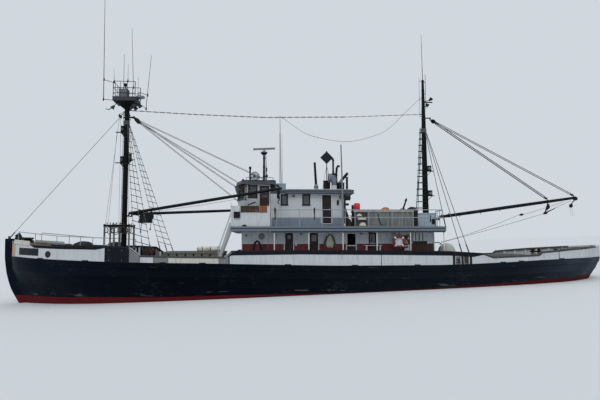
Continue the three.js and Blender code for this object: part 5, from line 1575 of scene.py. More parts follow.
    def alcove(self) -> None:
        """Pale upright boards with a brown lower panel near the after end."""
        y = self.HALF
        lefts = [-7.16 + k * 0.225 for k in range(4)]
        boards = blocks(*(((x, y - 0.004, 3.20), (x + 0.165, y + 0.012, 3.72)) for x in lefts))
        boards.both().piece("alcove_boards", WHITE_FLAT, bevel=0.003)
        gaps = blocks(*(((x + 0.165, y - 0.003, 3.20), (x + 0.225, y + 0.005, 3.72)) for x in lefts),
                      ((-7.57, y, 2.30), (-7.40, y + 0.05, 3.0)))
        gaps.both().piece("alcove_gaps", SLATE_DARK)
        low = blocks(((-7.23, y - 0.004, 1.95), (-6.32, y + 0.014, 3.18)),
                     *(((x, y + 0.01, 1.95), (x + 0.06, y + 0.028, 3.18)) for x in (-7.23, -6.38)),
                     ((-7.23, y + 0.01, 3.12), (-6.32, y + 0.03, 3.18)))
        low.both().piece("alcove_panel", VARNISH, bevel=0.004)

    def life_rings(self) -> None:
        """Life rings hung at the side deck, with a white case behind the outer one."""
        life_ring((-5.27, 3.19, 3.15), "life_ring_0")
        life_ring((-5.78, 2.60, 3.12), "life_ring_1")
        rack = blocks(((-5.29, 3.245, 3.42), (-5.25, 3.27, 3.80)))
        rack.both().piece("life_ring_hangers", BLACK_IRON, bevel=0.004)
        case = Shape().spin([(0, 0), (0.27, 0), (0.27, 0.03), (0, 0.035)], (-5.27, 3.10, 3.15), TO_PORT, 32)
        case.both().piece("life_ring_cases", WHITE_FLAT, crease=50)

    def build(self) -> None:
        """Builds every piece of the deckhouse."""
        self.windows()
        self.doors()
        self.trim()
        self.lamps()
        self.hung_gear()
        self.fittings()
        self.alcove()
        self.life_rings()


def life_ring(centre: Point, name: str) -> None:
    """Ring buoys against both side walls, in red with four white bands and a grab line."""
    ring, bands, line = Shape(), Shape(), Shape()
    mean, thick, quarter = 0.325, 0.085, math.pi / 2

    def at(a: float, r: float = mean) -> Vector:
        """Point of the ring's centre line, or of a wider circle."""
        return Vector(centre) + (UP * math.sin(a) - FORWARD * math.cos(a)) * r
    ring.pipe([at(math.tau * k / 40) for k in range(40)], thick, 12, closed=True)
    for middle in (quarter * (k + 0.5) for k in range(4)):
        bands.pipe([at(middle + d) for d in steps(-0.13, 0.13, 0.065)], thick + 0.004, 12)
        arc = steps(middle + 0.15, middle + quarter - 0.15, 0.13)
        line.pipe([at(a, mean + thick + 0.004
                      + 0.025 * math.sin((a - arc[0]) / (arc[-1] - arc[0]) * math.pi))
                   for a in arc], 0.008, 6)
    for shape, kind, finish in ((ring, "ring", RED_PLASTIC), (bands, "bands", WHITE_PLASTIC),
                                (line, "line", MANILA)):
        shape.both().piece(f"{name}_{kind}", finish)


class BoatDeck:
    """Boat deck edge, stanchions, rails, ladders, lockers and the gear kept on it."""

    EDGE = BOAT_DECK["half"]
    POSTS = (2.26, 0.87, -0.54, -1.93, -3.38, -4.88, -6.15, -7.66)

    def fascia(self) -> None:
        """Two slate mouldings round the edge with a dark line between, deck planks and beams."""
        fore, aft, y = BOAT_DECK["fore"], BOAT_DECK["aft"], self.EDGE
        for name, low, high, proud in (("low", 3.80, 3.925, 0.014), ("high", 3.985, 4.085, 0.022)):
            strips = blocks(((aft, y - 0.004, low), (2.72, y + proud, high)),
                            ((2.735, y - 0.004, low), (fore, y + proud, high)),
                            ((aft - proud, 0, low), (aft + 0.004, y + proud, high)),
                            ((fore - 0.004, 0, low), (fore + proud, y + proud, high)))
            strips.both().piece(f"boat_deck_{name}_moulding", SLATE_LIGHT, bevel=0.005)
        line = blocks(((aft + 0.01, y - 0.004, 3.92), (fore - 0.01, y + 0.006, 3.988)))
        line.both().piece("boat_deck_shadow_line", SLATE_DARK)
        planks = Shape().grid([[(x, side, 4.083) for x in (aft, fore)] for side in (-y, y)], ring=False)
        planks.piece("boat_deck_planks", GREY_PLANKS)
        beams = blocks(*(((x - 0.035, HOUSE["half"], 3.715), (x + 0.035, 3.255, 3.80))
                         for x in steps(HOUSE["aft"] + 0.3, HOUSE["fore"] - 0.3, 0.75)))
        beams.both().piece("boat_deck_beams", WHITE_FLAT, bevel=0.006)

    def stanchions(self) -> None:
        """Turned feet of the posts under the deck."""
        feet = Shape()
        for x in (2.39 - 2.089 * k for k in range(6)):
            feet.spin([(0, 0), (0.075, 0), (0.075, 0.02), (0.042, 0.05), (0, 0.05)],
                      (x, 3.3, FORM.deck_z(x)), sides=16)
        feet.both().piece("stanchion_feet", CREAM_POST_WITH_SHADE)

    def rails(self) -> None:
        """Round pipe rails with balls at the posts, in place of the frame's square bars, and fenders."""
        aft, inner, foot, y = -8.06, 1.79, 4.08, RAIL_Y
        shape, fenders = Shape(), Shape()
        for z in (RAIL_TOP, RAIL_MID):
            shape.pipe([(2.60, y, z), (aft + 0.12, y, z), (aft + 0.035, y - 0.035, z), (aft, y - 0.12, z),
                        (aft, inner, z)], 0.024, 10)
        for x, across in (*((x, y) for x in self.POSTS), (aft, inner), (aft, 2.6)):
            shape.bar((x, across, foot), (x, across, RAIL_TOP), 0.021, sides=10)
        for x in self.POSTS:
            for z in (RAIL_MID, RAIL_TOP):
                shape.spin([(0, -0.03), (0.03, -0.02), (0.035, 0.0), (0.03, 0.02), (0, 0.03)], (x, y, z),
                           sides=10)
            shape.spin([(0, 0), (0.055, 0), (0.05, 0.014), (0.024, 0.03), (0, 0.03)], (x, y, foot), sides=12)
        shape.both().piece("boat_deck_pipe_rails", GREY_IRON,
                           replaces=["boat_deck_rail_port", "boat_deck_rail_starboard"])
        heights = steps(4.50, 5.22, 0.06)
        for x in (2.35, -0.04):
            fenders.pipe([(x, y + 0.075, z) for z in heights],
                         [0.042 + 0.012 * math.sin(9 * z) for z in heights], 10)
        fenders.both().piece("rail_fenders", WOOD_DARK)

    def pole(self) -> None:
        """Grey signal pole at the port rail."""
        shape = Shape().bar((-1.84, 3.24, 4.08), (-1.72, 3.24, 9.12), 0.058, 0.036, 14)
        shape.spin([(0, 0), (0.03, 0.0), (0.046, 0.02), (0.03, 0.045), (0, 0.05)], (-1.72, 3.24, 9.10))
        shape.block((-1.90, 3.22, 4.60), (-1.78, 3.34, 4.66)).block((-1.89, 3.22, 5.06), (-1.77, 3.34, 5.12))
        shape.piece("signal_pole", GREY_TRIM)

    def ladders(self) -> None:
        """Pale cheeks and hand rails of the two ladders."""
        for name, x0, x1, ys in (("fore", 5.02, 5.80, (2.235, 2.815)),
                                 ("aft", -8.17, -8.95, (-2.815, -2.235))):
            shape = Shape()
            for y in ys:
                foot = Vector((x1, y, FORM.deck_z(x1) + 0.04))
                shape.beam((x0, y, 4.34), foot, 0.03, 0.15)
                shape.pipe([(x0, y, 4.95), (x0, y, 5.02), foot + UP * 0.85, foot + UP * 0.35], 0.018, 8)
            shape.piece(f"{name}_ladder_cheeks", LADDER_GREY, bevel=0.005)

    def deck_box(self) -> None:
        """Weathered lid, slats and stained boards of the long box."""
        x0, x1, y0, y1, top, foot = -6.20, -2.55, 2.05, 3.08, 5.00, 4.10
        boards, xs = steps(y0 - 0.03, y1 + 0.03, 0.19), steps(x0, x1, 0.26)
        lid = blocks(*(((x0 - 0.04, a + 0.003, top + 0.088), (x1 + 0.04, b - 0.003, top + 0.108))
                       for a, b in zip(boards, boards[1:])),
                     ((x0 - 0.05, y1 + 0.03, top - 0.02), (x1 + 0.05, y1 + 0.055, top + 0.10)),
                     *(((x, y0 - 0.03, top - 0.02), (x + 0.025, y1 + 0.055, top + 0.10))
                       for x in (x0 - 0.06, x1 + 0.035)))
        lid.piece("deck_box_lid", CREAM_WOOD, bevel=0.006)
        slats = blocks(*(((a + 0.006, y1 - 0.004, foot), (b - 0.006, y1 + 0.012, top - 0.03)) for a,
                         b in zip(xs, xs[1:])),
                       *(((x, y0, foot), (x + 0.016, y1, top - 0.03)) for x in (x0 - 0.012, x1 - 0.004)))
        slats.piece("deck_box_boards", STAINED_WOOD, bevel=0.003)
        stays = blocks(*(((x, y1 + 0.008, foot), (x + 0.06, y1 + 0.03, top - 0.02))
                         for x in (x0 + 0.06, -4.86, -3.42, x1 - 0.08)))
        stays.piece("deck_box_battens", STAINED_WOOD, bevel=0.004)
        lines = blocks(*(((-4.80, y1 + 0.008, z), (-3.36, y1 + 0.02, z + 0.03))
                         for z in steps(4.22, 4.90, 0.115)))
        lines.piece("deck_box_level_boards", STAINED_WOOD, bevel=0.003)
        dark = blocks(((-3.34, y1 + 0.006, 4.12), (-2.63, y1 + 0.014, top - 0.03)))
        dark.pipe([(-4.02 - 0.20 * t * t, y1 + 0.024, 4.86 - 0.70 * t) for t in steps(0, 1, 0.1)], 0.034, 8)
        dark.piece("deck_box_shadows", SLATE_DARK)

    def gear(self) -> None:
        """Rolls, float, davit, covered pump, red tank with its rack, covers and timber about the box."""
        y, foot = 3.12, 4.10
        rolls = heap((-3.02, y, 4.50), (0.28, 0.09, 0.17)).join(heap((-2.84, y, 4.72), (0.17, 0.08, 0.16)))
        rolls.join(heap((-3.05, y, 4.12), (0.22, 0.09, 0.22))).piece("shelved_rolls", CREAM_CLOTH, crease=80)
        heap((-4.56, 2.75, 5.09), (0.28, 0.20, 0.22)).piece("float_on_box", ORANGE_PLASTIC, crease=80)
        davit = Shape().bar((-5.68, 2.62, 5.11), (-5.92, 2.62, 5.76), 0.06, 0.045, 14)
        davit.bar((-5.88, 2.62, 5.70), (-5.95, 2.62, 5.86), 0.075, 0.05)
        davit.bar((-5.54, 2.62, 5.15), (-5.84, 2.62, 5.15), 0.08).piece("box_davit", BLACK_IRON)
        pump = heap((-6.34, 2.45, 5.02), (0.38, 0.32, 0.34)).block((-6.66, 2.2, foot), (-6.27, 2.6, 5.06))
        pump.piece("covered_pump", DARK_TARP, crease=80)
        tank = Shape().spin([(0, 0), (0.17, 0), (0.19, 0.03), (0.19, 0.38), (0.15, 0.43), (0, 0.44)],
                            (-2.79, 2.6, 5.13))
        tank.piece("red_tank", TANK_RED, crease=50)
        rack = blocks(((-2.53, 2.84, foot), (-2.40, 2.98, 5.42)), ((-3.05, 2.45, 5.10), (-2.5, 2.75, 5.14)))
        rack.piece("tank_rack", BLACK_IRON, bevel=0.006)
        stowed = heap((-2.36, 2.10, foot),
                      (0.17, 0.42, 0.52)).join(heap((-2.30, 1.72, foot), (0.14, 0.22, 0.92)))
        stowed.piece("stowed_covers", DARK_TARP, crease=80)
        timber = blocks(((-2.24, 2.22, foot), (-2.14, 2.34, 5.02)),
                        ((-2.50, 2.50, foot), (-2.22, 2.74, 4.36)))
        timber.piece("stowed_timber", WORN_BOARD, bevel=0.008)

    def locker(self) -> None:
        """Edges and level lines of the locker abaft the mainmast rail, and the gear hung on it."""
        x0, x1, y0, y, top, foot = -8.13, -6.80, 0.60, 1.70, 4.99, 4.10
        back = y - 0.004
        trim = blocks(*(((x, back, foot), (x + 0.06, y + 0.018, top)) for x in (x0 - 0.004, x1 - 0.056)),
                      ((x0, back, top - 0.07), (x1, y + 0.018, top)),
                      ((x0, back, foot), (x1, y + 0.018, 4.17)),
                      *(((x0, back, z), (x1, y + 0.010, z + 0.018)) for z in (4.43, 4.68)),
                      ((x0 - 0.02, y0 - 0.02, top - 0.002), (x1 + 0.02, y + 0.03, top + 0.022)))
        trim.piece("locker_trim", PALE_BLUE, bevel=0.005)
        gear = blocks(((x0 + 0.10, y, 4.30), (x0 + 0.30, y + 0.06, 4.62)),
                      ((x0 + 0.36, y, 4.44), (x0 + 0.42, y + 0.05, 4.86)))
        gear.piece("locker_gear", BLACK_IRON, bevel=0.01)

    def wings(self) -> None:
        """Posts, cap, worn board and sidelights of the bridge wings."""
        y, back, head = 3.30, 3.296, 5.335
        posts = blocks(*(((x - 0.035, back, 4.10), (x + 0.035, y + 0.024, 5.33))
                         for x in (2.70, 3.85, 4.965)),
                       ((4.42, y - 0.07, 5.29), (5.02, y + 0.03, head)),
                       ((2.66, y - 0.07, 5.29), (2.82, y + 0.03, head)),
                       ((4.47, back, 4.97), (4.79, y + 0.05, head)),
                       ((4.965, 0.0, 5.29), (5.025, y + 0.03, head)),
                       ((4.985, y - 0.07, 4.09), (5.022, y + 0.024, 5.52)),
                       ((2.64, y - 0.05, 4.09), (2.70, y + 0.01, 5.52)))
        posts.both().piece("wing_posts_and_cap", WHITE_FLAT, bevel=0.006)
        board = blocks(((3.31, y - 0.06, 4.94), (4.42, y + 0.04, head)))
        board.both().piece("worn_wing_boards", WORN_BOARD, bevel=0.008)
        patch = blocks(((2.83, y - 0.06, 4.93), (3.29, y + 0.044, head)))
        patch.both().piece("wing_patch_boards", ORANGE_WOOD, bevel=0.008)
        light = blocks(*(((4.46, y + a, low), (fore, y + b, high)) for a, b, fore, low, high in (
            (0, 0.12, 4.50, 4.60, 4.96), (0, 0.02, 4.83, 4.60, 4.96), (0, 0.12, 4.83, 4.60, 4.63),
            (0, 0.12, 4.83, 4.93, 4.96), (0.105, 0.12, 4.83, 4.60, 4.96))))
        light.both().piece("sidelight_boards", BLACK_IRON, bevel=0.006)
        profile = [(0, 0), (0.035, 0), (0.04, 0.02), (0.04, 0.16), (0.03, 0.19), (0, 0.19)]
        for side, finish in ((Side.PORT, RED_PLASTIC), (Side.STARBOARD, GREEN_PLASTIC)):
            lamp = Shape().spin(profile, (4.775, y + 0.06, 4.68), sides=16)
            lamp.on(side).piece(f"sidelight_{side.label}", finish)
        # painted shade: flat dark arches stand for the drain openings
        arch = [(4.20 + 0.15 * math.cos(a), y, 4.10 + 0.10 * math.sin(a)) for a in steps(0, math.pi, 0.3)]
        Shape().plate(arch, TO_PORT * 0.014).both().piece("wing_drains", BLACK_IRON)

    def build(self) -> None:
        """Builds every piece of the boat deck."""
        self.fascia()
        self.stanchions()
        self.rails()
        self.pole()
        self.ladders()
        self.deck_box()
        self.gear()
        self.locker()
        self.wings()


class Cabin:
    """Cabin on the boat deck with its roof."""

    HALF = CABIN["half"]

    def walls(self) -> None:
        """Windows, door and trim of the walls."""
        glazing, y = Glazing("cabin"), self.HALF
        for a, b in ((1.56, 1.92), (0.15, 0.55)):
            glazing.add(Hole(side_wall(y), a, b, 5.50, 6.12, 0.06, curtain=0.5))
        glazing.add(Hole(cross_wall(CABIN["aft"], -1), -0.90, -0.40, 5.50, 6.00, 0.06, mirrored=False))
        glazing.build()
        Door("cabin_door", -1.24, -0.67, 4.33, 6.13, y).build()
        trim = blocks(*(((x, y - 0.03, 4.10), (x + 0.05, y + 0.014, 6.19))
                        for x in (CABIN["aft"] - 0.012, 2.55)),
                      *(((a, y - 0.004, 4.655), (b, y + 0.014, 4.69)) for a,
                        b in ((CABIN["aft"], -1.36), (-0.60, 2.60))))
        trim.both().piece("cabin_trim", WHITE_FLAT, bevel=0.004)

    def roof(self) -> None:
        """Mouldings round the roof and its low hand rails."""
        edge = blocks(*(((-2.65 - proud, -2.30 - proud, low), (1.72, 2.30 + proud, high))
                        for low, high, proud in ((6.205, 6.27, 0.02), (6.37, 6.44, 0.016))))
        edge.piece("cabin_roof_mouldings", SLATE_PAINT, bevel=0.008)
        aft, fore, y, z = -2.5, 1.6, 2.22, 6.47
        rail = Shape().pipe([(x, y, z) for x in steps(aft, fore, 0.5)], 0.018, 8)
        for x in steps(aft, fore, 0.82):
            rail.bar((x, y, 6.43), (x, y, z), 0.014)
        rail.both().piece("roof_handrails", WHITE_FLAT)

    def gear(self) -> None:
        """Lamps and boxes on the walls, and what hangs under the roof's after edge."""
        y = self.HALF
        lamp = blocks(((1.10, y, 6.00), (1.22, y + 0.09, 6.10)), ((-1.72, y, 5.5), (-1.60, y + 0.1, 5.8)))
        lamp.both().piece("cabin_lamps", BLACK_IRON, bevel=0.006)
        stack = blocks(((-2.16, 2.02, 4.30), (-2.04, 2.14, 6.16)),
                       ((-2.46, 2.04, 5.78), (-2.12, 2.14, 6.04)),
                       ((-2.36, 2.04, 5.45), (-2.12, 2.12, 5.60)), ((-2.22, 2.00, 4.95), (-2.0, 2.16, 5.25)))
        stack.both().piece("cabin_wall_gear", DARK_TARP, bevel=0.02)
        hung, rng, y = Shape(), random.Random(21), 2.16
        for x in (-1.80 - 0.16 * k for k in range(5)):
            depth = rng.uniform(0.18, 0.5)
            hung.bar((x, y, 6.20), (x, y, 6.1), 0.008, sides=6)
            hung.pipe([(x, y, 6.12), (x + 0.02, y, 6.12 - depth * 0.6), (x, y, 6.12 - depth)],
                      [0.02, 0.05, 0.03], 8)
        hung.both().piece("hung_gear", RUBBER)

    def build(self) -> None:
        """Builds every piece of the cabin."""
        self.walls()
        self.roof()
        self.gear()


class Wheelhouse:
    """Wheelhouse with its rounded front, visor, roof, horn, searchlight and roof gear."""

    FRONT = ((4.75, 0.0, 0.0), (4.675, 0.70, 12.0), (4.385, 1.40, 58.0))     # x, y, turn in degrees
    PLAN = ((4.17, 1.75), (4.60, 1.05), (4.75, 0.35), (4.75, -0.35), (4.60, -1.05), (4.17, -1.75))
    ROOF = ((2.28, 1.97), (4.405, 1.97), (4.655, 1.26), (4.845, 0.46), (4.845, -0.46), (4.655, -1.26),
            (4.405, -1.97), (2.28, -1.97))

    def windows(self) -> None:
        """Front and side windows, and the doors."""
        glazing = Glazing("wheelhouse", 0.022)
        for x, y, turn in self.FRONT:
            out = Vector((math.cos(math.radians(turn)), math.sin(math.radians(turn)), 0))
            glazing.add(Hole(wall((x, y, 0), UP.cross(out), out), -0.23, 0.23, 6.00, 6.68, 0.06,
                             mirrored=y > 0))
        glazing.add(Hole(side_wall(BRIDGE["half"]), 3.50, 3.98, 6.00, 6.72, 0.06, curtain=0.2))
        glazing.build()
        Door("wheelhouse_door", 2.70, 3.30, 4.28, 6.73, BRIDGE["half"], (0.116, 6.00, 6.62),
             wood=VARNISH).build()

    def trim(self) -> None:
        """White corner boards, the grip on the wall, and varnish between the front windows."""
        corners = blocks(((2.62, 1.746, 4.30), (2.69, 1.768, 6.82)),
                         ((4.06, 1.746, 5.0), (4.15, 1.768, 6.82)))
        corners.beam((4.53, 1.765, 5.43), (4.03, 1.765, 5.52), 0.012, 0.05)
        corners.both().piece("wheelhouse_corner_boards", WHITE_FLAT, bevel=0.004)
        bar = Shape().beam((4.06, 1.765, 5.50), (3.56, 1.765, 5.70), 0.03, 0.06)
        bar.both().piece("wall_grip", BLACK_IRON, bevel=0.006)
        front = blocks(*(((x - 0.03, y - 0.05, 5.80), (x + 0.03, y + 0.05, 6.80)) for x, y in self.PLAN))
        for z, grow in ((6.70, 0.035), (5.90, 0.02)):
            path = [(x + grow * 0.8, y + math.copysign(grow, y) * 0.6, z) for x, y in self.PLAN]
            for a, b in zip(path, path[1:]):
                front.beam(a, b, 0.04, 0.07, UP)
        front.piece("wheelhouse_front_varnish", VARNISH, bevel=0.006)

    def roof(self) -> None:
        """Rounded canvas-covered roof edge, and the visor over the front windows."""
        rows = [[(x + grow * (1 if x > 3 else -1), y + math.copysign(grow, y), z) for x, y in self.ROOF]
                for grow, z in ((-0.02, 6.825), (0.008, 6.84), (0.012, 6.90), (0.012, 7.0), (-0.01, 7.045),
                                (-0.08, 7.068))]
        Shape().grid(rows).piece("wheelhouse_roof_cover", ROOF_PAINT, crease=50)
        curve = [(3.72 + 1.24 * math.cos(a), 1.80 * math.sin(a))
                 for a in (math.radians(lerp(-78, 78, k / 24)) for k in range(25))]
        brow = [[(x - dx, y * (1 - dy), z) for dx, dy, z in (
            (0.0, 0.0, 6.80), (0.01, 0.0, 6.62), (0.10, 0.03, 6.38), (0.24, 0.07, 6.20), (0.26, 0.08, 6.21),
            (0.13, 0.05, 6.40), (0.04, 0.02, 6.62), (0.04, 0.02, 6.80))] for x, y in curve]
        Shape().grid(brow).piece("wheelhouse_visor", WORN_BOARD, crease=50)
        edges = Shape().pipe([(x - 0.25, y * 0.925, 6.19) for x, y in curve], 0.022, 8)
        edges.pipe([(x + 0.01, y * 0.925 / 0.92, 6.82) for x, y in curve], 0.025, 8)
        edges.piece("visor_edges", BLACK_IRON)

    def horn(self) -> None:
        """The horn on its foot, at the front of the roof."""
        horn = Shape().spin([(0, 0), (0.04, 0.0), (0.03, 0.10), (0.045, 0.2), (0.085, 0.28), (0.09, 0.28),
                             (0.05, 0.2), (0, 0.18)], (4.30, 0.0, 7.14), Vector((0.62, 0, 0.78)), 18)
        horn.bar((4.30, 0.0, 7.04), (4.30, 0.0, 7.16), 0.02).block((4.22, -0.06, 7.05), (4.38, 0.06, 7.08))
        horn.piece("horn", BLACK_IRON, crease=50)

    def searchlight(self) -> None:
        """The searchlight in its fork, turned to port."""
        middle, foot, facing = Vector((3.61, 0, 7.58)), Vector((3.61, 0, 7.26)), Vector((0.25, 0.968, 0))
        side = facing.cross(UP)
        lamp = Shape().spin([(0, -0.24), (0.13, -0.235), (0.22, -0.17), (0.268, -0.05), (0.272, 0.15),
                             (0.285, 0.155),
                             (0.285, 0.20), (0.262, 0.20), (0.25, 0.17), (0, 0.17)], middle, facing, 32)
        for d in (-0.18, -0.09, 0.0, 0.09, 0.18):
            high, bar = math.sqrt(0.26 ** 2 - d ** 2), middle + side * d + facing * 0.205
            lamp.bar(bar - UP * high, bar + UP * high, 0.006, sides=6)
        for d in (-1, 1):
            end = middle + side * (d * 0.29)
            lamp.pipe([end, end - UP * 0.16, foot + side * (d * 0.14), foot - UP * 0.04], 0.02, 8)
        lamp.piece("searchlight_shell", LAMP_GREY, crease=40)
        lens = Shape().spin([(0, 0.168), (0.25, 0.168), (0.25, 0.175), (0.12, 0.19), (0, 0.194)], middle,
                            facing, 28)
        lens.piece("searchlight_lens", PALE_GLASS)

    def gear(self) -> None:
        """Post, cable box trim, gear at the after edge and rails on the roof."""
        post = Shape().bar((3.97, 0, 7.05), (3.97, 0, 8.20), 0.062, 0.058, 16)
        post.spin([(0, 0), (0.09, 0), (0.09, 0.06), (0.075, 0.14), (0, 0.15)], (3.97, 0, 8.08), sides=16)
        post.piece("roof_post", BLACK_IRON)
        box = blocks(*(((x, 0.56, 6.432), (x + 0.06, 0.90, 6.448)) for x in (1.66, 2.22)),
                     ((1.595, 0.545, 6.93), (2.345, 0.915, 6.998)),
                     *(((x, 0.893, 6.455), (x + 0.04, 0.912, 6.95)) for x in (1.60, 2.30)))
        box.piece("cable_box_trim", PALE_BLUE, bevel=0.006)
        gear = blocks(((2.34, 0.9, 6.62), (2.58, 1.3, 6.86)), ((2.40, 1.34, 6.45), (2.56, 1.62, 6.74)))
        for k in range(5):
            y = 1.80 + 0.02 * k
            gear.pipe([(2.30 + 0.07 * k, y, 6.86), (2.34 + 0.07 * k, y, 6.70 - 0.02 * k),
                       (2.30 + 0.09 * k, y, 6.55)],
                      0.02, 6)
        gear.piece("roof_edge_gear", DARK_TARP, bevel=0.01)
        rail = Shape()
        for y in (-1.7, 1.7):
            rail.pipe([(x, y, z) for x, z in ((2.45, 7.06), (2.45, 7.24), (2.52, 7.28), (4.1, 7.28),
                                              (4.17, 7.24), (4.17, 7.06))], 0.016, 8)
        rail.piece("wheelhouse_roof_rails", WEATHERED_IRON)

    def build(self) -> None:
        """Builds every piece of the wheelhouse."""
        self.windows()
        self.trim()
        self.roof()
        self.horn()
        self.searchlight()
        self.gear()


# Rig

FORE_AXIS = (Vector((11.81, 0.35, 4.94)), Vector((11.67, 0.15, 11.44)))    # heel pin, masthead pin
AFT_AXIS = (Vector((-8.89, 0.0, 4.71)), Vector((-8.44, 0.0, 11.65)))


def other_side(p: Point) -> Vector:
    """The same place on the other side."""
    return Vector((p[0], -p[1], p[2]))


def twisted(a: Point, b: Point, spread: float, pitch: float, radius: float, strands: int = 2) -> Shape:
    """Wires wound round the line between two points.

    Args:
        a: one end.
        b: the other end.
        spread: how far each wire stands off the line.
        pitch: length of one full turn.
        radius: radius of each wire.
        strands: how many wires there are.

    Returns:
        The wires.
    """
    a, b = Vector(a), Vector(b)
    along = (b - a).normalized()
    side = along.orthogonal().normalized()
    up = along.cross(side)
    turns = (b - a).length / pitch
    shape = Shape()
    for k in range(strands):
        path = []
        for t in steps(0, 1, 1 / (8 * turns)):
            turn = 2 * math.pi * (turns * t + k / strands)
            path.append(a.lerp(b, t) + (side * math.cos(turn) + up * math.sin(turn)) * spread)
        shape.pipe(path, radius, 5)
    return shape


def sagging(a: Point, b: Point, drop: float, pitch: float = 0.4) -> list[Vector]:
    """Points of a line that hangs between two points, drop below the straight line at its middle."""
    a, b = Vector(a), Vector(b)
    return [a.lerp(b, t) - UP * (4 * drop * t * (1 - t)) for t in steps(0, 1, pitch / (b - a).length)]


def pulley(centre: Point, pull: Vector, size: float) -> Shape:
    """Rope block hung along pull: two oval cheeks, the sheave between them, and its strap."""
    centre, pull = Vector(centre), pull.normalized()
    flat = pull.cross(TO_PORT).cross(pull).normalized() if abs(pull.y) < 0.8 else FORWARD
    across = flat.cross(pull)
    shape = Shape()
    for side in (-1, 1):
        cheek = circle(centre + flat * (side * size * 0.15), pull * size * 0.6, across * size * 0.42,
                       math.pi / 9)
        shape.plate(cheek, flat * (side * size * 0.1))
        eye = centre + pull * (side * size * 0.86)
        shape.pipe(circle(eye, pull * size * 0.13, across * size * 0.13, math.pi / 5), size * 0.045, 6,
                   closed=True)
    sheave = ((0, -0.13), (0.36, -0.13), (0.30, 0.0), (0.36, 0.13), (0, 0.13))
    shape.spin([(r * size, h * size) for r, h in sheave], centre, flat, 18)
    return shape.beam(centre - pull * size * 0.78, centre + pull * size * 0.78, size * 0.16, size * 0.54,
                      across)


def hoop(centre: Point, radius: float, high: float, axis: Vector = UP, thick: float = 0.012) -> Shape:
    """Iron band round a spar."""
    rings = ((radius - 0.01, -high / 2), (radius + thick, -high / 2), (radius + thick, high / 2),
             (radius - 0.01, high / 2))
    return Shape().spin([*rings, rings[0]], centre, axis, 24)


def lantern(foot: Point, radius: float, high: float) -> tuple[Shape, Shape]:
    """Ship's lantern standing at foot: its dark cage and cap, and its ribbed glass."""
    cage, glass = Shape(), Shape()
    cage.spin([(0, 0), (radius, 0), (radius, high * 0.2), (radius * 0.9, high * 0.22), (0, high * 0.22)],
              foot)
    top = ((0, high * 0.7), (radius * 0.95, high * 0.7), (radius, high * 0.74), (radius * 0.8, high * 0.86),
           (radius * 0.35, high * 0.94), (radius * 0.35, high), (0, high))
    cage.spin(top, foot)
    ribs = [(radius * (0.90 if k % 2 else 0.82), lerp(high * 0.22, high * 0.7, k / 12)) for k in range(13)]
    glass.spin([(0, high * 0.22), *ribs, (0, high * 0.7)], foot)
    return cage, glass


@dataclass
class Mast:
    """Round pole mast with its iron bands."""

    name: str
    x: float
    rows: tuple[tuple[float, float], ...]      # height and radius, from the deck up
    hoops: tuple[float, ...]
    body: str = "ship"

    def radius(self, z: float) -> float:
        """Radius at a height."""
        return Polyline(self.rows)(z)

    def build(self) -> None:
        """Builds the pole and its bands."""
        shape = Shape()
        heights = sorted({*steps(self.rows[0][0], self.rows[-1][0], 0.6), *(row[0] for row in self.rows)})
        shape.pipe([(self.x, 0, z) for z in heights], [self.radius(z) for z in heights], 32)
        shape.piece(f"{self.name}_pole", MAST_PAINT, crease=60)
        bands = Shape()
        for z in self.hoops:
            bands.join(hoop((self.x, 0, z), self.radius(z), 0.09))
        bands.piece(f"{self.name}_bands", BLACK_IRON, bevel=0.004)


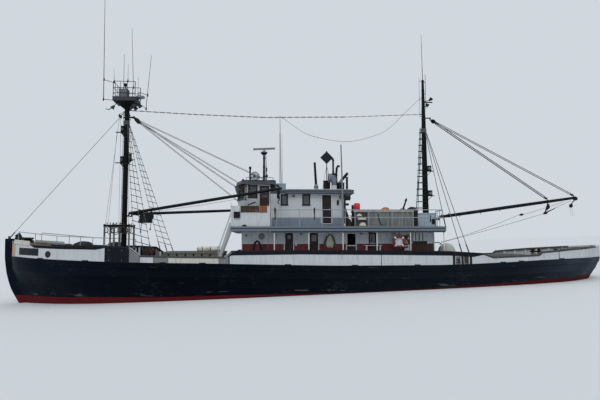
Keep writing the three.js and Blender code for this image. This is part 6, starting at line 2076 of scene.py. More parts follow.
class Foremast:
    """Foremast with its lanterns, masthead irons, pin rail and the ropes belayed there."""

    mast = Mast("foremast", FOREMAST_X, ((1.95, 0.1785), (12.447, 0.158)),
                (2.9, 4.34, 6.085, 8.36, 10.42, 11.0, 11.72))
    POSTS = (11.70, 12.65, 13.25)      # x of the pin rail's posts

    def lanterns(self) -> None:
        """Three lanterns on their shelves, and the pipe that holds their cable."""
        cages, glasses, shelves, mast = Shape(), Shape(), Shape(), self.mast.x
        for facing, z, reach in ((1, 10.49, 0.69), (1, 8.44, 0.68), (-1, 8.62, 0.46)):
            for whole, part in zip((cages, glasses),
                                   lantern((mast + facing * 0.245, 0, z + 0.001), 0.138, 0.425)):
                whole.join(part)
            near, far = mast + facing * 0.12, mast + facing * reach
            shelves.block((min(mast, far), -0.11, z - 0.035), (max(mast, far), 0.11, z))
            shelves.plate([(near, -0.02, z - 0.38), (near + facing * 0.28, -0.02, z - 0.03),
                           (near, -0.02, z - 0.03)],
                          TO_PORT * 0.04)
        cages.piece("foremast_lanterns", BLACK_IRON, crease=45)
        glasses.piece("foremast_lantern_glass", GLASS)
        shelves.piece("foremast_shelves", BLACK_IRON, bevel=0.004)
        pipe = Shape().pipe([(mast + 0.205, 0.05, z) for z in steps(2.3, 11.9, 1.2)], 0.018, 8)
        for z in steps(2.6, 11.6, 1.8):
            pipe.block((mast + 0.10, 0.02, z), (mast + 0.22, 0.08, z + 0.04))
        pipe.piece("foremast_cable_pipe", GREY_TRIM)

    def masthead(self) -> None:
        """Crosstree plates, lug straps and the halyards with their blocks under the lookout."""
        irons = blocks(((12.02, -0.33, 11.36), (12.34, -0.27, 11.44)),
                       ((12.02, 0.27, 11.36), (12.34, 0.33, 11.44)),
                       ((12.14, -0.34, 11.36), (12.22, 0.34, 11.44)))
        irons.bar((12.26, 0, 11.90), (12.36, 0, 11.83), 0.035)
        irons.bar((12.06, 0, 11.98), (11.86, 0, 11.96), 0.035)
        irons.piece("foremast_head_irons", BLACK_IRON, bevel=0.004)
        tackle, lines = Shape(), Shape()
        for x, y in ((12.62, 0.16), (12.62, -0.16), (11.95, 0.34)):
            tackle.join(pulley((x, y, 11.55), UP, 0.16))
            tackle.bar((x, y, 11.67), (lerp(x, 12.18, 0.75), y * 0.4, 11.90), 0.012, sides=6)
        tackle.piece("halyard_blocks", BLACK_IRON)
        for a, b in (((12.62, 0.16, 11.5), (13.2, 0.62, 4.3)), ((12.62, -0.16, 11.5), (12.7, -0.62, 4.3)),
                     ((11.95, 0.34, 11.5), (11.74, 0.62, 4.3)), ((12.80, 0.02, 10.44), (13.04, 0.60, 4.3))):
            lines.pipe([a, b], 0.009, 5)
        lines.piece("halyards", DARK_ROPE)

    def pin_rail(self) -> None:
        """Round posts, rounded rails with belaying pins, and the coils hung on them."""
        posts = blocks(((11.62, 0.545, 4.165), (13.33, 0.695, 4.18)),
                       ((11.62, 0.545, 4.29), (13.33, 0.695, 4.305)))
        for x in self.POSTS:
            posts.bar((x, 0.62, FORM.deck_z(x)), (x, 0.62, 4.22), 0.062, 0.058, 16)
            posts.spin([(0, 0), (0.08, 0), (0.08, 0.03), (0.05, 0.06), (0, 0.065)], (x, 0.62, 4.29),
                       sides=16)
        posts.both().piece("pin_rail_posts", STAINED_WOOD, bevel=0.008)
        pins, coils, rng = Shape(), Shape(), random.Random(31)
        for k, x in enumerate(steps(11.86, 13.1, 0.21)):
            pins.spin(((0, -0.20), (0.013, -0.19), (0.013, 0.03), (0.026, 0.05), (0.022, 0.16), (0, 0.18)),
                      (x, 0.62, 4.29), sides=10)
            z = 3.98 + rng.uniform(-0.05, 0.05)
            coils.join(coil((x, 0.70, z), TO_PORT, 0.15 + 0.05 * (k % 2), 3, 0.013, k))
        pins.both().piece("belaying_pins", WOOD_DARK)
        coils.both().piece("belayed_coils", DARK_ROPE)

    def build(self) -> None:
        """Builds the foremast's pieces."""
        self.mast.build()
        self.lanterns()
        self.masthead()
        self.pin_rail()


class Lookout:
    """Lookout on the foremast: tapered floor, instruments, flood lamps and the flat aerial."""

    FORE, AFT, HALF, TOP = 12.95, 11.48, 0.74, 13.73

    def floor(self) -> None:
        """Underside that tapers to the mast, toe boards and thin posts between the corners."""
        fore, aft, half = self.FORE, self.AFT, self.HALF
        under = Shape().grid([[(x, y, z) for x, y in ((a, -h), (b, -h), (b, h), (a, h))] for a, b, h, z in (
            (12.02, 12.34, 0.16, 12.02), (11.62, 12.80, 0.60, 12.42), (11.495, 12.935, 0.735, 12.449))])
        under.piece("lookout_underside", BLACK_IRON, bevel=0.01)
        edge = blocks(*(((aft - 0.004, y - 0.004, 12.44), (fore + 0.004, y + 0.016, 12.72))
                        for y in (-half, half - 0.012)),
                      *(((x, -half, 12.44), (x + 0.016, half, 12.72)) for x in (aft - 0.004, fore - 0.012)))
        edge.piece("lookout_toe_boards", WEATHERED_IRON, bevel=0.004)
        posts, front = Shape(), fore - 0.03
        for x, y in ((12.46, half - 0.03), (12.46, 0.03 - half), (front, -0.24), (front, 0.24)):
            posts.bar((x, y, 12.6), (x, y, self.TOP), 0.016, sides=8)
        posts.piece("lookout_posts", WEATHERED_IRON)

    def instruments(self) -> None:
        """Louvred cabinet, camera on its stalk, and the flat aerial."""
        cabinet = blocks(((12.115, -0.265, 12.62), (12.705, 0.265, 12.66)),
                         ((12.11, -0.27, 13.33), (12.71, 0.27, 13.375)),
                         *(((12.16, y, z), (12.66, y + 0.016, z + 0.045))
                           for z in (12.72 + k * 0.068 for k in range(9)) for y in (-0.262, 0.246)),
                         *(((x, y, 12.66), (x + 0.03, y + 0.03, 13.33)) for x in (12.125, 12.665)
                           for y in (-0.268, 0.238)))
        cabinet.piece("instrument_cabinet", LAMP_GREY, bevel=0.004)
        camera = Shape().bar((12.28, 0.2, 13.37), (12.28, 0.2, 13.56), 0.03)
        camera.spin([(0, -0.12), (0.07, -0.11), (0.11, -0.04), (0.12, 0.03), (0.08, 0.1), (0, 0.12)],
                    (12.28, 0.2, 13.64))
        camera.piece("lookout_camera", BLACK_IRON)
        dish = Shape().spin([(0, 12.732), (0.29, 12.738), (0.30, 12.77), (0.27, 12.82), (0.16, 12.85),
                             (0, 12.86)],
                            (11.26, 0.30, 0), sides=32)
        dish.bar((11.26, 0.30, 12.56), (11.26, 0.30, 12.75), 0.045)
        dish.piece("flat_aerial", LAMP_GREY, crease=50)

    def lamps(self) -> None:
        """Flood lamps under the floor, and the stalk ahead of them."""
        lamps = Shape()
        for x, y, z, turn in ((13.05, 0.25, 12.10, 1), (11.62, 0.42, 12.22, -1), (11.35, 0.05, 12.28, -1),
                              (11.72, -0.3, 12.20, -1)):
            out = Vector((0.62 * turn, 0, -0.78)).normalized()
            lamps.spin(((0, -0.16), (0.06, -0.15), (0.09, -0.05), (0.14, 0.06), (0.15, 0.10), (0.13, 0.10),
                        (0, 0.04)),
                       (x, y, z), out, 18)
            lamps.bar((x, y, z), (lerp(x, 12.18, 0.35), y, 12.46), 0.02, sides=8)
        lamps.bar((13.05, 0.25, 12.10), (13.30, 0.25, 11.95), 0.03)
        lamps.bar((13.30, 0.25, 11.95), (13.52, 0.25, 11.98), 0.024)
        lamps.piece("lookout_flood_lamps", WEATHERED_IRON, crease=50)

    def aerial_feet(self) -> None:
        """Clamps and loading coils at the feet of the whip aerials."""
        shape = Shape()
        for foot in ((13.66, 0.30, 12.62), (13.66, 0.30, 13.95), (12.92, 0.50, 13.72), (12.45, 0.0, 13.36),
                     (11.99, -0.71, 13.74), (11.99, 0.71, 13.74), (11.51, 0, 12.62), (11.0, -0.30, 12.16),
                     (10.92, -0.30, 13.09)):
            shape.spin([(0, -0.07), (0.045, -0.07), (0.05, 0.0), (0.035, 0.08), (0.02, 0.16), (0, 0.16)],
                       foot, sides=12)
        shape.piece("aerial_clamps", BLACK_IRON)

    def build(self) -> None:
        """Builds the lookout's pieces."""
        self.floor()
        self.instruments()
        self.lamps()
        self.aerial_feet()


class Mainmast:
    """Mainmast with its steps, lanterns, head lamps and small pole."""

    mast = Mast("mainmast", MAINMAST_X,
                ((1.78, 0.2085), (5.0, 0.2085), (8.0, 0.18), (11.0, 0.15), (14.335, 0.0785)),
                (4.9, 5.6, 8.6, 10.9, 11.65, 12.2, 13.6))

    def steps_up(self) -> None:
        """A step every 0.43 m from the mast out to the rails of the ladder."""
        shape = Shape()
        for z in (5.45 + 0.434 * k for k in range(13)):
            rise, near = (z - 5.2) / 5.8, self.mast.x + self.mast.radius(z) * 0.5
            far, half = lerp(-7.38, -7.74, rise) + 0.06, lerp(0.18, 0.11, rise)
            shape.pipe([(near, half, z), (far, half, z), (far, -half, z), (near, -half, z)], 0.021, 8)
        shape.piece("mast_steps", WEATHERED_IRON)

    def lamps(self) -> None:
        """Stern-facing lanterns on shelves, flood lamps and small poles at the head."""
        cages, glasses, irons, mast = Shape(), Shape(), Shape(), self.mast.x
        for z, reach in ((8.0, 0.44), (6.3, 0.47)):
            for whole, part in zip((cages, glasses),
                                   lantern((mast - reach + 0.12, 0, z + 0.001), 0.155, 0.365)):
                whole.join(part)
            irons.block((mast - reach - 0.14, -0.12, z - 0.035), (mast, 0.12, z))
            irons.beam((mast - 0.15, 0, z - 0.32), (mast - reach, 0, z - 0.03), 0.05, 0.03)
        cages.piece("mainmast_lanterns", BLACK_IRON, crease=45)
        glasses.piece("mainmast_lantern_glass", LAMP_GREY)
        for x, z, tip_x, tip_z in ((-8.50, 13.02, -8.66, 13.16), (-8.26, 12.62, -8.40, 12.50)):
            out = Vector((tip_x - x, 0, tip_z - z)).normalized()
            irons.spin(((0, -0.14), (0.06, -0.13), (0.08, -0.04), (0.125, 0.06), (0.13, 0.1), (0, 0.1)),
                       (x, 0, z), out, 18)
            irons.bar((mast, 0, z - 0.2), (x, 0, z), 0.022, sides=8)
        irons.bar((-8.16, 0, 12.3), (-8.16, 0, 14.8), 0.016, sides=8)
        for z in (12.5, 13.4, 14.2):
            irons.block((-8.18, -0.02, z), (mast, 0.02, z + 0.03))
        irons.spin([(0, 0), (0.10, 0), (0.10, 0.05), (0.08, 0.10), (0, 0.12)], (mast, 0, 14.28), sides=20)
        irons.bar((mast, 0, 11.96), (mast + 0.26, 0, 11.97), 0.03)
        irons.piece("mainmast_irons", BLACK_IRON, bevel=0.003)
        rod = Shape().bar((-7.72, 0, 11.7), (-7.72, 0, 14.6), 0.016, sides=8)
        for z in (11.8, 13.1, 14.3):
            rod.block((-7.98, -0.018, z), (-7.71, 0.018, z + 0.03))
        rod.piece("mainmast_rod", GREY_IRON)

    def build(self) -> None:
        """Builds the mainmast's pieces."""
        self.mast.build()
        self.steps_up()
        self.lamps()


@dataclass
class Boom:
    """Cargo boom with its gooseneck, bands, wire lifts and blocks, all on one body."""

    body: str
    axis: tuple[Vector, Vector]
    tip: Vector
    thick: tuple[tuple[float, float], ...]      # share of the length and radius
    lifts: tuple[tuple[float, float], ...]      # share at which a lift holds the boom, half its width
    root: float                                 # how far the spar's foot is above the heel pin

    def place(self, share: float) -> Vector:
        """Point of the spar's centre line."""
        heel, head = self.axis
        foot = heel + (head - heel).normalized() * self.root
        return foot.lerp(self.tip, share)

    def spar(self) -> None:
        """The spar with its bands, pin and masthead eye."""
        radius, shares = Fair(self.thick), steps(0, 1, 0.03)
        spar = Shape().pipe([self.place(t) for t in shares], [radius(t) for t in shares], 20)
        spar.piece(f"{self.body}_spar", BOOM_PAINT, self.body, crease=60, replaces=[self.body])
        (heel, head), irons = self.axis, Shape()
        along, out = (head - heel).normalized(), (self.tip - self.place(0)).normalized()
        for end, inwards in ((heel, along), (head, -along)):
            irons.bar(end + inwards * 0.0005, end + inwards * 0.09, 0.045, sides=20)
        for t in (0.02, 0.07, *(share for share, _ in self.lifts)):
            crown = self.place(t) + UP * radius(t)
            irons.join(hoop(self.place(t), radius(t), 0.10, out)).beam(crown, crown + UP * 0.08, 0.07, 0.03)
        irons.piece(f"{self.body}_irons", BLACK_IRON, self.body, bevel=0.003)

    def wires(self) -> None:
        """The lifts: two parts of wire with a block at each end."""
        heel, head = self.axis
        start = head - (head - heel).normalized() * 0.06
        radius, rope, tackle = Fair(self.thick), Shape(), Shape()
        for share, half in self.lifts:
            end = self.place(share) + UP * (radius(share) + 0.06)
            out = (end - start).normalized()
            top, foot = start + out * 0.44, end - out * 0.20
            tackle.join(pulley(start + out * 0.24, out, 0.27)).join(pulley(end - out * 0.12, out, 0.16))
            tackle.bar(start, start + out * 0.08, 0.024, sides=8)
            rise = out.cross(TO_PORT).normalized() * half
            for offset in (rise, -rise):
                rope.pipe([top + offset, foot + offset], 0.024 if self.body == "aft_boom" else 0.015, 6)
            if half > 0.05:
                rope.join(twisted(top, foot, half, 0.24, 0.012))
        rope.piece(f"{self.body}_lifts", WIRE_ROPE, self.body)
        tackle.piece(f"{self.body}_lift_blocks", BLACK_IRON, self.body)

    def build(self) -> None:
        """Builds the boom and its lifts."""
        self.spar()
        self.wires()


class Booms:
    """The two fore booms, the aft boom and the tackles that hang from them."""

    SPAR = ((0.0, 0.84), (0.12, 0.97), (0.45, 1.0), (0.8, 0.9), (1.0, 0.78))

    def spars(self) -> dict[str, Boom]:
        """The three booms by body."""
        fore_lifts = ((0.76, 0.028), (0.985, 0.028))
        return {body: Boom(body, axis, Vector(tip),
                           tuple((share, radius * part) for share, part in self.SPAR), lifts, radius + 0.006)
                for body, axis, tip, radius, lifts in (
                    ("fore_boom_port", FORE_AXIS, (1.93, 2.9, 6.45), 0.10, fore_lifts),
                    ("fore_boom_starboard", tuple(map(other_side, FORE_AXIS)), (1.9, -2.9, 5.58), 0.095,
                     fore_lifts),
                    ("aft_boom", AFT_AXIS, (-18.64, 0, 6.19), 0.115, ((0.79, 0.062), (0.985, 0.046))))}

    def fore_gear(self, port: Boom) -> None:
        """Hook block at the tip, purchase blocks near the heel, and the runner of the port boom."""
        tackle, lines = Shape(), Shape()
        tip = port.place(0.992)
        y = tip.y
        tackle.join(pulley(tip - UP * 0.26 + FORWARD * 0.12, UP,
                           0.26)).join(pulley((2.14, y, 5.92), Vector((0.35, 0, 1)), 0.24))
        tackle.bar((2.08, y, 5.78), (2.16, y, 5.60), 0.03)
        tackle.pipe([(2.16, y, 5.62), (2.17, y, 5.54), (2.12, y, 5.49), (2.06, y, 5.53)], 0.022, 8)
        for d in (-0.03, 0.03):
            lines.pipe([(2.06 + d, y, 6.14), (2.10 + d, y, 6.0)], 0.009, 5)
        for share, drop in ((0.09, 0.36), (0.125, 0.30), (0.155, 0.42)):
            at = port.place(share)
            tackle.join(pulley(at - UP * (drop + 0.02), UP, 0.34))
            tackle.bar(at - UP * 0.08, at - UP * (drop - 0.22), 0.016, sides=6)
        for share, length in ((0.09, 0.62), (0.155, 0.55)):
            at = port.place(share)
            foot = at - UP * (0.72 + length) + FORWARD * 0.06
            lines.pipe(sagging(at - UP * 0.66, foot, 0.0, 0.12), 0.022, 6)
            lines.spin([(0, -0.06), (0.04, -0.05), (0.05, 0.0), (0.04, 0.05), (0, 0.06)], foot)
        lines.pipe([port.place(share) - UP * (0.13 + 0.10 * math.sin(math.pi * k / 8))
                    for k, share in enumerate(steps(0.14, 0.97, 0.105))], 0.010, 5)
        tackle.join(heap((10.66, 0.63, 4.42), (0.46, 0.24, 0.50)))
        tackle.piece("fore_boom_port_blocks", BLACK_IRON, "fore_boom_port")
        lines.piece("fore_boom_port_runner", DARK_ROPE, "fore_boom_port")

    def aft_head(self, tackle: Shape, lines: Shape) -> None:
        """Head sheave of the aft boom, with the ball and hook that hang from it."""
        end, ball = Vector((-18.60, 0, 6.12)), Vector((-18.27, 0, 5.62))
        tackle.spin([(0, -0.05), (0.13, -0.05), (0.11, 0), (0.13, 0.05), (0, 0.05)], end, TO_PORT, 22)
        for y in (-0.075, 0.055):
            tackle.plate([(x, y, z) for x,
                          z in ((-18.72, 6.22), (-18.46, 6.26), (-18.42, 6.08), (-18.62, 5.98),
                                                 (-18.74, 6.06))], TO_PORT * 0.02)
        tackle.spin([(0, -0.13), (0.07, -0.12), (0.12, -0.05), (0.13, 0.02), (0.09, 0.1), (0.03, 0.15),
                     (0, 0.15)],
                    ball, Vector((-0.5, 0, 0.86)).normalized(), 20)
        lines.pipe([ball + UP * 0.1, end - UP * 0.1 + FORWARD * 0.06], 0.035, 6)
        for d in (-0.07, 0.09):
            lines.pipe([ball + FORWARD * d * 0.4, ball + FORWARD * (d - 0.06) - UP * 0.72], 0.006, 5)

    def aft_gear(self, boom: Boom) -> None:
        """The purchase under the aft boom, its runner and the eye that it is led from."""
        tackle, lines = Shape(), Shape()
        self.aft_head(tackle, lines)
        upper, lower, fixed = Vector((-16.62, 0, 5.52)), Vector((-16.42, 0, 5.12)), Vector((-8.99, 0, 3.10))
        for centre, pull, size in ((upper, (-0.35, 0, 1), 0.24), (lower, (-0.9, 0, 0.42), 0.22),
                                   ((-14.70, 0, 5.0), (-1.0, 0, 0.28), 0.18)):
            tackle.join(pulley(centre, Vector(pull), size))
        tackle.bar(lower + Vector((-0.15, 0, 0.07)), lower + Vector((-0.75, 0, 0.35)), 0.04, 0.02)
        tackle.bar(upper + UP * 0.25, lower + UP * 0.1, 0.045)
        for a, b, drop in ((lower, fixed, 0.05), ((-14.6, 0, 5.02), fixed + UP * 0.03, 0.12),
                           ((-18.3, 0, 5.98), (-16.5, 0, 5.2), 0.0),
                           ((-17.8, 0, 5.92), (-14.75, 0, 4.98), 0.03)):
            lines.pipe(sagging(a, b, drop, 0.6), 0.012, 5)
        for share in (0.15, 0.3, 0.44):
            at = boom.place(share)
            tackle.bar(at - UP * 0.09, at - UP * 0.20, 0.02, sides=8)
        tackle.piece("aft_boom_blocks", BLACK_IRON, "aft_boom")
        lines.piece("aft_boom_tackle", WIRE_ROPE, "aft_boom")
        eye = hoop((MAINMAST_X, 0, 3.1), 0.2085, 0.12).bar((-8.17, 0, 3.1), (-8.90, 0, 3.1), 0.03)
        eye.spin([(0, -0.09), (0.06, -0.09), (0.06, 0.0), (0, 0.0)], (-8.95, 0, 3.06))
        eye.piece("mast_heel_eye", BLACK_IRON, bevel=0.004)

    def build(self) -> None:
        """Builds the booms and their gear."""
        booms = self.spars()
        for boom in booms.values():
            boom.build()
        self.fore_gear(booms["fore_boom_port"])
        self.aft_gear(booms["aft_boom"])


class Rigging:
    """Shrouds with their rungs, stays and the slack line between the masts."""

    FORE_FEET = ((10.56, 3.70, 2.62), (9.56, 3.70, 2.33))
    MAIN_FEET = ((-8.135, 3.40, 4.085), (-9.00, 3.70, 2.50), (-9.45, 3.70, 2.47))

    def shrouds(self, name: str, mast: Mast, top: float, feet: Sequence[Point], rungs: float) -> None:
        """Wires from a mast down both sides, with rungs across them if rungs, their pitch, isn't 0.

        Args:
            name: the node that they stand for.
            mast: the mast.
            top: height of their eyes.
            feet: their feet on the port side.
            rungs: pitch of the rungs.
        """
        wires, bars, screws = Shape(), Shape(), Shape()
        head = Vector((mast.x, 0.03, top))
        middle = [(Vector(feet[0]) + Vector(feet[-1])) / 2] if rungs else []
        for foot in (*feet, *middle):
            foot = Vector(foot)
            start = head.lerp(foot, (mast.radius(top) * 0.7) / (foot - head).length)
            wires.pipe([start, foot], 0.014 if rungs else 0.021, 8)
            along = (head - foot).normalized()
            screws.bar(foot, foot + along * 0.10, 0.03, 0.03, 10)
            for a, b in ((0.10, 0.22), (0.44, 0.56)):
                screws.bar(foot + along * a, foot + along * b, 0.034, sides=10)
            for d in (-0.028, 0.028):
                screws.beam(foot + along * 0.16 + FORWARD * d, foot + along * 0.5 + FORWARD * d, 0.02, 0.014)
            screws.bar(foot + along * 0.56, foot + along * 0.95, 0.020, sides=8)
        if rungs:
            span = (head - Vector(feet[0])).length
            for t in steps(0.055, 0.93, rungs / span):
                a, b = (head.lerp(Vector(foot), t) for foot in (feet[0], feet[-1]))
                past = (b - a).normalized() * 0.05
                bars.beam(a - past, b + past, 0.035, 0.045, UP)
            bars.both().piece("ratlines", BLACK_IRON)
        wires.both()
        wires.join(hoop((mast.x, 0, top - 0.34), mast.radius(top), 0.28, thick=0.03))
        wires.piece(f"{name}_wires", WIRE_ROPE, replaces=[name])
        screws.both().piece(f"{name}_screws", BLACK_IRON)

    def stays(self) -> None:
        """Forestay, the doubled stay between the mastheads and the slack line."""
        stay = Shape().pipe([(12.33, 0, 11.84), (19.42, 0, 3.46)], 0.014, 8)
        stay.block((19.34, -0.03, 3.431), (19.50, 0.03, 3.59))
        stay.piece("forestay_wire", WIRE_ROPE, replaces=["forestay"])
        screw = Shape().bar((19.34, 0, 3.553), (19.10, 0, 3.837), 0.036, sides=12)
        screw.piece("forestay_screw", BLACK_IRON)
        line = [(12.04, 11.957), (7.6, 11.74), (3.0, 11.60), (-2.5, 11.70), (-7.86, 11.955)]
        stay = Shape().pipe([(x, 0, z) for x, z in line], 0.013, 6)
        for (x0, z0), (x1, z1) in zip(line, line[1:]):
            wound = twisted((x0, 0, z0), (x1, 0, z1), 0.028 if x0 > 2.9 else 0.014, 0.9, 0.010, 2)
            stay.join(wound)
        stay.piece("triatic_wires", WIRE_ROPE, replaces=["triatic_stay"])
        route = Fair([(-7.62, 12.97), (-7.0, 12.35), (-4.9, 10.55), (-2.48, 9.98), (-0.2, 10.35),
                      (1.95, 11.66)])
        slack = Shape().pipe([(x, 0.05, route(x)) for x in steps(-7.62, 1.95, 0.3)], 0.011, 5)
        slack.pipe([(-7.9, 0.0, 12.99), (-7.62, 0.05, 12.97)], 0.012, 5)
        slack.piece("slack_line", DARK_ROPE)

    def build(self) -> None:
        """Builds the standing rigging."""
        self.shrouds("fore_shrouds", Foremast.mast, 11.45, self.FORE_FEET, 0.47)
        self.shrouds("main_shrouds", Mainmast.mast, 11.15, self.MAIN_FEET, 0.0)
        self.stays()


class RoofGear:
    """Exhaust, pipes, cowl, day shape and the casing on the cabin roof, and the radar."""

    RADAR_X = 3.04

    def exhaust(self) -> None:
        """The exhaust with its lagging, sleeve and rain cap."""
        foot, head = Vector((-0.44, 0.60, 6.43)), Vector((-0.33, 0.60, 8.44))
        axis = (head - foot).normalized()

        def at(z: float) -> Vector:
            """Point of the exhaust's centre line."""
            return foot.lerp(head, (z - foot.z) / (head.z - foot.z))
        shape = Shape().pipe([at(z) for z in steps(6.44, 8.44, 0.25)],
                             [lerp(0.089, 0.074, k / 8) for k in range(9)], 28)
        shape.spin([(0.135, 0), (0.135, 0.30), (0.115, 0.40), (0.085, 0.43), (0, 0.43)], foot + axis * 0.005,
                   axis, 28)
        shape.join(hoop(at(6.62), 0.142, 0.03, axis)).join(hoop(at(6.80), 0.142, 0.03, axis))
        shape.spin([(0.072, 0.0), (0.096, 0.0), (0.096, 0.03), (0.072, 0.03), (0.072, 0)], at(8.39), axis)
        shape.piece("exhaust_pipe", BLACK_IRON, crease=50)
        sleeve = Shape().spin([(0.142, 0), (0.142, 0.30), (0.12, 0.40), (0.10, 0.44), (0.06, 0.44)],
                              at(6.52), axis)
        sleeve.piece("exhaust_sleeve", LAMP_GREY)

    def pipes(self) -> None:
        """The pipes, tilted pipe and drum abaft the exhaust."""
        pipes = Shape().pipe([*((-1.58, 0.50, z) for z in steps(6.5, 8.66, 0.6)), (-1.55, 0.5, 8.72),
                              (-1.48, 0.5, 8.735), (-1.17, 0.5, 8.735)], 0.062, 16)
        for z in (7.0, 7.8, 8.6):
            pipes.join(hoop((-1.58, 0.5, z), 0.064, 0.05))
        pipes.pipe([(-2.49, 0.56, z) for z in (6.44, 6.9, 7.47)], 0.073, 20)
        pipes.spin([(0.05, 0), (0.10, 0.0), (0.10, 0.03), (0.05, 0.05), (0.05, 0)], (-2.49, 0.56, 7.43))
        pipes.pipe([(-1.95, 0.56, 7.04), (-2.54, 0.56, 7.74)], 0.092, 18)
        pipes.join(hoop((-2.50, 0.56, 7.693), 0.076, 0.05, Vector((-0.644, 0, 0.765)), 0.016))
        pipes.pipe([(x, 0.82, z) for x, z in ((-1.66, 6.5), (-1.74, 7.6), (-1.78, 8.05), (-1.86, 8.18),
                                              (-1.98, 8.16))],
                   0.075, 12)
        pipes.piece("roof_pipes", BLACK_IRON, crease=50)
        tail = Shape().pipe([(-1.92, 0.562, 7.005), (-2.12, 0.562, 7.24)], 0.098, 18)
        tail.piece("tilted_pipe_foot", LAMP_GREY, crease=50)
        foot, head = Vector((-1.75, 0.25, 6.44)), Vector((-1.66, 0.25, 7.70))
        drum = Shape().pipe([(-1.75, 0.25, 6.45), head], 0.2125, 28)
        for share in (0.06, 0.5, 0.96):
            drum.join(hoop(foot.lerp(head, share), 0.212, 0.03, Vector((0.072, 0, 0.997)), 0.008))
        drum.join(heap((-1.64, 0.25, 7.60), (0.28, 0.26, 0.18))).piece("roof_drum", CASING_NAVY, crease=50)

    def cowl(self) -> None:
        """Cowl with a round bend and a flared mouth, a dark disc of painted shade inside it, on the body
        that turns.
        """
        x, y, z = -1.54, 1.25, 7.34
        turn = [math.pi / 2 * k / 14 for k in range(15)]
        path = [(x + 0.30 * (1 - math.cos(a)), y, 7.10 + 0.24 * math.sin(a)) for a in turn]
        hood = Shape().pipe([*path, (x + 0.335, y, z), (x + 0.365, y, z)],
                            [*(lerp(0.165, 0.235, k / 14) for k in range(15)), 0.27, 0.302], 32)
        hood.spin([(0.152, 0.0), (0.152, 0.62), (0.175, 0.66), (0.175, 0.70), (0.152, 0.70)], (x, y, 6.46))
        hood.piece("cowl_hood", COWL_GREY, "cowl_vent", crease=60)
        rim = Shape().pipe(circle((x + 0.367, y, z), TO_PORT * 0.297, UP * 0.297, 0.2), 0.014, 8,
                           closed=True)
        rim.piece("cowl_rim", WHITE_FLAT, "cowl_vent")
        # painted shade: a dark disc in the mouth stands for the shaded throat
        inside = Shape().spin([(0, 0.0), (0.20, 0.0), (0.285, 0.02), (0.285, 0.022), (0, 0.022)],
                              (x + 0.36, y, z), FORWARD)
        inside.piece("cowl_throat_shade", SHADE_INSIDE, "cowl_vent")
        base = Shape().spin([(0.176, 0), (0.20, 0.0), (0.20, 0.03), (0.176, 0.05), (0.174, 0.40),
                             (0.10, 0.40)],
                            (x, y, 6.432), sides=28)
        base.piece("cowl_base", WHITE_FLAT, crease=50)

    def casing(self) -> None:
        """Lids of the engine casing, and the pins and stays of the diamond."""
        trim = blocks(*(((x0 - 0.015, y0 - 0.015, z - 0.03), (x1 + 0.015, y1 + 0.015, z + 0.012))
                        for x0, x1, y0, y1,
                        z in ((-2.30, -0.25, 0.20, 1.40, 6.51), (-1.34, -0.92, 0.35, 0.80, 7.20),
                                                  (-2.28, -1.90, 0.35, 0.80, 7.07))))
        trim.piece("casing_lids", CASING_NAVY, bevel=0.006)
        tie = Shape().spin([(0, 0), (0.034, 0), (0.034, 0.05), (0, 0.06)], (-1.10, 0.9, 9.12))
        for z in (8.34, 9.08):
            tie.bar((-1.10, 0.9, z), (-1.10, 0.93, z), 0.03)
        for foot in ((-0.72, 1.6, 6.5), (-1.40, 1.38, 6.5)):
            tie.pipe([(-1.10, 0.9, 8.20), foot], 0.009, 5)
        tie.piece("day_shape_stays", BLACK_IRON)

    def radar(self) -> None:
        """Mast, gearbox and cables of the radar."""
        x = self.RADAR_X
        mast = Shape().pipe([(x, 0, z) for z in steps(7.06, 8.99, 0.4)],
                            [lerp(0.079, 0.064, k / 5) for k in range(6)], 24)
        mast.spin([(0, 0.001), (0.184, 0.001), (0.184, 0.03), (0.10, 0.05), (0.079, 0.09), (0, 0.09)],
                  (x, 0, 7.05))
        for out in circle((0, 0, 0), FORWARD + TO_PORT, TO_PORT - FORWARD, math.pi / 2):
            out.normalize()
            inner, outer = Vector((x, 0, 7.08)) + out * 0.07, Vector((x, 0, 7.08)) + out * 0.175
            mast.plate([inner + UP * 0.22, inner, outer], UP.cross(out) * 0.012)
        for z in (7.55, 8.2, 8.8):
            mast.join(hoop((x, 0, z), 0.078, 0.05))
        mast.piece("radar_mast_pole", MAST_PAINT, crease=50)
        head = Shape().spin([(0.066, -0.02), (0.095, 0.0), (0.235, 0.20), (0.237, 0.246), (0.10, 0.249),
                             (0, 0.249)],
                            (x, 0, 8.98), sides=28)
        head.piece("radar_gearbox", LAMP_GREY, crease=50)
        cable = blocks(((2.78, -0.07, 7.50), (2.94, 0.07, 7.68))).bar((2.88, 0, 7.9), (2.88, 0, 8.15), 0.06)
        for k, (aft, radius) in enumerate(((0.10, 0.018), (0.13, 0.014), (0.155, 0.02))):
            cable.pipe([(x - aft - 0.03 * math.sin(1.7 * z + k), 0.03 * math.cos(2.1 * z + k), z)
                        for z in steps(7.1, 8.95, 0.12)], radius, 6)
        cable.piece("radar_cables", RUBBER)

    def scanner(self) -> None:
        """Open scanner bar of the radar, on the body that turns."""
        turn = Matrix.Translation((self.RADAR_X, 0, 0)) @ Matrix.Rotation(math.radians(-14), 4, "Z")
        ring = ((-0.063, 9.40), (-0.063, 9.47), (-0.04, 9.483), (0.04, 9.483), (0.063, 9.47), (0.063, 9.40),
                (0.04, 9.378), (-0.04, 9.378))
        rows = [[(y, x * shrink, lerp(9.43, z, shrink)) for x, z in ring]
                for y, shrink in ((-0.753, 0.6), (-0.74, 1.0), (0.74, 1.0), (0.753, 0.6))]
        Shape().grid(rows).moved(turn).piece("scanner_cover", GREY_TRIM, "radar_scanner", crease=50)
        stem = Shape().spin([(0.073, 9.24), (0.09, 9.26), (0.09, 9.32), (0.073, 9.34), (0.073, 9.385),
                             (0, 9.385), (0, 9.24)], (self.RADAR_X, 0, 0))
        stem.piece("scanner_stem", GREY_IRON, "radar_scanner")

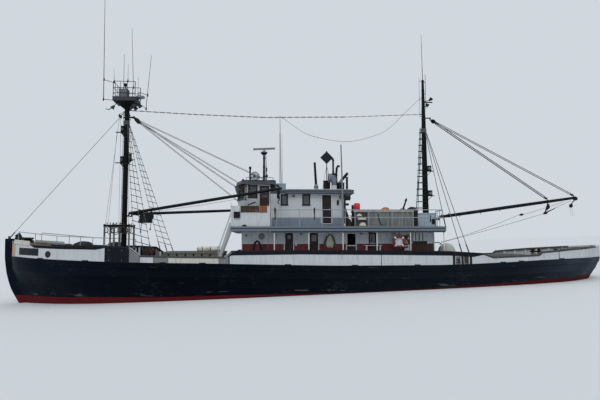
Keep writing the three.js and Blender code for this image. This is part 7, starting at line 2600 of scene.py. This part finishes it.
    def build(self) -> None:
        """Builds every piece of the roof gear."""
        self.exhaust()
        self.pipes()
        self.cowl()
        self.casing()
        self.radar()
        self.scanner()


class DeckGear:
    """Winches, hatch boards, canvas roll, capstan cover, tarpaulins, rudder straps and propeller cap."""

    TIES = (5.95, 6.42, 6.92)      # x of the lashings round the roll of canvas

    def winch(self, x: float, z: float, drum: float, width: float, body: str, rope: Finish) -> None:
        """Rope or chain on a drum, and its warping ends.

        Args:
            x: place of the shaft along the ship.
            z: height of the shaft.
            drum: the drum's radius.
            width: half the drum's length.
            body: the body that turns.
            rope: what is wound on it.
        """
        shaft, half, radius = Vector((x, 0, z)), width - 0.13, drum * 0.66 + 0.02
        count = int(2 * half / 0.05) * 14
        path = []
        for k in range(count):
            a = math.tau * k / 14
            path.append((x + radius * math.cos(a), lerp(-half, half, k / count), z + radius * math.sin(a)))
        Shape().pipe(path, 0.024, 6).piece(f"{body}_turns", rope, body)
        profile = ((0.5, 0.0), (0.66, 0.01), (0.54, 0.05), (0.50, 0.12), (0.53, 0.19), (0.64, 0.235),
                   (0.64, 0.25), (0.3, 0.26), (0, 0.26))
        ends = Shape().spin([(r * drum, h) for r, h in profile], (x, width + 0.075, z), TO_PORT, 28)
        for bolt in circle(shaft + TO_PORT * (width + 0.33), FORWARD * 0.3 * drum, UP * 0.3 * drum, 1.05):
            ends.bar(bolt, bolt + TO_PORT * 0.015, 0.018, sides=6)
        ends.both().piece(f"{body}_warping_ends", RUSTY_IRON, body, crease=50)

    def winches(self) -> None:
        """The cargo winch and the windlass."""
        self.winch(10.52, 2.56, 0.33, 0.42, "cargo_winch_drum", WIRE_ROPE)
        self.winch(17.25, 2.83, 0.30, 0.33, "windlass_drum", RUSTY_IRON)

    def hatches(self) -> None:
        """Hatch boards and the bars over them."""
        for body, (aft, fore, half, top) in zip(("fore_hatch_cover", "aft_hatch_cover"), Hull.HATCHES):
            edges = steps(aft + 0.02, fore - 0.02, 0.30)
            boards = blocks(*(((a + 0.004, -half + 0.02, top + 0.06), (b - 0.004, half - 0.02, top + 0.128))
                              for a, b in zip(edges, edges[1:])))
            boards.piece(f"{body}_boards", STAINED_WOOD, body, bevel=0.006)
            bars = blocks(*(((aft + 0.02, y - 0.04, top + 0.126), (fore - 0.02, y + 0.04, top + 0.14))
                            for y in (-half * 0.5, 0.0, half * 0.5)))
            bars.piece(f"{body}_bars", BLACK_IRON, body, bevel=0.003)

    def roll(self) -> None:
        """Lumpy roll of canvas with its lashings, on the fore hatch."""
        rng, body = random.Random(12), "fore_hatch_cover"
        x0, x1, y, z, r = 5.62, 7.27, 1.18, 2.74, 0.165
        phase = [rng.uniform(0, 6) for _ in range(5)]
        rows = []
        for x in steps(x0, x1, 0.045):
            squeeze = r * (1 - 0.13 * max(math.exp(-((x - tie) / 0.05) ** 2) for tie in self.TIES))
            row = []
            for a in (math.tau * k / 28 for k in range(28)):
                lump = 0.05 * math.sin(3 * a + 2.2 * x + phase[0])
                lump += 0.03 * math.sin(5 * a - 3.4 * x + phase[1])
                lump += 0.022 * math.sin(9 * x + 2 * a + phase[2])
                row.append((x, y + squeeze * (0.96 + lump) * math.cos(a),
                            z + squeeze * (0.93 + lump) * math.sin(a)))
            rows.append(row)
        Shape().grid(rows).piece("canvas_roll_cloth", CANVAS, body, crease=80, replaces=["canvas_roll"])
        folds, ties = Shape(), Shape()
        for x in (x0 - 0.004, x1 + 0.004):
            folds.pipe([(x, y + r * 0.88 * (1 - a / 15) * math.cos(a),
                         z + r * 0.82 * (1 - a / 15) * math.sin(a))
                        for a in steps(0, 13.4, 0.4)], 0.012, 6)
        folds.piece("canvas_roll_folds", CANVAS, body)
        for x in (tie + d for tie in self.TIES for d in (-0.014, 0.014)):
            ties.pipe(circle((x, y, z), TO_PORT * 0.142, UP * 0.138, 0.3), 0.010, 6, closed=True)
        ties.piece("canvas_roll_lashings", DARK_ROPE, body)

    def capstan(self) -> None:
        """Canvas cover tied over the capstan, with folds that hang from its crown."""
        x, y = -8.85, 1.45
        outline = Fair([(0.0, 0.555), (0.45, 0.562), (0.56, 0.557), (0.70, 0.51), (0.81, 0.45), (0.93, 0.30),
                        (0.985, 0.14), (1.0, 0.02)])
        rows = []
        for share in steps(0, 1, 0.03):
            row = []
            for a in (math.tau * k / 72 for k in range(72)):
                fold = 0.6 * math.sin(11 * a + 1.3 * math.sin(2 * a))
                fold += 0.4 * math.sin(17 * a + 0.7 + 3 * share)
                depth = (0.045 * (1 - share) + 0.006) * min(1.0, 2.4 * (1 - share))
                radius = outline(share) - depth * (0.5 + 0.5 * fold)
                row.append((x + radius * math.cos(a), y + radius * math.sin(a), lerp(1.90, 3.05, share)))
            rows.append(row)
        Shape().grid(rows).piece("capstan_cover_cloth", COVER_CLOTH, crease=80, replaces=["covered_capstan"])
        tie = Shape()
        for z, r in ((2.18, 0.556), (2.24, 0.557)):
            tie.pipe([(x + r * math.cos(a), y + r * math.sin(a), z + 0.012 * math.sin(3 * a))
                      for a in steps(0, math.tau, 0.16)[:-1]], 0.011, 6, closed=True)
        tie.piece("capstan_cover_line", DARK_ROPE)

    def tarps(self) -> None:
        """Gear under tarpaulins at the forecastle rail."""
        y = FORM.deck_half(13.6) - 0.30
        heap((13.62, y, 2.96), (0.60, 0.16, 0.27)).both().piece("forecastle_tarps", DARK_TARP, crease=80)
        heap((13.66, y, 2.95), (0.64, 0.12, 0.20)).both().piece("tarp_fringes", COVER_CLOTH, crease=80)

    def stern_gear(self) -> None:
        """Iron straps bolted over the rudder's blade, and the cap on the propeller's hub."""
        straps = Shape()
        for z, aft in ((-1.22, -18.22), (-2.12, -18.18)):
            straps.block((aft, -0.066, z - 0.05), (-17.12, 0.066, z + 0.05))
            for x in steps(aft + 0.10, -17.22, 0.25):
                straps.bar((x, -0.078, z), (x, 0.078, z), 0.022, sides=8)
        straps.piece("rudder_straps", BLACK_IRON, "rudder", bevel=0.004)
        cap = Shape().spin([(0.0, 0.0), (0.085, 0.0), (0.08, 0.05), (0.045, 0.10), (0.0, 0.115)],
                           (-16.56, 0.0, -1.75), -FORWARD)
        cap.piece("propeller_cap", BRASS, "propeller", crease=50)

    def build(self) -> None:
        """Builds every piece of the deck gear."""
        self.stern_gear()
        self.tarps()
        self.winches()
        self.hatches()
        self.roll()
        self.capstan()


# Studio

@dataclass(frozen=True)
class Studio:
    """Pale floor at the waterline, soft light and the camera."""

    place: Point = (2.8593, 34.802, 2.993)     # camera in ship axes
    yaw: float = 0.0643                        # towards the stern
    pitch: float = 0.0854
    roll: float = -0.0031
    focal: float = 520.0                       # in pixels of a picture 600 wide
    width: float = 600.0
    sensor: float = 36.0
    floor: float = 400.0

    def camera(self) -> None:
        """The camera, at the photograph's place."""
        ahead = Vector((-math.sin(self.yaw), -math.cos(self.yaw), 0))
        right = ahead.cross(UP)
        look = ahead * math.cos(self.pitch) + UP * math.sin(self.pitch)
        rise = right.cross(look)
        across = right * math.cos(self.roll) + rise * math.sin(self.roll)
        top = rise * math.cos(self.roll) - right * math.sin(self.roll)
        data = bpy.data.cameras.new("camera")
        data.sensor_width, data.lens = self.sensor, self.sensor * self.focal / self.width
        data.clip_end = 2000
        made = bpy.data.objects.new("camera", data)
        turn = Matrix((across, top, -look)).transposed().to_4x4()
        made.matrix_world = TRIM @ Matrix.Translation(self.place) @ turn
        bpy.context.scene.collection.objects.link(made)
        bpy.context.scene.camera = made

    def light(self) -> None:
        """Soft light from a pale sky and one wide lamp."""
        scene = bpy.context.scene
        world = bpy.data.worlds.new("studio")
        world.use_nodes = True
        sky = world.node_tree.nodes["Background"]
        sky.inputs[0].default_value = (*tone(208, 215, 222), 1)
        sky.inputs[1].default_value = 1.0
        scene.world = world
        lamp = bpy.data.lights.new("soft_sun", "SUN")
        lamp.energy, lamp.angle = 1.1, math.radians(35)
        made = bpy.data.objects.new("soft_sun", lamp)
        made.rotation_euler = (math.radians(-42), math.radians(14), 0)
        scene.collection.objects.link(made)
        scene.view_settings.view_transform = "Standard"

    def ground(self) -> None:
        """The plain floor."""
        mesh = bpy.data.meshes.new("floor")
        f = self.floor
        mesh.from_pydata([(-f, -f, 0), (f, -f, 0), (f, f, 0), (-f, f, 0)], [], [(0, 1, 2, 3)])
        tree = Tree("floor")
        mesh.materials.append(tree.finish(tone(214, 216, 218), 0.9))
        made = bpy.data.objects.new("floor", mesh)
        bpy.context.scene.collection.objects.link(made)

    def build(self) -> None:
        """Sets up the studio."""
        self.camera()
        self.light()
        self.ground()


def paint_nodes(finishes: dict[str, Finish]) -> None:
    """Gives each of the frame's nodes its finish."""
    for name, made in frame["nodes"].items():
        finish = finishes[name]
        made.data.materials.clear()
        made.data.materials.append(finish.material())


def main() -> None:
    """Builds the studio, every sub-assembly and the finishes, in order."""
    logging.basicConfig(level=logging.INFO, format="%(message)s")
    Studio().build()
    Hull().build()
    Bulwarks().build()
    Deckhouse().build()
    BoatDeck().build()
    Cabin().build()
    Wheelhouse().build()
    RoofGear().build()
    Foremast().build()
    Lookout().build()
    Mainmast().build()
    Booms().build()
    Rigging().build()
    DeckGear().build()
    slots = {part["node"]: part["material_slot"] for part in frame["record"]["subparts"]}
    by_slot = {finish.slot: finish for finish in (
        HULL_PAINT, WHITE_LEVEL, SLATE_PAINT, VARNISH, MAST_PAINT, BLACK_IRON, GREY_IRON, RUSTY_IRON,
        WIRE_ROPE, BRONZE, RED_LEAD, CANVAS)}
    paint_nodes({node: FRAME_FINISHES.get(node, by_slot[slot]) for node, slot in slots.items()})


if __name__ == "__main__":
    main()
